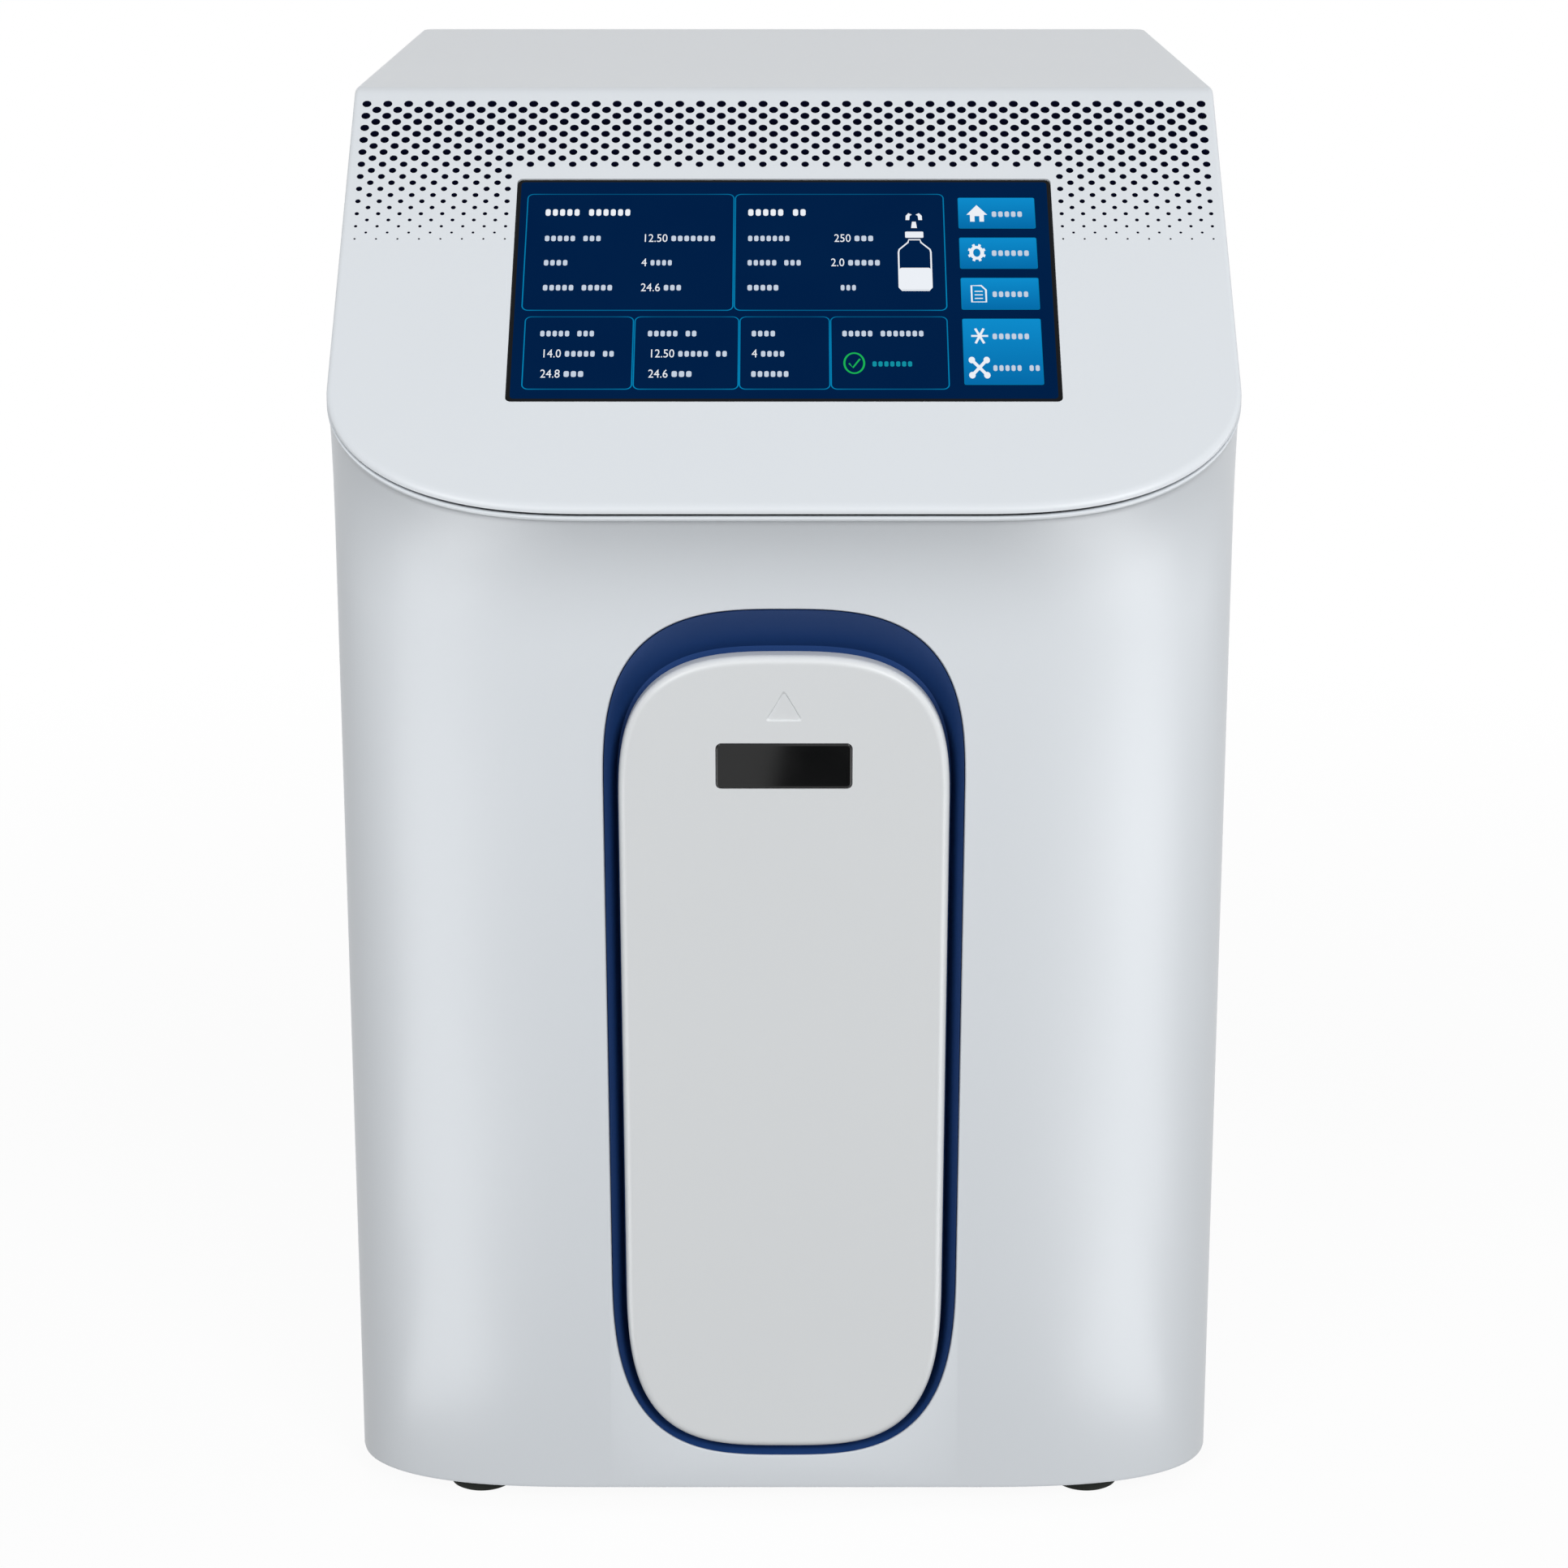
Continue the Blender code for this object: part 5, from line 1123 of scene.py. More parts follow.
@dataclass
class Lid:
    """The folded lid with its perforated slope and the cut-out for the screen."""

    form: CabinetForm = field(default_factory=CabinetForm)
    edge_radius: float = 0.0018
    edge_steps: int = 9
    screen_half_width: float = 0.1002
    screen_start: float = 0.0498
    screen_end: float = 0.1619
    columns: int = 41
    rows: int = 23
    full_rows: int = 11
    hole_pitch: float = 0.008
    row_pitch: float = 0.003264
    first_row: float = 0.0091
    side_block_start: float = 0.1035
    largest_radius: float = 0.00176
    smallest_radius: float = 0.00042
    taper_power: float = 1.9
    hole_sides: int = 16

    def plate(self) -> Any:
        """The folded plate with its round upper edge.

        Returns:
            The plate, open for the screen.
        """
        form = self.form
        outline = form.lid_outline(form.stations(0.0))
        flat = []
        margin = 0.0005
        flat.append([(x, y, form.roof(y, 0.0)) for x, y in inset(outline, self.edge_radius + margin)])
        for i in range(self.edge_steps + 1):
            angle = math.pi / 2 * i / self.edge_steps
            drop = self.edge_radius * (1 - math.cos(angle))
            moved = inset(outline, self.edge_radius * (1 - math.sin(angle)))
            flat.append([(x, y, form.roof(y, 0.0) - drop) for x, y in moved])
        lip = self.form.lid_thickness
        flat.append([(x, y, form.roof(y, lip) + 0.0004) for x, y in outline])
        flat.append([(x, y, form.roof(y, lip)) for x, y in inset(outline, 0.0004)])
        shape = bmesh.new()
        rows = fill_loops(shape, flat, caps=False)
        for row, upward in ((rows[0], True), (rows[-1], False)):
            half = len(row) // 2
            for i in range(half - 1):
                rung = [row[i], row[i + 1], row[-2 - i], row[-1 - i]]
                shape.faces.new(rung if upward else list(reversed(rung)))
        bmesh.ops.recalc_face_normals(shape, faces=shape.faces)
        made = new_object("lid_cover", shape)
        opening = round_rectangle(
            self.screen_half_width + GAP, self.screen_start - GAP, self.screen_end + GAP, 0.002
        )
        tool = bmesh.new()
        reach = 0.009
        fill_loops(tool, [[form.panel_point(x, t, depth) for x, t in opening] for depth in (-reach, reach)])
        return cut(made, [new_object("screen_opening", tidy_normals(tool))])

    def perforate(self, made: Any) -> Any:
        """Cut the vent holes with a tree that follows their rule, and give their walls a dark navy painted
        shade.

        Args:
            made: the lid's plate.

        Returns:
            The plate with its holes.
        """
        form = self.form
        pattern = Pattern(
            "vent_perforations",
            {
                "Columns": ("NodeSocketInt", self.columns),
                "Rows": ("NodeSocketInt", self.rows),
                "Full Rows": ("NodeSocketInt", self.full_rows),
                "Hole Pitch": ("NodeSocketFloat", self.hole_pitch),
                "Row Pitch": ("NodeSocketFloat", self.row_pitch),
                "First Row": ("NodeSocketFloat", self.first_row),
                "Side Block Start": ("NodeSocketFloat", self.side_block_start),
                "Largest Radius": ("NodeSocketFloat", self.largest_radius),
                "Smallest Radius": ("NodeSocketFloat", self.smallest_radius),
                "Taper": ("NodeSocketFloat", self.taper_power),
                "Hole Sides": ("NodeSocketInt", self.hole_sides),
                "Fold": ("NodeSocketVector", (0.0, form.fold_y, form.height)),
                "Slope": ("NodeSocketFloat", form.slope),
                "Hole Shade Finish": ("NodeSocketMaterial", finish("vent_hole_painted_shade")),
            },
        )
        tree, value = pattern.tree, pattern.value
        index = tree.add("GeometryNodeInputIndex").outputs[0]
        row = tree.math("FLOOR", tree.math("DIVIDE", tree.math("ADD", index, 0.5), value("Columns")))
        column = tree.math("SUBTRACT", index, tree.math("MULTIPLY", row, value("Columns")))
        shift = tree.math("MULTIPLY", tree.math("MODULO", row, 2.0), 0.5)
        middle = tree.math("DIVIDE", tree.math("SUBTRACT", value("Columns"), 1.0), 2.0)
        step = tree.math("ADD", tree.math("SUBTRACT", column, middle), shift)
        x = tree.math("MULTIPLY", step, value("Hole Pitch"))
        run = tree.math("MULTIPLY", row, value("Row Pitch"))
        along = tree.math("ADD", run, value("First Row"))
        fold = tree.add("ShaderNodeSeparateXYZ", {0: value("Fold")})
        y = tree.math(
            "SUBTRACT", fold.outputs["Y"], tree.math("MULTIPLY", along, tree.math("COSINE", value("Slope")))
        )
        z = tree.math(
            "SUBTRACT", fold.outputs["Z"], tree.math("MULTIPLY", along, tree.math("SINE", value("Slope")))
        )
        place = tree.add("ShaderNodeCombineXYZ", {"X": x, "Y": y, "Z": z}).outputs[0]
        count = tree.math("MULTIPLY", value("Columns"), value("Rows"))
        points = tree.add("GeometryNodePoints", {"Count": count, "Position": place})
        whole = tree.math("SUBTRACT", value("Rows"), 1.0)
        share = tree.math("DIVIDE", row, whole)
        span = tree.math("SUBTRACT", value("Largest Radius"), value("Smallest Radius"))
        loss = tree.math("MULTIPLY", span, tree.math("POWER", share, value("Taper")))
        radius = tree.math("SUBTRACT", value("Largest Radius"), loss)
        kept = tree.add(
            "GeometryNodeStoreNamedAttribute", {"Geometry": points.outputs[0], "Name": "hole_radius"},
            data_type="FLOAT", domain="POINT",
        )
        tree.link(radius, kept.inputs["Value"])
        width = tree.math("ABSOLUTE", x)
        half_span = tree.math("MULTIPLY", tree.math("ADD", middle, 0.25), value("Hole Pitch"))
        outside = tree.math("GREATER_THAN", width, half_span)
        lower = tree.math("GREATER_THAN", tree.math("ADD", row, 0.5), value("Full Rows"))
        inside = tree.math("LESS_THAN", width, value("Side Block Start"))
        dropped = tree.math("ADD", outside, tree.math("MULTIPLY", lower, inside))
        left = tree.add(
            "GeometryNodeDeleteGeometry", {"Geometry": kept.outputs[0], "Selection": dropped}, domain="POINT"
        )
        size = tree.add(
            "GeometryNodeInputNamedAttribute", {"Name": "hole_radius"}, data_type="FLOAT"
        ).outputs[0]
        scale = tree.add("ShaderNodeCombineXYZ", {"X": size, "Y": size, "Z": 1.0}).outputs[0]
        turn = tree.add("ShaderNodeCombineXYZ", {"X": value("Slope")}).outputs[0]
        drill = tree.add(
            "GeometryNodeMeshCylinder", {"Vertices": value("Hole Sides"), "Radius": 1.0, "Depth": 0.014}
        )
        copies = tree.add(
            "GeometryNodeInstanceOnPoints",
            {"Points": left.outputs[0], "Instance": drill.outputs["Mesh"], "Rotation": turn, "Scale": scale},
        )
        drills = tree.add("GeometryNodeRealizeInstances", {"Geometry": copies.outputs[0]})
        marked = tree.add(
            "GeometryNodeStoreNamedAttribute",
            {"Geometry": drills.outputs[0], "Name": "hole_wall", "Value": True}, data_type="BOOLEAN",
            domain="FACE",
        )
        holes = tree.add("GeometryNodeMeshBoolean", operation="DIFFERENCE", solver="MANIFOLD")
        tree.link(value("Geometry"), holes.inputs["Mesh 1"])
        tree.link(marked.outputs[0], holes.inputs["Mesh 2"])
        # The hole walls take the dark navy painted shade finish.
        wall = tree.add(
            "GeometryNodeInputNamedAttribute", {"Name": "hole_wall"}, data_type="BOOLEAN"
        ).outputs[0]
        pattern.end(holes.outputs["Mesh"], value("Hole Shade Finish"), wall)
        return pattern.run(made)

    def build(self) -> None:
        """Build and dress the lid."""
        made = self.plate()
        made.data.materials.clear()
        made.data.materials.append(finish("shell_white"))
        self.perforate(made)
        for name in ("hole_wall", "hole_radius"):
            extra = made.data.attributes.get(name)
            if extra is not None:
                made.data.attributes.remove(extra)
        shade(made, 24.0)
        dress(made, Body.CABINET, (), ("lid",))


@dataclass
class Case:
    """The wrap-round case with its beaded, flared rim and its openings."""

    form: CabinetForm = field(default_factory=CabinetForm)
    flare_steps: int = 26
    rear_half_width: float = 0.130
    rear_low: float = 0.038
    rear_high: float = 0.442

    def ring(self, rim: Sequence[Flat], wall: Sequence[Flat], drop: float, tuck: float) -> list[Point]:
        """A loop of the outer face.

        Args:
            rim: outline of the rim.
            wall: outline of the case below the flare.
            drop: distance below the rim's top.
            tuck: distance that the loop lies inside the flare.

        Returns:
            The loop's points.
        """
        form = self.form
        share = max(drop - form.bead, 0.0) / (form.flare_drop - form.bead)
        flare = (1 - min(share, 1.0)) ** form.flare_power
        level = [(wx + (rx - wx) * flare, wy + (ry - wy) * flare) for (rx, ry), (wx, wy) in zip(rim, wall)]
        depth = form.lid_thickness + form.groove
        placed = inset(level, tuck) if tuck else level
        return [(x, y, form.roof(ry, depth) - drop) for (x, y), (_, ry) in zip(placed, rim)]

    def build(self) -> None:
        """Build and dress the case."""
        form = self.form
        stations = form.stations(form.lid_thickness + form.groove, 8)
        rim, wall = form.lid_outline(stations), form.case_outline(stations)
        bead = form.bead
        outer = [
            self.ring(rim, wall, drop, tuck)
            for drop, tuck in (
                (0.0, 0.0011), (0.0001, 0.0006), (0.00035, 0.0002), (0.0007, 0.0), (0.0012, 0.00005),
                (0.0016, 0.0003), (bead, 0.0006), (bead + 0.0003, 0.0008),
            )
        ]
        for i in range(1, self.flare_steps + 1):
            share = i / self.flare_steps
            drop = bead + (form.flare_drop - bead) * share
            outer.append(self.ring(rim, wall, drop, 0.0008 * (1 - share) ** 3))
        outer += [[(x, y, z) for x, y in wall] for z in (form.foot_height + 0.0016,)]
        edge = 0.0012
        outer.append([(x, y, form.foot_height + edge * 0.3) for x, y in inset(wall, edge * 0.3)])
        outer.append([(x, y, form.foot_height) for x, y in inset(wall, edge)])
        inner_wall = inset(wall, form.wall)
        inner = [[(x, y, form.foot_height) for x, y in inner_wall]]
        for share in (1.0, 0.75, 0.5, 0.3, 0.15, 0.0):
            drop = form.flare_drop * share
            loop = self.ring(rim, wall, max(drop, 0.0), form.wall)
            inner.append(loop)
        shape = bmesh.new()
        fill_loops(shape, outer + inner, closed=True)
        bmesh.ops.recalc_face_normals(shape, faces=shape.faces)
        made = new_object("case_cover", shape)
        made.data.materials.append(finish("shell_white"))
        front = bmesh.new()
        levels = ((0.0022, -0.004), (0.0007, -0.0003), (0.00035, 0.00012), (0.0001, 0.00042), (0.0, 0.0008),
            (0.0, 0.010))
        fill_loops(
            front,
            [[(x, form.face_y(z) + shift, z) for x, z in surround_outline(grow)] for grow, shift in levels]
        )
        rear = block(
            (-self.rear_half_width, form.back - form.wall - 0.004, self.rear_low),
            (self.rear_half_width, form.back + 0.004, self.rear_high),
        )
        cut(made, [new_object("surround_opening", tidy_normals(front)), new_object("rear_opening", rear)])
        shade(made, 30.0)
        dress(made, Body.CABINET, ("shell_white",), ("case_shell",))


@dataclass
class Surround:
    """The blue scoop round the door, its floor, its hinge ears, the pins and the strike plate."""

    form: CabinetForm = field(default_factory=CabinetForm)
    depth: float = 0.0115
    floor: float = 0.0025
    scoop_steps: int = 16
    hinge: Point = (0.0, -0.2128, 0.032)
    ear_radius: float = 0.0024
    ear_width: float = 0.005
    ear_x: float = 0.024
    pin_radius: float = 0.0009

    def scoop(self) -> list[list[Point]]:
        """Loops from the lip down to the floor.

        Returns:
            The loops, the outer one first.
        """
        lip, throat = surround_outline(-GAP), door_outline(0.0009)
        loops = []
        floor_y = self.form.case_front + self.depth
        for i in range(self.scoop_steps + 1):
            share = i / self.scoop_steps
            sink = 0.9 * share + 0.1 * share**2 + 0.035 * math.sin(math.pi * share)
            loop = []
            for (lip_x, lip_z), (in_x, in_z) in zip(lip, throat):
                face = self.form.face_y(lip_z) + 0.0002
                loop.append((
                    lip_x + (in_x - lip_x) * share, face + (floor_y - face) * sink,
                    lip_z + (in_z - lip_z) * share
                ))
            loops.append(loop)
        return loops

    def build(self) -> None:
        """Build and dress the surround and what is fixed to it."""
        form = self.form
        floor_y = form.case_front + self.depth
        back_y = floor_y + self.floor
        flange = form.case_front + form.wall + GAP
        levels = (
            (bay_outline(), floor_y + 0.0004), (bay_outline(), back_y), (surround_outline(-GAP), back_y),
            (surround_outline(-GAP), flange + 0.0025), (surround_outline(0.005), flange + 0.0025),
            (surround_outline(0.005), flange), (surround_outline(-GAP), flange),
        )
        loops = [[(x, y, z) for x, z in outline] for outline, y in levels]
        loops += self.scoop()
        loops.append([(x, floor_y, z) for x, z in inset(bay_outline(), -0.0004)])
        shape = bmesh.new()
        fill_loops(shape, loops, closed=True)
        bmesh.ops.recalc_face_normals(shape, faces=shape.faces)
        made = new_object("surround_cover", shape)
        ears, holes = [], []
        _, axis_y, axis_z = self.hinge
        for side in (-1, 1):
            low, high = side * self.ear_x - self.ear_width / 2, side * self.ear_x + self.ear_width / 2
            outline = [(axis_y + math.cos(a) * self.ear_radius, axis_z + math.sin(a) * self.ear_radius)
                       for a in (math.radians(52 + 256 * i / 20) for i in range(21))]
            root = floor_y + self.floor / 2
            outline += [(root, axis_z - 0.0019), (root, axis_z + 0.0019)]
            ears.append(new_object(f"ear_{side}", draw_out(outline, low, high, Axis.X)))
            holes.append(
                new_object(
                    f"ear_bore_{side}",
                    lathe(
                        [(0, low - 0.003), (self.pin_radius + GAP, low - 0.003),
                            (self.pin_radius + GAP, high + 0.003),
                         (0, high + 0.003)],
                        (0, axis_y, axis_z), Axis.X, 24,
                    ),
                )
            )
            pin = lathe(
                [(0, low - 0.0025), (self.pin_radius * 0.7, low - 0.0025), (self.pin_radius, low - 0.0022),
                 (self.pin_radius, high + 0.0022), (self.pin_radius * 0.7, high + 0.0025),
                 (0, high + 0.0025)],
                (0, axis_y, axis_z), Axis.X, 24,
            )
            side_name = "left" if side < 0 else "right"
            dress(
                shade(new_object(f"pin_{side_name}", pin)), Body.CABINET, ("nickel",),
                (f"hinge_pin_{side_name}",),
            )
        cut(made, ears, "UNION")
        cut(made, holes)
        shade(made, 30.0)
        dress(made, Body.CABINET, ("surround_blue",), ("door_surround",))
        low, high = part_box("strike_plate")
        plate = bevelled(new_object("strike", block(tuple(low), tuple(high))), 0.0003)
        dress(shade(plate), Body.CABINET, ("nickel",), ("strike_plate",))


@dataclass
class Door:
    """The door: round-edged, hollow behind, with its engraved pointer, window and magnet."""

    form: CabinetForm = field(default_factory=CabinetForm)
    proud: float = 0.002
    thickness: float = 0.009
    skin: float = 0.003
    edge_radius: float = 0.003
    edge_steps: int = 10
    hinge: Point = (0.0, -0.2128, 0.032)
    block_top: float = 0.0418
    window_half_width: float = 0.0245
    window_low: float = 0.28662
    window_high: float = 0.30312
    window_radius: float = 0.0018
    window_thickness: float = 0.0015
    pointer_base: float = 0.3121
    pointer_tip: float = 0.3224
    pointer_half_width: float = 0.0061

    def pointer(self, grow: float) -> list[Flat]:
        """Outline of the pointer with soft corners.

        Args:
            grow: distance to move the outline outwards.

        Returns:
            The outline.
        """
        corners = (
            (self.pointer_half_width + grow * 1.7, self.pointer_base - grow),
            (0.0, self.pointer_tip + grow * 2.0),
            (-self.pointer_half_width - grow * 1.7, self.pointer_base - grow),
        )
        outline = []
        for i, corner in enumerate(corners):
            before, after = corners[i - 1], corners[(i + 1) % 3]
            ends = []
            for other in (before, after):
                length = math.dist(corner, other)
                ends.append(tuple(c + (o - c) * 0.0016 / length for c, o in zip(corner, other)))
            for j in range(7):
                share = j / 6
                outline.append(tuple(
                    (1 - share) ** 2 * a + 2 * share * (1 - share) * c + share**2 * b
                    for a, c, b in zip(ends[0], corner, ends[1])
                ))
        return outline

    def pointer_groove(self, front: float) -> Any:
        """The tool that sinks the pointer, a triangle with sloping sides, into the face."""
        shape = bmesh.new()
        levels = (
            (0.0005, -0.001), (0.0005, 0.0), (0.0, 0.0006), (-0.0012, 0.0006),
        )
        fill_loops(shape, [[(x, front + sink, z) for x, z in self.pointer(grow)] for grow, sink in levels])
        return new_object("pointer_tool", tidy_normals(shape))

    def build(self) -> None:
        """Build and dress the door and what rides with it."""
        front = self.form.case_front - self.proud
        back = front + self.thickness
        outline = door_outline()
        loops = [[(x, front, z) for x, z in inset(outline, self.edge_radius + 0.0005)]]
        for i in range(self.edge_steps + 1):
            angle = math.pi / 2 * i / self.edge_steps
            moved = inset(outline, self.edge_radius * (1 - math.sin(angle)))
            loops.append([(x, front + self.edge_radius * (1 - math.cos(angle)), z) for x, z in moved])
        loops.append([(x, back - 0.0005, z) for x, z in outline])
        loops.append([(x, back, z) for x, z in inset(outline, 0.0005)])
        shape = bmesh.new()
        fill_loops(shape, loops)
        made = new_object("door_cover", tidy_normals(shape))
        pocket_outline = [(x, max(z, self.block_top)) for x, z in door_outline(-self.skin)]
        seen, trimmed = set(), []
        for x, z in pocket_outline:
            if z > self.block_top or abs(
                abs(x) - max(abs(a) for a, b in pocket_outline if b == self.block_top)
            ) < 1e-9:
                if (x, z) not in seen:
                    seen.add((x, z))
                    trimmed.append((x, z))
        tools = [new_object("pocket", draw_out(trimmed, front + self.skin, back + 0.004, Axis.Y))]
        _, axis_y, axis_z = self.hinge
        for side in (-1, 1):
            centre = side * 0.024
            tools.append(new_object(f"ear_room_{side}", block(
                (centre - 0.003, axis_y - 0.0029, axis_z - 0.0102),
                (centre + 0.003, back + 0.004, axis_z + 0.0045)
            )))
            bore = lathe(
                [(0, centre - 0.0053), (0.0012, centre - 0.0053), (0.0012, centre + 0.0053),
                    (0, centre + 0.0053)],
                (0, axis_y, axis_z), Axis.X, 20,
            )
            tools.append(new_object(f"pin_bore_{side}", bore))
        seat = round_rectangle(
            self.window_half_width + GAP, self.window_low - GAP, self.window_high + GAP,
            self.window_radius + GAP
        )
        seat_back = front + self.window_thickness + GAP
        tools.append(new_object("window_seat", draw_out(seat, front - 0.004, seat_back, Axis.Y)))
        tools.append(self.pointer_groove(front))
        cut(made, tools)
        shade(made, 30.0)
        dress(made, Body.DOOR, ("door_white",), ("door",))
        pane_outline = round_rectangle(
            self.window_half_width, self.window_low, self.window_high, self.window_radius
        )
        edge = 0.0004
        pane = bmesh.new()
        fill_loops(pane, [
            [(x, front + sink, z) for x, z in inset(pane_outline, tuck)]
            for tuck, sink in (
                (edge + 0.0003, 0.0), (edge, 0.0), (edge * 0.3, edge * 0.3), (0.0, edge),
                (0.0, self.window_thickness)
            )
        ])
        pane_piece = shade(new_object("window_pane", tidy_normals(pane)))
        dress(pane_piece, Body.DOOR, ("window_glass",), ("door_window",))
        low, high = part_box("door_magnet")
        magnet = bevelled(new_object("catch_magnet", block(tuple(low), tuple(high))), 0.0004)
        dress(shade(magnet), Body.DOOR, ("dark_plastic",), ("door_magnet",))


class Layer(Enum):
    """How far each lit layer of the display stands off the glass."""

    BACK = 0.00001
    BUTTON = 0.00002
    LINE = 0.00003
    SIGN = 0.00004


RISE = 1.37
"""How much longer a sign is along the slope than across, to look square from the front."""


@dataclass(frozen=True)
class Phrase:
    """A row of words or a reading on the display, with its ends, its base line and its height."""

    start: float
    end: float
    base: float
    figures: str = ""
    height: float = 0.0041
    look: str = "display_soft"


PHRASES = (
    Phrase(-0.0893, -0.0576, 0.0692, height=0.0050, look="display_white"),
    Phrase(-0.0134, 0.0081, 0.0692, height=0.0050, look="display_white"),
    Phrase(-0.0891, -0.0683, 0.0823),
    Phrase(-0.0890, -0.0803, 0.0948),
    Phrase(-0.0889, -0.0634, 0.1075),
    Phrase(-0.0527, -0.0257, 0.0823, "12.50"),
    Phrase(-0.0529, -0.0416, 0.0948, "4"),
    Phrase(-0.0529, -0.0380, 0.1075, "24.6"),
    Phrase(-0.0134, 0.0020, 0.0823),
    Phrase(-0.0135, 0.0062, 0.0948),
    Phrase(-0.0135, -0.0021, 0.1075),
    Phrase(0.0186, 0.0332, 0.0823, "250"),
    Phrase(0.0173, 0.0355, 0.0948, "2.0"),
    Phrase(0.0209, 0.0265, 0.1075),
    Phrase(-0.0890, -0.0694, 0.1305),
    Phrase(-0.0497, -0.0320, 0.1305),
    Phrase(-0.0118, -0.0033, 0.1305),
    Phrase(0.0213, 0.0509, 0.1305),
    Phrase(-0.0883, -0.0619, 0.1405, "14.0"),
    Phrase(-0.0492, -0.0208, 0.1405, "12.50"),
    Phrase(-0.0118, 0.0001, 0.1405, "4"),
    Phrase(-0.0884, -0.0727, 0.1504, "24.8"),
    Phrase(-0.0493, -0.0335, 0.1504, "24.6"),
    Phrase(-0.0119, 0.0016, 0.1504),
    Phrase(0.0321, 0.0465, 0.1453, height=0.0037, look="display_teal"),
    Phrase(0.0778, 0.0891, 0.0697),
    Phrase(0.0772, 0.0909, 0.0899),
    Phrase(0.0768, 0.0899, 0.1108),
    Phrase(0.0761, 0.0894, 0.1319),
    Phrase(0.0759, 0.0927, 0.1475),
)


@dataclass
class DisplayDrawing:
    """Flat lit shapes on the glass, drawn in (x, along the panel) and gathered by finish."""

    form: CabinetForm
    glass_depth: float
    shapes: dict[str, Any] = field(default_factory=dict)

    def sheet(self, look: str) -> tuple[Any, Any]:
        """The bmesh of a finish and its shade layer."""
        if look not in self.shapes:
            shape = bmesh.new()
            shape.verts.layers.float.new("shade")
            self.shapes[look] = shape
        shape = self.shapes[look]
        return shape, shape.verts.layers.float["shade"]

    def point(self, x: float, along: float, layer: Layer) -> Point:
        """A point of a layer."""
        return self.form.panel_point(x, along, self.glass_depth - layer.value)

    def area(
        self, look: str, layer: Layer, outline: Sequence[Flat],
        tone: Callable[[float, float], float] | None = None
    ) -> None:
        """Fill an outline.

        Args:
            look: the finish.
            layer: the layer that it lies on.
            outline: (x, along) points round it.
            tone: the shade value at a point, 0 to 1.
        """
        shape, shades = self.sheet(look)
        verts = []
        for x, along in outline:
            vert = shape.verts.new(self.point(x, along, layer))
            vert[shades] = tone(x, along) if tone else 0.0
            verts.append(vert)
        shape.faces.new(verts)

    def band(
        self, look: str, layer: Layer, outline: Sequence[Flat], width: float,
        tone: Callable[[float, float], float] | None = None, closed: bool = True,
    ) -> None:
        """Draw a line of some width along an outline.

        Args:
            look: the finish.
            layer: the layer that it lies on.
            outline: (x, along) points of the line's middle.
            width: the line's width.
            tone: the shade value at a point, 0 to 1.
            closed: the line's end meets its start.
        """
        shape, shades = self.sheet(look)
        count = len(outline)
        pairs = []
        for i, (x, along) in enumerate(outline):
            before = outline[i - 1] if closed or i else outline[i]
            after = outline[(i + 1) % count] if closed or i < count - 1 else outline[i]
            run, rise = after[0] - before[0], after[1] - before[1]
            length = math.hypot(run, rise) or 1.0
            side_x, side_t = rise / length * width / 2, -run / length * width / 2
            pair = []
            for sign in (1, -1):
                vert = shape.verts.new(self.point(x + side_x * sign, along + side_t * sign, layer))
                vert[shades] = tone(x, along) if tone else 0.0
                pair.append(vert)
            pairs.append(pair)
        following = pairs[1:] + (pairs[:1] if closed else [])
        for pair, nearby in zip(pairs, following):
            shape.faces.new((pair[0], nearby[0], nearby[1], pair[1]))

    def figures(self, look: str, words: str, x: float, along: float, height: float) -> float:
        """Set plain figures with their left end and base line at a place, and give their right end.

        Args:
            look: their finish.
            words: the figures.
            x: their left end.
            along: their base line, along the panel.
            height: their height.

        Returns:
            Their right end.
        """
        curve = bpy.data.curves.new("figures", "FONT")
        curve.body = words
        curve.size = height * 1.4
        curve.resolution_u = 3
        text = bpy.data.objects.new("figures", curve)
        bpy.context.scene.collection.objects.link(text)
        bpy.context.view_layer.update()
        mesh = bpy.data.meshes.new_from_object(text.evaluated_get(bpy.context.evaluated_depsgraph_get()))
        bpy.data.objects.remove(text, do_unlink=True)
        shape, shades = self.sheet(look)
        squeeze = 0.74
        verts = [
            shape.verts.new(self.point(x + vert.co.x * squeeze, along - vert.co.y, Layer.SIGN))
            for vert in mesh.vertices
        ]
        end = x + max(vert.co.x for vert in mesh.vertices) * squeeze
        for vert in verts:
            vert[shades] = 0.0
        for polygon in mesh.polygons:
            shape.faces.new([verts[i] for i in polygon.vertices])
        bpy.data.meshes.remove(mesh)
        return end

    def phrase(self, row: Phrase) -> None:
        """A reading, then a row of short dashes that stands where words would.

        Args:
            row: the row's ends, base line, figures, height and finish.
        """
        x, tall = row.start, row.height
        if row.figures:
            x = self.figures("display_white", row.figures, x, row.base, tall) + tall * 0.35
        gap = tall * 0.17
        count = max(1, round((row.end - x + gap) / (tall * 0.56)))
        step = (row.end - x + gap) / count
        width = step - gap
        for i in range(count):
            if i % 6 < 5 or i > count - 3:
                top, low = row.base - tall * 0.78, row.base - tall * 0.08
                outline = round_rectangle(width / 2, top, low, tall * 0.17, 3, x + step * i + width / 2)
                self.area(row.look, Layer.SIGN, outline)

    def ring(self, look: str, centre: Flat, radius: float, width: float, count: int = 32) -> None:
        """A ring that looks round from the front: it is drawn out along the slope.

        Args:
            look: its finish.
            centre: its centre.
            radius: its radius across.
            width: its line's width.
            count: its corners.
        """
        turns = [math.tau * i / count for i in range(count)]
        outline = [(centre[0] + radius * math.cos(a), centre[1] + radius * RISE * math.sin(a)) for a in turns]
        self.band(look, Layer.SIGN, outline, width)

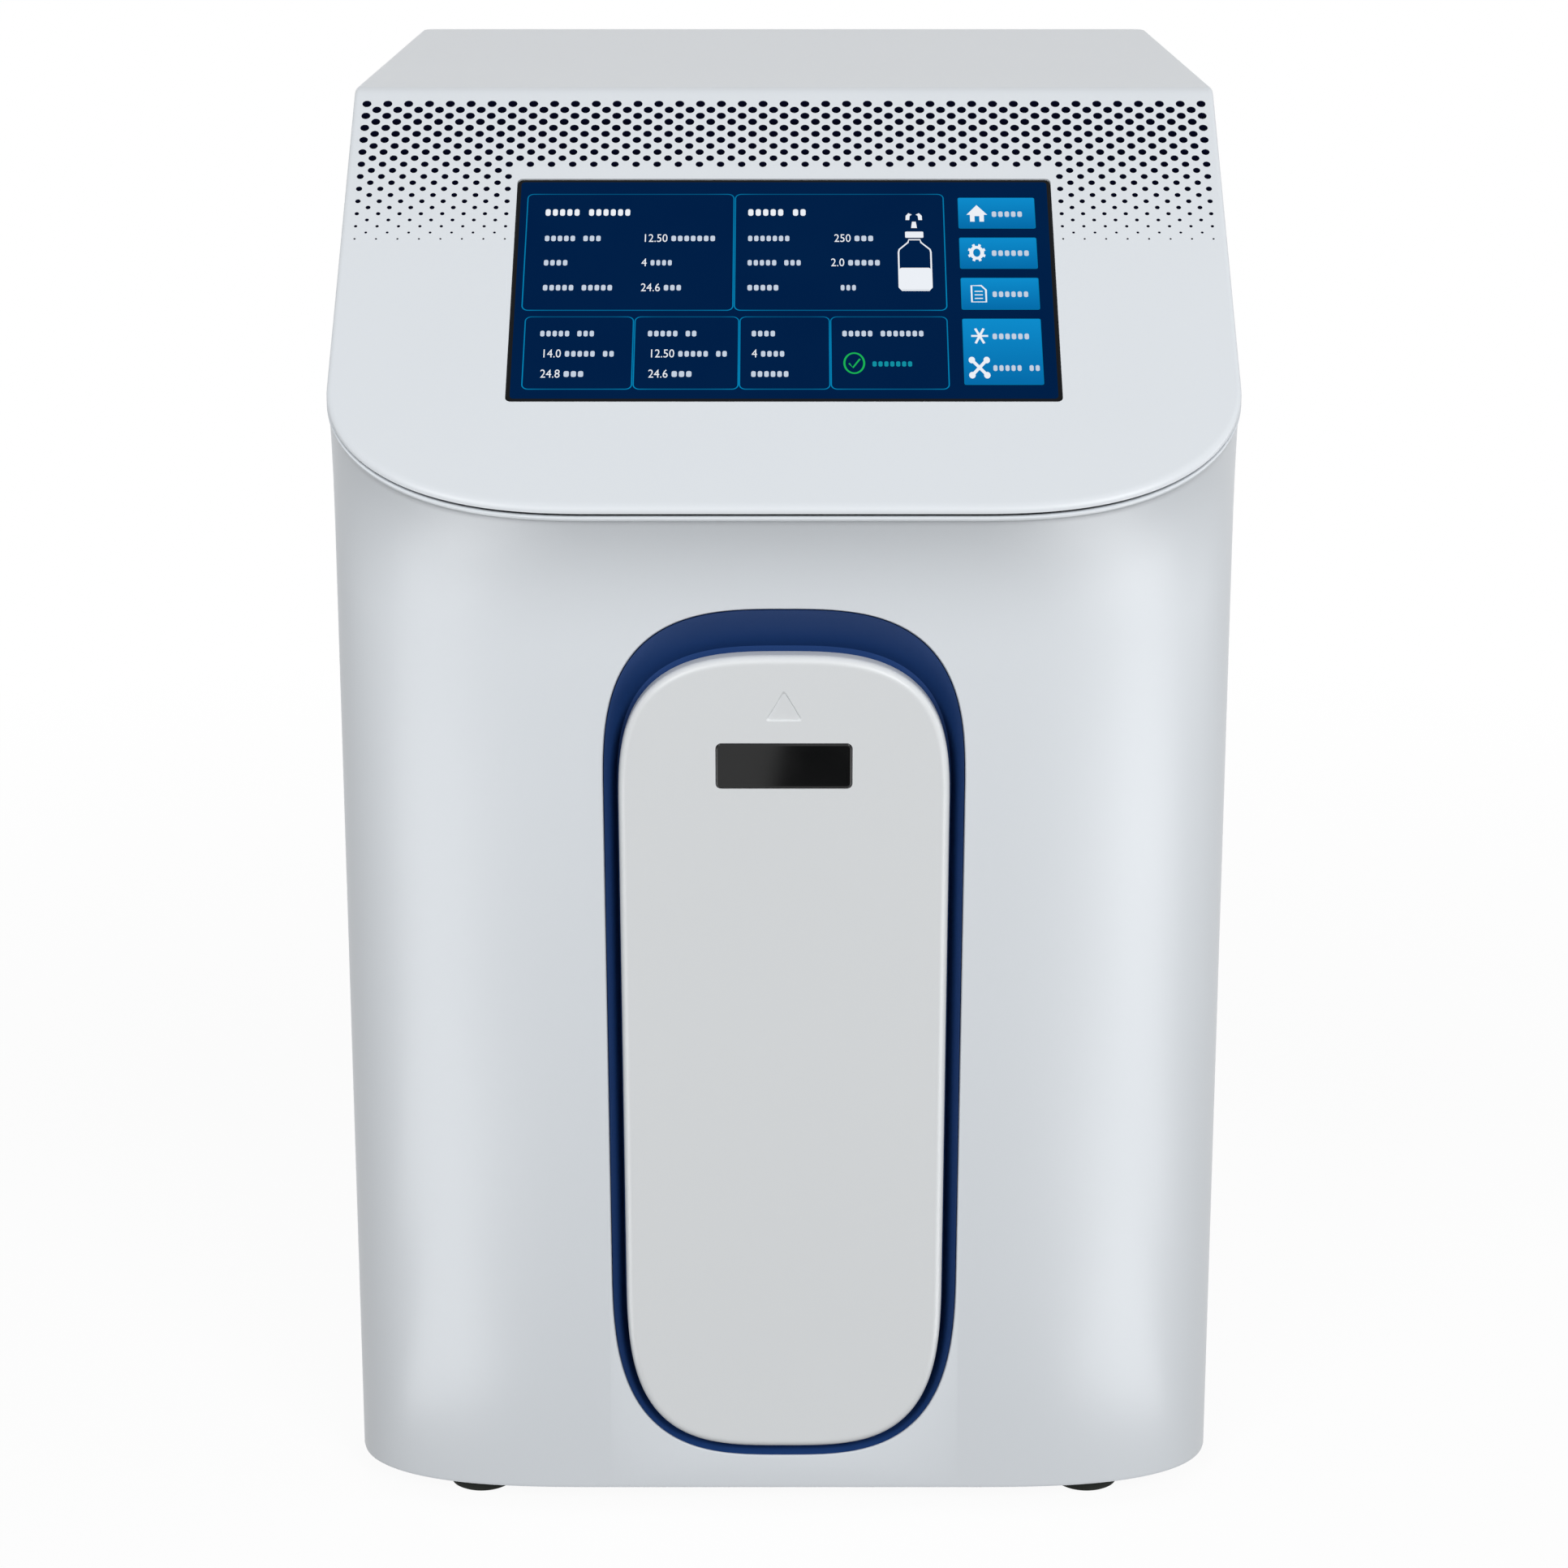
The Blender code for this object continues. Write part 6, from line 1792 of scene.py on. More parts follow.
    def sign(self, centre: Flat, outline: Sequence[Flat], width: float = 0.0, closed: bool = True) -> None:
        """Part of a white sign about its centre, in millimetres: filled, or a line of some width.

        Args:
            centre: the sign's centre, in metres.
            outline: the part's outline.
            width: the line's width in metres, or 0 to fill it.
            closed: whether the line closes.
        """
        placed = [(centre[0] + x * 0.001, centre[1] + t * 0.001 * RISE) for x, t in outline]
        if width:
            self.band("display_white", Layer.SIGN, placed, width, closed=closed)
        else:
            self.area("display_white", Layer.SIGN, placed)

    def finish_pieces(self) -> None:
        """Make one piece of each finish."""
        normal = Vector((0.0, -math.sin(self.form.slope), math.cos(self.form.slope)))
        for look, shape in self.shapes.items():
            shape.normal_update()
            for face in shape.faces:
                if face.normal.dot(normal) < 0:
                    face.normal_flip()
            piece = new_object(look, shape)
            dress(piece, Body.CABINET, (look,), ())


@dataclass
class Screen:
    """The display: its glass with a black border, and the lit drawing on it."""

    form: CabinetForm = field(default_factory=CabinetForm)
    half_width: float = 0.1002
    start: float = 0.0498
    end: float = 0.1619
    sink: float = 0.0002
    thickness: float = 0.0018
    corner: float = 0.002
    border: float = 0.0013
    line_width: float = 0.00042

    def glass(self) -> None:
        """The glass, with its edges eased."""
        shape = bmesh.new()
        outline = round_rectangle(self.half_width, self.start, self.end, self.corner)
        edge = 0.0003
        loops = [
            [self.form.panel_point(x, t, self.sink + drop) for x, t in inset(outline, tuck)]
            for tuck, drop in (
                (edge + 0.0003, 0.0), (edge, 0.0), (edge * 0.3, edge * 0.3), (0.0, edge),
                (0.0, self.thickness)
            )
        ]
        fill_loops(shape, loops)
        made = shade(new_object("display_cover", tidy_normals(shape)))
        dress(made, Body.CABINET, ("screen_glass",), ("display_glass",))

    def frame(self, drawing: DisplayDrawing, left: float, right: float, top: float, low: float) -> None:
        """A round-cornered frame line that is brighter along its sides and its foot.

        Args:
            drawing: the drawing to add to.
            left: its left side.
            right: its right side.
            top: its upper side, along the panel.
            low: its lower side.
        """
        centre = (left + right) / 2
        outline = round_rectangle((right - left) / 2, top, low, 0.0022, 6, centre)
        dense = []
        for i, (x, t) in enumerate(outline):
            after_x, after_t = outline[(i + 1) % len(outline)]
            steps = max(1, int(math.hypot(after_x - x, after_t - t) / 0.004))
            dense += [(x + (after_x - x) * j / steps, t + (after_t - t) * j / steps) for j in range(steps)]

        def tone(x: float, t: float) -> float:
            """Brightness of the frame: more towards its sides and its foot.

            Args:
                x: place across.
                t: place down the panel.

            Returns:
                The tone, 0 to 1.
            """
            across = abs(x - centre) / (right - left) * 2
            down = (t - top) / (low - top)
            return min(1.0, 0.30 + 0.5 * across**6 + 0.22 * down)

        drawing.band("display_line", Layer.LINE, dense, self.line_width, tone)

    def panels(self, drawing: DisplayDrawing) -> None:
        """Frames, words and figures of the six reading panels."""
        for left, right in ((-0.0962, -0.0188), (-0.0182, 0.0598)):
            self.frame(drawing, left, right, 0.0575, 0.1171)
        for left, right in ((-0.0947, -0.0551), (-0.0545, -0.0166), (-0.0161, 0.0166), (0.0171, 0.0597)):
            self.frame(drawing, left, right, 0.1204, 0.1560)
        for row in PHRASES:
            drawing.phrase(row)
        drawing.ring("display_green", (0.0255, 0.1433), 0.0036, 0.00075)
        tick = [(0.0236, 0.1434), (0.0250, 0.1455), (0.0276, 0.1412)]
        drawing.band("display_green", Layer.SIGN, tick, 0.0007, closed=False)

    def bottle(self, drawing: DisplayDrawing) -> None:
        """A bottle half full, with its cap and a spout over it.

        Args:
            drawing: the drawing to add to.
        """
        x = 0.04855
        drawing.area("display_white", Layer.SIGN, round_rectangle(0.0034, 0.0770, 0.0802, 0.0004, 3, x))
        half = [(0.0021, 0.0812), (0.0024, 0.0826), (0.0057, 0.0862), (0.0060, 0.0876), (0.0060, 0.1056),
            (0.0050, 0.1071)]
        outline = [(x - across, t) for across, t in half] + [(x + across, t) for across, t in reversed(half)]
        drawing.band("display_white", Layer.SIGN, outline, 0.0006)
        drawing.area("display_white", Layer.LINE, round_rectangle(0.0057, 0.0956, 0.1067, 0.0008, 4, x))
        for side in (-1, 1):
            arch = [(-3.1, 2.4), (-3.0, 0.2), (-2.0, -1.2), (-0.7, -0.4), (-1.5, 0.2), (-1.7, 2.4)]
            drawing.sign((x, 0.0686), [(across * side, t * 0.73) for across, t in arch])
        drawing.sign((x, 0.0735), [(-0.7, -1.2), (0.7, -1.2), (1.1, 1.2), (-1.1, 1.2)])

    def gear(self, drawing: DisplayDrawing, centre: Flat, radius: float) -> None:
        """A gear wheel sign, its radius in millimetres."""
        drawing.ring("display_white", centre, radius * 0.00062, radius * 0.00042)
        for i in range(8):
            a = math.tau * (i + 0.5) / 8
            corners = ((0.7, 0.22), (1.02, 0.15), (1.02, -0.15), (0.7, -0.22))
            drawing.sign(centre, [
                (
                    radius * reach * math.cos(a + spread), radius * reach * math.sin(a + spread)
                ) for reach, spread in corners
            ])

    def buttons(self, drawing: DisplayDrawing) -> None:
        """The column of touch keys with their signs.

        Args:
            drawing: the drawing to add to.
        """
        left, right = 0.0653, 0.0939

        def tone(x: float, t: float) -> float:
            """Brightness of a button: more towards its foot.

            Args:
                x: place across, not used.
                t: place down the panel.

            Returns:
                The tone, 0 to 1.
            """
            return min(1.0, max(0.0, (t - top) / (low - top) * 0.6))

        for top, low in ((0.0594, 0.0753), (0.0802, 0.0960), (0.1008, 0.1167), (0.1214, 0.1538)):
            outline = round_rectangle((right - left) / 2, top, low, 0.0006, 3, (left + right) / 2)
            drawing.area("display_button", Layer.BUTTON, outline, tone)
            drawing.band("display_line", Layer.LINE, outline, 0.00022, lambda x, t: 0.85)
        half = [(3.9, 0.4), (2.6, 0.4), (2.6, 3.0), (0.9, 3.0), (0.9, 0.9)]
        house = [(0.0, -3.3), *half, *[(-x, t) for x, t in reversed(half)]]
        drawing.sign((0.0722, 0.0677), house)
        self.gear(drawing, (0.0716, 0.0879), 3.3)
        sheet = (0.0717, 0.1088)
        drawing.sign(sheet, [(-2.6, -3.0), (1.0, -3.0), (2.7, -1.4), (2.7, 3.0), (-2.6, 3.0)], 0.0007)
        for i in range(3):
            drawing.sign(sheet, [(-1.5, 1.3 * i - 0.9), (1.5, 1.3 * i - 0.9)], 0.0005, closed=False)
        for arm in range(6):
            a = math.tau * arm / 6
            reach = (3.1 * math.cos(a), 3.1 * math.sin(a))
            drawing.sign((0.0714, 0.1299), [(0.0, 0.0), reach], 0.0009, closed=False)
        tools = (0.0709, 0.1455)
        for side in (-1, 1):
            drawing.sign(tools, [(-2.7 * side, -2.7), (2.7 * side, 2.7)], 0.0013, closed=False)
            for end in (-1, 1):
                knob = [math.tau * i / 12 for i in range(12)]
                drawing.sign(tools,
                    [(2.7 * side * end + 1.2 * math.cos(a), 2.7 * end + 1.2 * math.sin(a)) for a in knob])

    def build(self) -> None:
        """Build and dress the display."""
        self.glass()
        drawing = DisplayDrawing(self.form, self.sink)
        edge = self.border
        field_outline = round_rectangle(
            self.half_width - edge, self.start + edge, self.end - edge, self.corner * 0.7
        )
        drawing.area("display_back", Layer.BACK, field_outline, lambda x, t: 0.5)
        self.panels(drawing)
        self.bottle(drawing)
        self.buttons(drawing)
        drawing.finish_pieces()


@dataclass
class Feet:
    """Four turned rubber feet with a grooved side."""

    names: tuple[str, ...] = ("foot_front_left", "foot_front_right", "foot_rear_left", "foot_rear_right")
    radius: float = 0.0125

    def build(self) -> None:
        """Build and dress the feet."""
        for name in self.names:
            low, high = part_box(name)
            top = high.z
            place = ((low.x + high.x) / 2, (low.y + high.y) / 2, 0.0)
            r = self.radius
            profile = [
                (0, top), (r - 0.0004, top), (r, top - 0.0004), (r, 0.0052), (r - 0.0005, 0.0048),
                (r - 0.0005, 0.0042),
                (r, 0.0038), (r, 0.0016), (r - 0.0004, 0.0006), (r - 0.0014, 0.0), (r - 0.0045, 0.0),
                (r - 0.0048, 0.0004), (r - 0.0056, 0.0004), (r - 0.0059, 0.0), (0.0042, 0.0), (0.004, 0.0003),
                (0.004, 0.003), (0, 0.003),
            ]
            made = shade(new_object(name.replace("foot", "foot_pad"), lathe(profile, place, Axis.Z, 64)))
            dress(made, Body.CABINET, ("foot_rubber",), (name,))


@dataclass
class RearPanel:
    """The sunk rear panel and its screws."""

    face_y: float = 0.207
    screw_x: float = 0.120
    screw_rows: Flat = (0.048, 0.432)
    screw_radius: float = 0.0035
    screw_height: float = 0.0022

    def screw(self, name: str, radius: float, height: float, shank: float = 0.0) -> Any:
        """A round-headed screw at the origin with a six-sided socket, its head towards +Y.

        Args:
            name: its name.
            radius: its head's radius.
            height: its head's height.
            shank: its shank's length, or 0 for none.

        Returns:
            The screw.
        """
        steps = 24
        shape = bmesh.new()

        def loop(reach: float, along: float, six: bool = False) -> list[Point]:
            """One loop round the axis.

            Args:
                reach: its radius, or that of its corners where it has six sides.
                along: its place along the axis.
                six: six sides instead of round.

            Returns:
                Its points.
            """
            points = []
            for i in range(steps):
                angle = math.tau * i / steps
                ray = reach
                if six:
                    off = (angle % (math.pi / 3)) - math.pi / 6
                    ray = reach * math.cos(math.pi / 6) / math.cos(off)
                points.append(turn_point(Axis.Y, ray, along, angle))
            return points

        loops = [loop(1e-7, -shank)] if shank else [loop(1e-7, 0.0)]
        if shank:
            loops += [loop(radius * 0.5, -shank), loop(radius * 0.5, 0.0)]
        loops += [
            loop(radius, 0.0), loop(radius * 1.0, height * 0.18), loop(radius * 0.93, height * 0.55),
            loop(radius * 0.76, height * 0.86), loop(radius * 0.58, height), loop(radius * 0.5, height, True),
            loop(radius * 0.46, height * 0.93, True), loop(radius * 0.44, height * 0.35, True),
            loop(1e-7, height * 0.25),
        ]
        fill_loops(shape, loops, caps=False)
        return shade(new_object(name, tidy_normals(shape)), 34.0)

    def screws(
        self, name: str, places: Sequence[Flat], y: float, size: Flat, replaced: Sequence[str] = ()
    ) -> None:
        """Screws at (x, z) places, set by a tree from a list of points.

        Args:
            name: the piece's name.
            places: the places, each mirrored set of two corners.
            y: where their heads sit.
            size: head radius and height.
            replaced: CAD nodes that they stand for.
        """
        low_x, high_x = min(p[0] for p in places), max(p[0] for p in places)
        low_z, high_z = min(p[1] for p in places), max(p[1] for p in places)
        pattern = Pattern(
            f"{name}_set",
            {
                "Low Corner": ("NodeSocketVector", (low_x, y, low_z)),
                "High Corner": ("NodeSocketVector", (high_x, y, high_z)),
                "Columns": ("NodeSocketInt", 2 if high_x > low_x else 1),
                "Rows": ("NodeSocketInt", 2 if high_z > low_z else 1),
                "Finish": ("NodeSocketMaterial", finish("nickel")),
            },
        )
        tree, value = pattern.tree, pattern.value
        index = tree.add("GeometryNodeInputIndex").outputs[0]
        row = tree.math("FLOOR", tree.math("DIVIDE", tree.math("ADD", index, 0.5), value("Columns")))
        column = tree.math("SUBTRACT", index, tree.math("MULTIPLY", row, value("Columns")))
        span = tree.add(
            "ShaderNodeVectorMath", {0: value("High Corner"), 1: value("Low Corner")}, operation="SUBTRACT"
        )
        share = tree.add("ShaderNodeCombineXYZ", {"X": column, "Z": row})
        offset = tree.add(
            "ShaderNodeVectorMath", {0: span.outputs[0], 1: share.outputs[0]}, operation="MULTIPLY"
        )
        place = tree.add(
            "ShaderNodeVectorMath", {0: offset.outputs[0], 1: value("Low Corner")}, operation="ADD"
        )
        count = tree.math("MULTIPLY", value("Columns"), value("Rows"))
        points = tree.add("GeometryNodePoints", {"Count": count, "Position": place.outputs[0]})
        copies = tree.add(
            "GeometryNodeInstanceOnPoints", {"Points": points.outputs[0], "Instance": value("Geometry")}
        )
        pattern.end(copies.outputs[0], value("Finish"))
        shank = 0.008 if replaced else 0.0
        made = pattern.run(self.screw(name, size[0], size[1], shank))
        dress(made, Body.CABINET, (), replaced)

    def build(self) -> None:
        """Build and dress the rear panel."""
        eased("rear_panel", "powder_coat", 0.0005)
        corners = [(x, z) for x in (-self.screw_x, self.screw_x) for z in self.screw_rows]
        names = [f"panel_screw_{row}_{side}" for row in ("lower", "upper") for side in ("left", "right")]
        self.screws("panel_screws", corners, self.face_y + GAP, (self.screw_radius, self.screw_height), names)


@dataclass
class Fan:
    """The rear fan: frame, bladed rotor and wire guard."""

    x: float = 0.062
    z: float = 0.372
    guard_y: float = 0.2084
    wire: float = 0.0011
    ring_radius: float = 0.04625
    ring_spacing: float = 0.0095
    rings: int = 4
    spokes: int = 4
    hub_radius: float = 0.0175
    hub_depth: float = 0.016
    blades: int = 7
    blade_tip: float = 0.0415

    def rotor(self) -> None:
        """Hub and blades, the blades set round it by a tree."""
        low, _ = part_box("fan_rotor")
        start = low.y
        r, d = self.hub_radius, self.hub_depth
        profile = [
            (0, 0), (r - 0.001, 0), (r, 0.001), (r, d - 0.002), (r - 0.0006, d - 0.0006), (r - 0.002, d),
            (0.006, d), (0.0055, d - 0.0006), (0, d - 0.0006),
        ]
        hub = clad("rotor_hub", lathe(profile, (self.x, start, self.z), Axis.Y, 56), "dark_plastic")
        blade = bmesh.new()
        sections, half = 9, 7
        loops = []
        for i in range(sections):
            share = i / (sections - 1)
            radius = self.hub_radius - 0.0015 + (self.blade_tip - self.hub_radius + 0.0015) * share
            chord = 0.0165 + 0.006 * share
            pitch = math.radians(44 - 14 * share)
            sweep = 0.22 * share**1.5
            thick = 0.0011 - 0.0003 * share
            loop = []
            line = [-1 + 2 * j / half for j in range(half + 1)]
            path = [(u, 1.0) for u in line] + [(u, -1.0) for u in reversed(line[1:-1])]
            for u, side in path:
                camber = 0.0016 * (1 - u * u)
                body = thick * side * max(0.0, 1 - u**4)
                across, up = u * chord / 2, camber + body
                tangent = across * math.cos(pitch) - up * math.sin(pitch)
                axial = across * math.sin(pitch) + up * math.cos(pitch)
                angle = tangent / radius + sweep
                loop.append((
                    self.x + radius * math.cos(angle), start + d / 2 + axial,
                    self.z + radius * math.sin(angle)
                ))
            loops.append(loop)
        fill_loops(blade, loops)
        made = new_object("rotor_blades", tidy_normals(blade))
        centre = (self.x, start, self.z)
        pattern = ring_pattern("rotor_blades", self.blades, "dark_plastic", Axis.Y, centre)
        blades = shade(pattern.run(made), 50.0)
        dress(merge("rotor_wheel", [hub, blades]), Body.ROTOR, (), ("fan_rotor",))

    def guard(self) -> None:
        """Rings and spokes of round wire, made by a tree."""
        pattern = Pattern(
            "guard_wires",
            {
                "Rings": ("NodeSocketInt", self.rings), "Outer Radius": ("NodeSocketFloat", self.ring_radius),
                "Spacing": ("NodeSocketFloat", self.ring_spacing),
                "Wire Radius": ("NodeSocketFloat", self.wire),
                "Spokes": ("NodeSocketInt", self.spokes),
                "Centre": ("NodeSocketVector", (self.x, self.guard_y, self.z)),
                "Finish": ("NodeSocketMaterial", finish("nickel")),
            },
        )
        tree, value = pattern.tree, pattern.value
        index = tree.add("GeometryNodeInputIndex").outputs[0]
        radius = tree.math("SUBTRACT", value("Outer Radius"), tree.math("MULTIPLY", index, value("Spacing")))
        centres = tree.add("GeometryNodePoints", {"Count": value("Rings"), "Position": value("Centre")})
        size = tree.add("ShaderNodeCombineXYZ", {"X": radius, "Y": radius, "Z": radius})
        upright = tree.add("ShaderNodeCombineXYZ", {"X": math.pi / 2})
        circle = tree.add(
            "GeometryNodeCurvePrimitiveCircle", {"Resolution": 72, "Radius": 1.0}, mode="RADIUS"
        )
        rings = tree.add(
            "GeometryNodeInstanceOnPoints",
            {
                "Points": centres.outputs[0], "Instance": circle.outputs["Curve"],
                "Rotation": upright.outputs[0],
                "Scale": size.outputs[0],
            },
        )
        whole_rings = tree.add("GeometryNodeRealizeInstances", {"Geometry": rings.outputs[0]})
        inner = tree.math("SUBTRACT", value("Rings"), 1.0)
        start = tree.math("SUBTRACT", value("Outer Radius"), tree.math("MULTIPLY", inner, value("Spacing")))
        line = tree.add("GeometryNodeCurvePrimitiveLine")
        tree.link(tree.add("ShaderNodeCombineXYZ", {"X": start}).outputs[0], line.inputs["Start"])
        tree.link(
            tree.add("ShaderNodeCombineXYZ", {"X": value("Outer Radius")}).outputs[0], line.inputs["End"]
        )
        hubs = tree.add("GeometryNodePoints", {"Count": value("Spokes"), "Position": value("Centre")})
        share = tree.math("DIVIDE", tree.math("ADD", index, 0.5), value("Spokes"))
        turn = tree.add(
            "FunctionNodeAxisAngleToRotation",
            {"Axis": (0.0, 1.0, 0.0), "Angle": tree.math("MULTIPLY", share, math.tau)}
        )
        spokes = tree.add(
            "GeometryNodeInstanceOnPoints",
            {"Points": hubs.outputs[0], "Instance": line.outputs[0], "Rotation": turn.outputs[0]},
        )
        whole_spokes = tree.add("GeometryNodeRealizeInstances", {"Geometry": spokes.outputs[0]})
        both = tree.add("GeometryNodeJoinGeometry")
        tree.link(whole_rings.outputs[0], both.inputs[0])
        tree.link(whole_spokes.outputs[0], both.inputs[0])
        wire = tree.add(
            "GeometryNodeCurvePrimitiveCircle", {"Resolution": 10, "Radius": value("Wire Radius")},
            mode="RADIUS"
        )
        drawn = tree.add(
            "GeometryNodeCurveToMesh", {"Curve": both.outputs[0], "Profile Curve": wire.outputs["Curve"]}
        )
        drawn.inputs["Fill Caps"].default_value = True
        pattern.end(drawn.outputs[0], value("Finish"))
        made = pattern.run(empty_piece("guard_wirework"))
        dress(shade(made, 50.0), Body.CABINET, (), ("fan_guard",))

    def build(self) -> None:
        """Build and dress the fan."""
        eased("fan_frame", "dark_plastic", 0.0004)
        self.rotor()
        self.guard()


@dataclass
class Ports:
    """The four push-fit hose ports, each with a ribbed collar and a coloured collet."""

    names: tuple[str, ...] = ("port_feed_water", "port_drain", "port_storage_tank", "port_product_water")
    collets: tuple[str, ...] = ("collet_blue", "collet_grey", "cap_white", "collet_blue")
    first_x: float = -0.030
    spacing: float = 0.040
    z: float = 0.082
    face_y: float = 0.2073
    ribs: int = 24

    def build(self) -> None:
        """Build and dress the ports."""
        for i, (name, collet) in enumerate(zip(self.names, self.collets)):
            place = (self.first_x + self.spacing * i, self.face_y, self.z)
            body = [
                (0, 0.005), (0.0032, 0.005), (0.0032, 0.0158), (0.0060, 0.0158), (0.0066, 0.0166),
                (0.0074, 0.0170),
                (0.0080, 0.0164), (0.0080, 0.0080), (0.0076, 0.0074), (0.0076, 0.0058), (0.0082, 0.0052),
                (0.0086, 0.0050), (0.0090, 0.0046), (0.0090, 0.0006), (0.0084, 0.0), (0.0060, 0.0),
                (0.0060, -0.0170), (0.0054, -0.0180), (0, -0.0180),
            ]
            parts = [clad(f"{name}_body", lathe(body, place, Axis.Y, 48), "grey_plastic")]
            ring = [
                (0.0032, 0.0145), (0.0032, 0.0190), (0.0037, 0.0195), (0.0050, 0.0195), (0.0055, 0.0190),
                (0.0055, 0.0182), (0.0046, 0.0176), (0.0046, 0.0145), (0.0032, 0.0145),
            ]
            parts.append(clad(f"{name}_collet", lathe(ring, place, Axis.Y, 40), collet))
            rib = block((0.0086, 0.0010, -0.0005), (0.0095, 0.0042, 0.0005))
            bmesh.ops.translate(rib, verts=rib.verts, vec=place)
            pattern = ring_pattern(f"{name}_grip", self.ribs, "grey_plastic", Axis.Y, place)
            parts.append(pattern.run(bevelled(new_object(f"{name}_grip", rib), 0.0003, 2)))
            dress(merge(f"{name}_fitting", parts), Body.CABINET, (), (name,))


@dataclass
class PowerEntry:
    """The power inlet with its contacts, and the switch with its rocker."""

    x: float = -0.092
    face_y: float = 0.2073
    inlet_z: float = 0.074
    switch_z: float = 0.122
    tilt: float = math.radians(10.0)

    def inlet(self) -> None:
        """The flanged socket and its three contacts."""
        flange = round_rectangle(0.025, -0.0155, 0.0155, 0.003, 6)
        body = draw_out([(x, z) for x, z in flange], 0.0, 0.003, Axis.Y)
        made = bevelled(new_object("inlet_housing", body), 0.0006, 3)
        rear = new_object("inlet_body", block((-0.0155, -0.020, -0.0115), (0.0155, 0.0015, 0.0115)))
        cut(made, [rear], "UNION")
        w, h, chamfer = 0.0123, 0.0085, 0.00425
        outline = [(w, -h), (w, h - chamfer), (w - chamfer, h), (chamfer - w, h), (-w, h - chamfer), (-w, -h)]
        shape = bmesh.new()
        levels = ((0.0010, 0.0060), (0.0007, 0.0031), (0.0, 0.0022), (0.0, -0.0135))
        fill_loops(shape, [[(x, y, z) for x, z in inset(outline, -grow)] for grow, y in levels])
        cut(made, [new_object("inlet_room", tidy_normals(shape))])
        contacts = []
        for i, (x, z) in enumerate(((-0.007, 0.0), (0.007, 0.0), (0.0, 0.0035))):
            pin = bevelled(new_object(f"contact_{i}",
                block((x - 0.001, -0.0140, z - 0.002), (x + 0.001, -0.0005, z + 0.002))), 0.0004, 3)
            contacts.append(pin)
        place = Matrix.Translation((self.x, self.face_y, self.inlet_z))
        made.data.transform(place)
        dress(shade(made), Body.CABINET, ("dark_plastic",), ("power_inlet",))
        pins = merge("inlet_contacts", contacts)
        pins.data.transform(place)
        dress(shade(pins), Body.CABINET, ("nickel",), ())

    def rocker(self) -> None:
        """The rocker with its two generic marks, tipped at rest."""
        h, reach = 0.0110, 0.0078
        profile = []
        for i in range(13):
            u = 1 - i / 6
            profile.append((0.0055 - 0.0018 * (1 - abs(u) ** 1.6), h * u))
        profile += [(-0.0010, -h), (-0.0030, 0.0), (-0.0010, h)]
        body = clad("rocker_key", draw_out(profile, -reach, reach, Axis.X), "bright_black")
        body = bevelled(body, 0.0005, 3, 50.0)
        shade(body, 40.0)
        marks = []
        bar = block((-0.0004, 0.0, 0.0048), (0.0004, 0.00495, 0.0082))
        marks.append(clad("mark_on", bar, "mark_white"))
        ring = [(0.0013, 0.0), (0.0013, 0.00495), (0.0020, 0.00495), (0.0020, 0.0), (0.0013, 0.0)]
        marks.append(clad("mark_off", lathe(ring, (0.0, 0.0, -0.0065), Axis.Y, 32), "mark_white"))
        made = merge("rocker_cap", [body, *marks])
        made.data.transform(
            Matrix.Translation(
                (self.x, self.face_y - 0.0020, self.switch_z)
            ) @ Matrix.Rotation(-self.tilt, 4, "X")
        )
        dress(made, Body.ROCKER, (), ("switch_rocker",))

    def build(self) -> None:
        """Build and dress the inlet and the switch."""
        self.inlet()
        eased("switch_bezel", "dark_plastic", 0.0005)
        self.rocker()


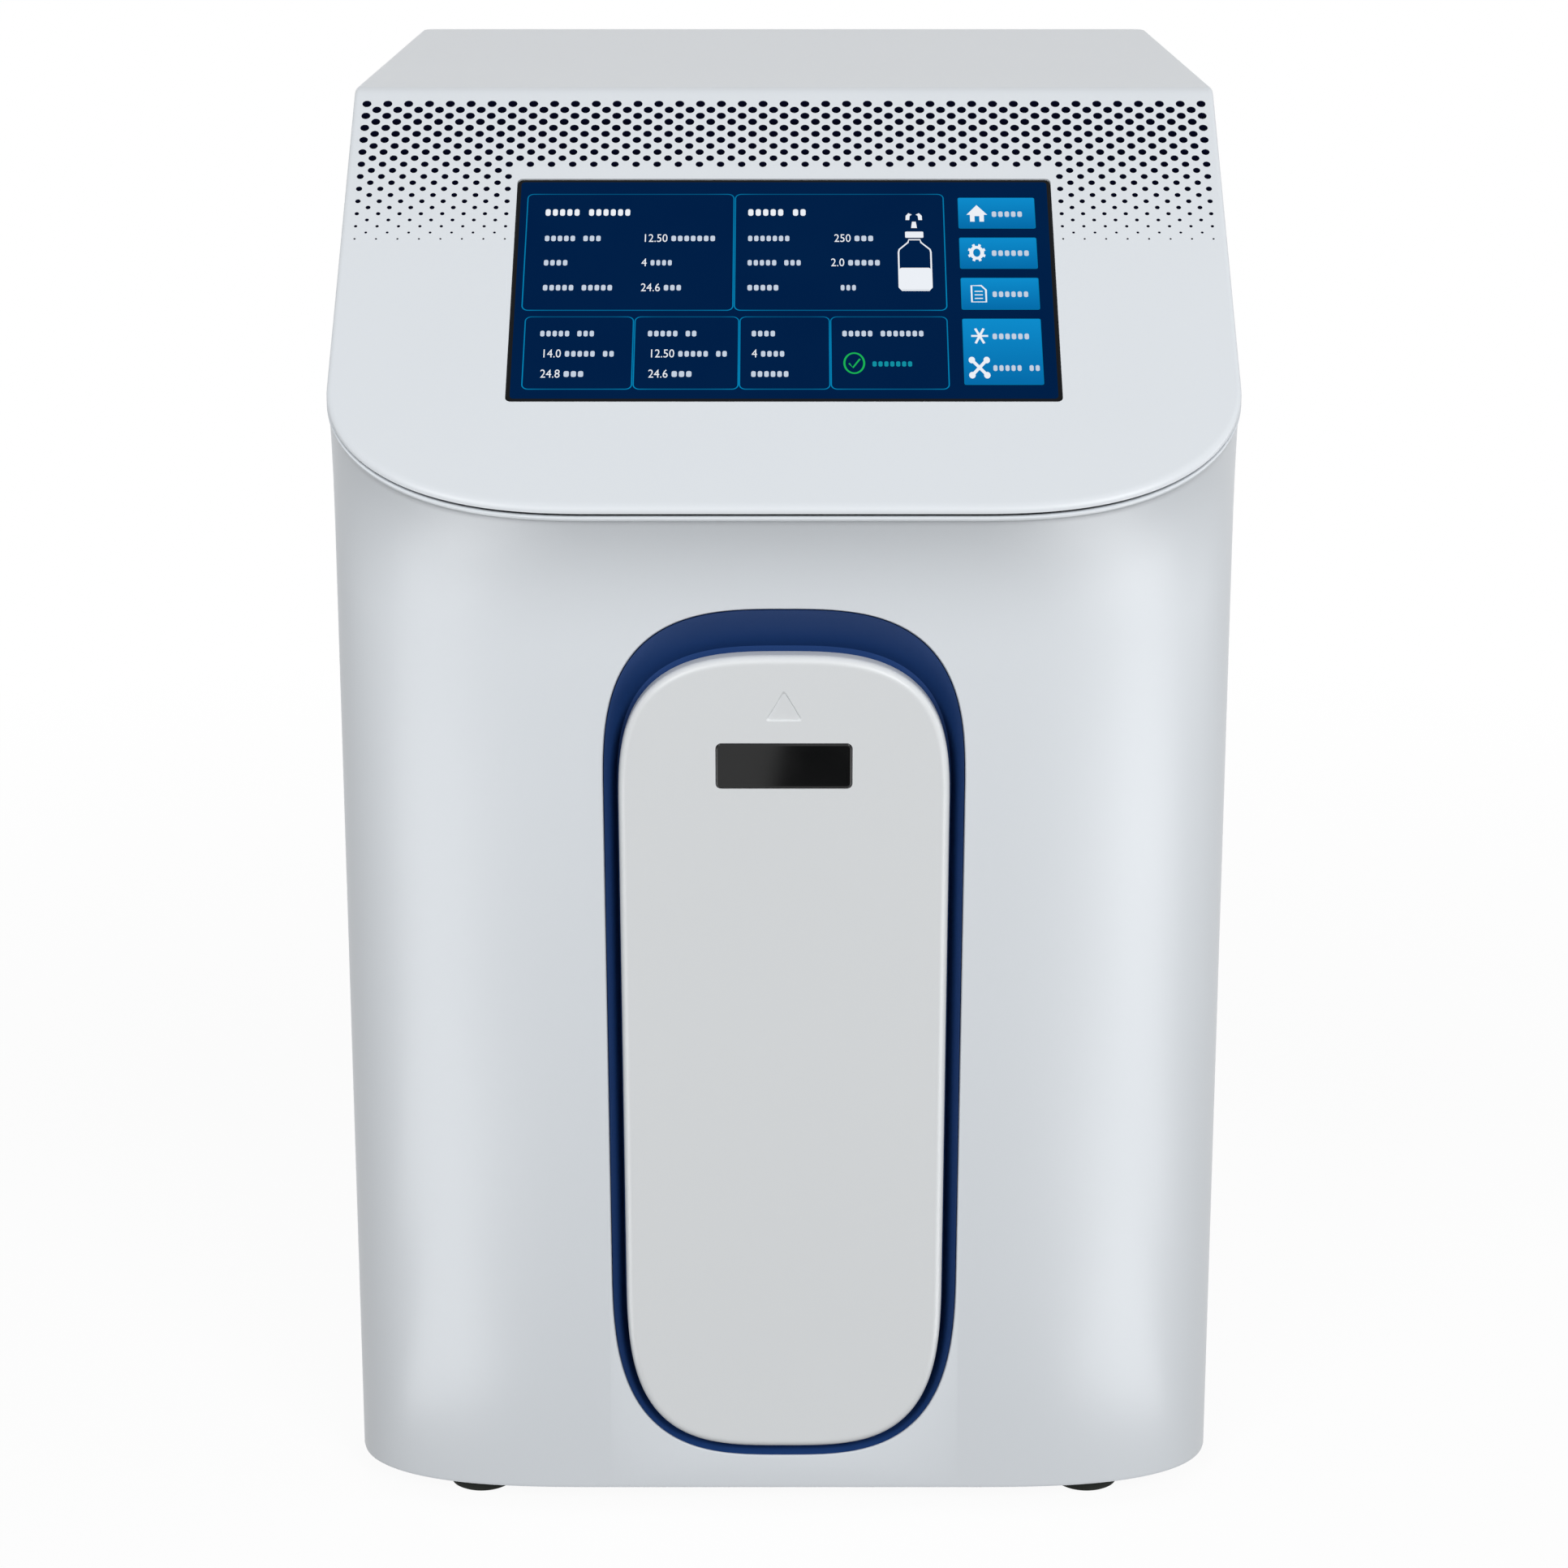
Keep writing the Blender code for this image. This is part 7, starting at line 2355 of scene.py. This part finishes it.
@dataclass
class Cartridges:
    """The bay, the head and the two purification cartridges."""

    spread: float = 0.0255
    y: float = -0.1692
    low: float = 0.068
    cap_top: float = 0.086
    top: float = 0.28202
    radius: float = 0.0225
    cap_radius: float = 0.0235
    neck_radius: float = 0.013
    neck_height: float = 0.023
    ribs: int = 36

    def cartridge(self, side: int, body: Body) -> None:
        """One cartridge: column, bands, ribbed cap and grip.

        Args:
            side: -1 for the left, 1 for the right.
            body: the body that it rides on.
        """
        place = (side * self.spread, self.y, 0.0)
        name = body.value
        r, top = self.radius, self.top
        column = [
            (0, self.cap_top), (r - 0.0006, self.cap_top), (r - 0.0002, self.cap_top + 0.0006),
            (r - 0.0002, top - 0.012), (r - 0.0008, top - 0.0095), (r - 0.003, top - 0.0055),
            (r - 0.006, top - 0.0030),
            (self.neck_radius + 0.001, top - 0.0015), (self.neck_radius, top), (0, top),
        ]
        parts = [clad("column", lathe(column, place, Axis.Z, 72), "resin_column", 40.0)]
        neck = [
            (0, top), (self.neck_radius, top), (self.neck_radius, top + 0.004),
            (self.neck_radius - 0.001, top + 0.005),
            (self.neck_radius - 0.001, top + 0.0075), (self.neck_radius, top + 0.0085),
            (self.neck_radius, top + self.neck_height - 0.001),
            (self.neck_radius - 0.001, top + self.neck_height),
            (0, top + self.neck_height),
        ]
        parts.append(clad("neck", lathe(neck, place, Axis.Z, 56), "cap_white", 40.0))
        band = [(r - 0.001, 0.1700), (r, 0.1704), (r, 0.1996), (r - 0.001, 0.2000), (r - 0.001, 0.1700)]
        parts.append(clad("band", lathe(band, place, Axis.Z, 72), "cap_white", 40.0))
        c = self.cap_radius - 0.0006
        cap = [
            (0, self.low), (c - 0.0025, self.low), (c - 0.0008, self.low + 0.0008), (c, self.low + 0.0025),
            (c, self.cap_top - 0.0035), (self.cap_radius, self.cap_top - 0.0030),
            (self.cap_radius, self.cap_top - 0.0008),
            (self.cap_radius - 0.0008, self.cap_top), (0, self.cap_top),
        ]
        parts.append(clad("cap", lathe(cap, place, Axis.Z, 72), "cap_blue", 40.0))
        rib = block(
            (c - 0.0006, -0.0007, self.low + 0.0028), (self.cap_radius, 0.0007, self.cap_top - 0.0032)
        )
        bmesh.ops.translate(rib, verts=rib.verts, vec=place)
        pattern = ring_pattern(f"{name}_ribs", self.ribs, "cap_blue", Axis.Z, place)
        parts.append(pattern.run(bevelled(new_object("ribs", rib), 0.0004, 2)))
        grip = block((place[0] - 0.016, self.y - 0.0025, 0.056), (place[0] + 0.016, self.y + 0.0025, 0.0772))
        parts.append(shade(bevelled(new_object("grip", grip), 0.0018, 5), 40.0))
        parts[-1].data.materials.append(finish("cap_blue"))
        dress(merge(f"{name}_assembly", parts), body, (), (name,))

    def build(self) -> None:
        """Build and dress the bay."""
        eased("bay_liner", "grey_plastic", 0.0006)
        eased("cartridge_head", "dark_plastic", 0.0008)
        self.cartridge(-1, Body.LEFT_CARTRIDGE)
        self.cartridge(1, Body.RIGHT_CARTRIDGE)


@dataclass
class WaterTrain:
    """What stands inside the cabinet, its edges eased."""

    def build(self) -> None:
        """Build and dress the inner parts."""
        for node, look, width in (
            ("pump_head", "grey_plastic", 0.0020), ("power_supply", "steel", 0.0008),
            ("solenoid_valve", "cap_blue", 0.0006), ("chassis_plate", "powder_coat", 0.0004),
            ("display_module", "dark_plastic", 0.0004), ("control_board", "board_green", 0.0002),
        ):
            eased(node, look, width)


@dataclass(frozen=True)
class Lamp:
    """One soft area lamp, turned to the middle of the cabinet."""

    name: str
    place: Point
    size: Flat
    power: float
    glossy: bool = True


LAMPS = (
    Lamp("left_softbox", (-2.8, -5.9, 3.74), (2.6, 2.6), 200.0),
    Lamp("right_softbox", (2.8, -5.9, 3.74), (2.6, 2.6), 235.0),
    Lamp("right_side_softbox", (2.4, -0.6, 0.7), (0.8, 1.6), 15.0),
    Lamp("left_side_softbox", (-2.4, -0.6, 0.7), (0.8, 1.6), 7.0),
    Lamp("rear_softbox", (0.0, 3.0, 0.7), (1.6, 1.6), 26.0, False),
)
GLEAM_STRIPS = ((0.04, 0.17, 0.09), (0.17, 0.55, 0.25), (0.56, 1.9, 0.62))
FLAG_CORNERS = ((-0.0095, -1.19, 0.003), (0.065, -1.19, 0.003), (0.065, -1.47, 0.003), (0.0068, -1.47, 0.003))
WHITE = (1.0, 1.0, 1.0, 1.0)


@dataclass
class Studio:
    """Floor, lamps, world and camera."""

    camera_place: Point = (0.0, -1.5474, 0.65965)
    camera_tilt: float = 74.4
    lens: float = 87.58
    sensor_width: float = 36.0
    middle: Point = (0.0, -0.10, 0.26)
    gleam: float = 3.6
    gleam_turn: float = math.radians(41.0)
    gleam_corner: Point = (0.131, -0.215, 0.004)
    flag_black: float = 0.02
    floor_half: float = 6.0
    floor_roughness: float = 0.8
    floor_grey: float = 0.16
    floor_grey_to_camera: float = 0.76
    shade_start: float = 0.4
    shade_end: float = 1.2
    shade_white: float = 0.94
    world_light: float = 0.18
    world_light_seen: float = 0.82

    def area_light(self, name: str, size: Flat, power: float) -> Any:
        """A rectangular area light, linked to the scene.

        Args:
            name: its name.
            size: its width and height.
            power: its power in watts.

        Returns:
            The light's object.
        """
        data = bpy.data.lights.new(name, "AREA")
        data.shape = "RECTANGLE"
        data.size, data.size_y = size
        data.energy = power
        made = bpy.data.objects.new(name, data)
        bpy.context.scene.collection.objects.link(made)
        return made

    def lamp(self, lamp: Lamp) -> None:
        """Set up one lamp.

        Args:
            lamp: its row in LAMPS.
        """
        made = self.area_light(lamp.name, lamp.size, lamp.power)
        made.location = lamp.place
        made.rotation_euler = (Vector(self.middle) - Vector(lamp.place)).to_track_quat("-Z", "Y").to_euler()
        made.visible_glossy = lamp.glossy

    def glow(self, side: int, start: float, end: float, width: float) -> None:
        """A lit strip on the floor beside the camera, seen only as the soft gleam on the rounded corners.

        Args:
            side: -1 for the left, 1 for the right.
            start: distance from the corner to the strip's near end.
            end: distance to its far end.
            width: the strip's width.
        """
        power = self.gleam * math.pi * width * (end - start)
        made = self.area_light("corner_gleam", (width, end - start), power)
        turn = side * self.gleam_turn
        reach = (start + end) / 2
        x, y, z = self.gleam_corner
        made.location = (side * x + math.sin(turn) * reach, y - math.cos(turn) * reach, z)
        made.rotation_euler = (math.pi, 0.0, turn)
        made.visible_diffuse = False
        made.visible_camera = False

    def board(self, name: str, corners: Sequence[Point]) -> Any:
        """A single flat face.

        Args:
            name: its name.
            corners: its corners, in order.

        Returns:
            The object.
        """
        shape = bmesh.new()
        shape.faces.new([shape.verts.new(corner) for corner in corners])
        return new_object(name, shape)

    def seen_mask(self, tree: Tree) -> tuple[Any, Any]:
        """What tells the camera's, mirrored and transmitted rays from the rest.

        Args:
            tree: the node tree to add to.

        Returns:
            The light path node, and a value that is 1 for those rays.
        """
        path = tree.add("ShaderNodeLightPath")
        mask = tree.math(
            "MAXIMUM", path.outputs["Is Camera Ray"],
            tree.math("MAXIMUM", path.outputs["Is Glossy Ray"], path.outputs["Is Transmission Ray"]),
        )
        return path, mask

    def flag(self) -> None:
        """A dark board on the floor, seen only as the darker right part of the window's reflection."""
        made = self.board("window_flag", FLAG_CORNERS)
        look, _, shader = plain_shader("flag_black")
        shader.inputs["Base Color"].default_value = (self.flag_black, self.flag_black, self.flag_black, 1.0)
        shader.inputs["Specular IOR Level"].default_value = 0.0
        made.data.materials.append(look)
        for ray in ("camera", "diffuse", "shadow", "transmission"):
            setattr(made, f"visible_{ray}", False)

    def floor(self) -> None:
        """A pale floor that stays white to the camera and keeps the shadow."""
        half = self.floor_half
        corners = ((-half, -half, 0.0), (half, -half, 0.0), (half, half, 0.0), (-half, half, 0.0))
        made = self.board("studio_floor", corners)
        look, tree, shader = plain_shader("studio_white")
        shader.inputs["Roughness"].default_value = self.floor_roughness
        shader.inputs["Specular IOR Level"].default_value = 0.0
        path, seen = self.seen_mask(tree)
        to_camera = tree.math("MULTIPLY", path.outputs["Is Camera Ray"], self.floor_grey_to_camera)
        tree.link(tree.math("ADD", to_camera, self.floor_grey), shader.inputs["Base Color"])
        glow = tree.add("ShaderNodeEmission", {"Color": WHITE, "Strength": 1.0})
        place = tree.place()
        away = tree.add("ShaderNodeVectorMath", {0: place}, operation="LENGTH").outputs["Value"]
        white = tree.add("ShaderNodeMapRange", {
            "Value": away, "From Min": self.shade_start, "From Max": self.shade_end,
            "To Min": self.shade_white, "To Max": 1.0,
        })
        mix = tree.add("ShaderNodeMixShader", {0: tree.math("MULTIPLY", seen, white.outputs["Result"])})
        tree.link(shader.outputs[0], mix.inputs[1])
        tree.link(glow.outputs[0], mix.inputs[2])
        tree.link(mix.outputs[0], look.node_tree.nodes["Material Output"].inputs["Surface"])
        made.data.materials.append(look)

    def world(self) -> None:
        """White to the camera and in reflections, a dim even light otherwise."""
        world = bpy.data.worlds.new("studio_world")
        bpy.context.scene.world = world
        world.use_nodes = True
        tree = Tree(world.node_tree)
        back = world.node_tree.nodes["Background"]
        _, seen = self.seen_mask(tree)
        strength = tree.math("ADD", tree.math("MULTIPLY", seen, self.world_light_seen), self.world_light)
        tree.link(strength, back.inputs["Strength"])
        back.inputs["Color"].default_value = WHITE

    def camera(self) -> None:
        """The camera that matches the photograph."""
        data = bpy.data.cameras.new("camera")
        data.lens = self.lens
        data.sensor_width = self.sensor_width
        camera = bpy.data.objects.new("camera", data)
        camera.location = self.camera_place
        camera.rotation_euler = (math.radians(self.camera_tilt), 0.0, 0.0)
        bpy.context.scene.collection.objects.link(camera)
        bpy.context.scene.camera = camera

    def build(self) -> None:
        """Set the studio up."""
        self.floor()
        self.flag()
        self.world()
        for lamp in LAMPS:
            self.lamp(lamp)
        for side in (-1, 1):
            for strip in GLEAM_STRIPS:
                self.glow(side, *strip)
        self.camera()
        bpy.context.scene.view_settings.view_transform = "Standard"


CAD_FINISHES = {
    "base_pan": "powder_coat", "display_module": "dark_plastic", "control_board": "board_green",
    "vent_filter": "filter_foam", "bay_liner": "grey_plastic", "cartridge_head": "dark_plastic",
    "chassis_plate": "powder_coat", "ro_cap_lower": "cap_blue", "ro_housing": "tube_white",
    "ro_cap_upper": "cap_blue", "uv_reactor": "steel_upright", "pump_motor": "dark_plastic",
    "pump_head": "grey_plastic", "power_supply": "steel", "tube_feed": "tube_white",
    "tube_permeate": "tube_white",
    "rear_panel": "powder_coat", "port_feed_water": "grey_plastic", "port_drain": "grey_plastic",
    "port_storage_tank": "grey_plastic", "port_product_water": "grey_plastic", "power_inlet": "dark_plastic",
    "switch_bezel": "dark_plastic", "switch_rocker": "bright_black", "fan_frame": "dark_plastic",
    "fan_rotor": "dark_plastic", "fan_guard": "steel", "solenoid_valve": "cap_blue",
    "panel_screw_lower_left": "nickel", "panel_screw_lower_right": "nickel",
    "panel_screw_upper_left": "nickel",
    "panel_screw_upper_right": "nickel", "cartridge_left": "resin_column", "cartridge_right": "resin_column",
}


def dress_cad_nodes() -> None:
    """Give every CAD node that stays its finish."""
    for name, look in CAD_FINISHES.items():
        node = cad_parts[name]
        if node.hide_render:
            continue
        node.data.materials.clear()
        node.data.materials.append(finish(look))
        log.info("%s: CAD node in %s", name, look)


def main() -> None:
    """Build the system, then its studio."""
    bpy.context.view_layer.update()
    assemblies = (
        Lid(), Case(), Surround(), Door(), Screen(), Feet(), Cartridges(), RearPanel(), Fan(), Ports(),
        PowerEntry(),
        WaterTrain(),
    )
    for assembly in assemblies:
        log.info("building %s", type(assembly).__name__)
        assembly.build()
    dress_cad_nodes()
    Studio().build()


if __name__ == "__main__":
    main()
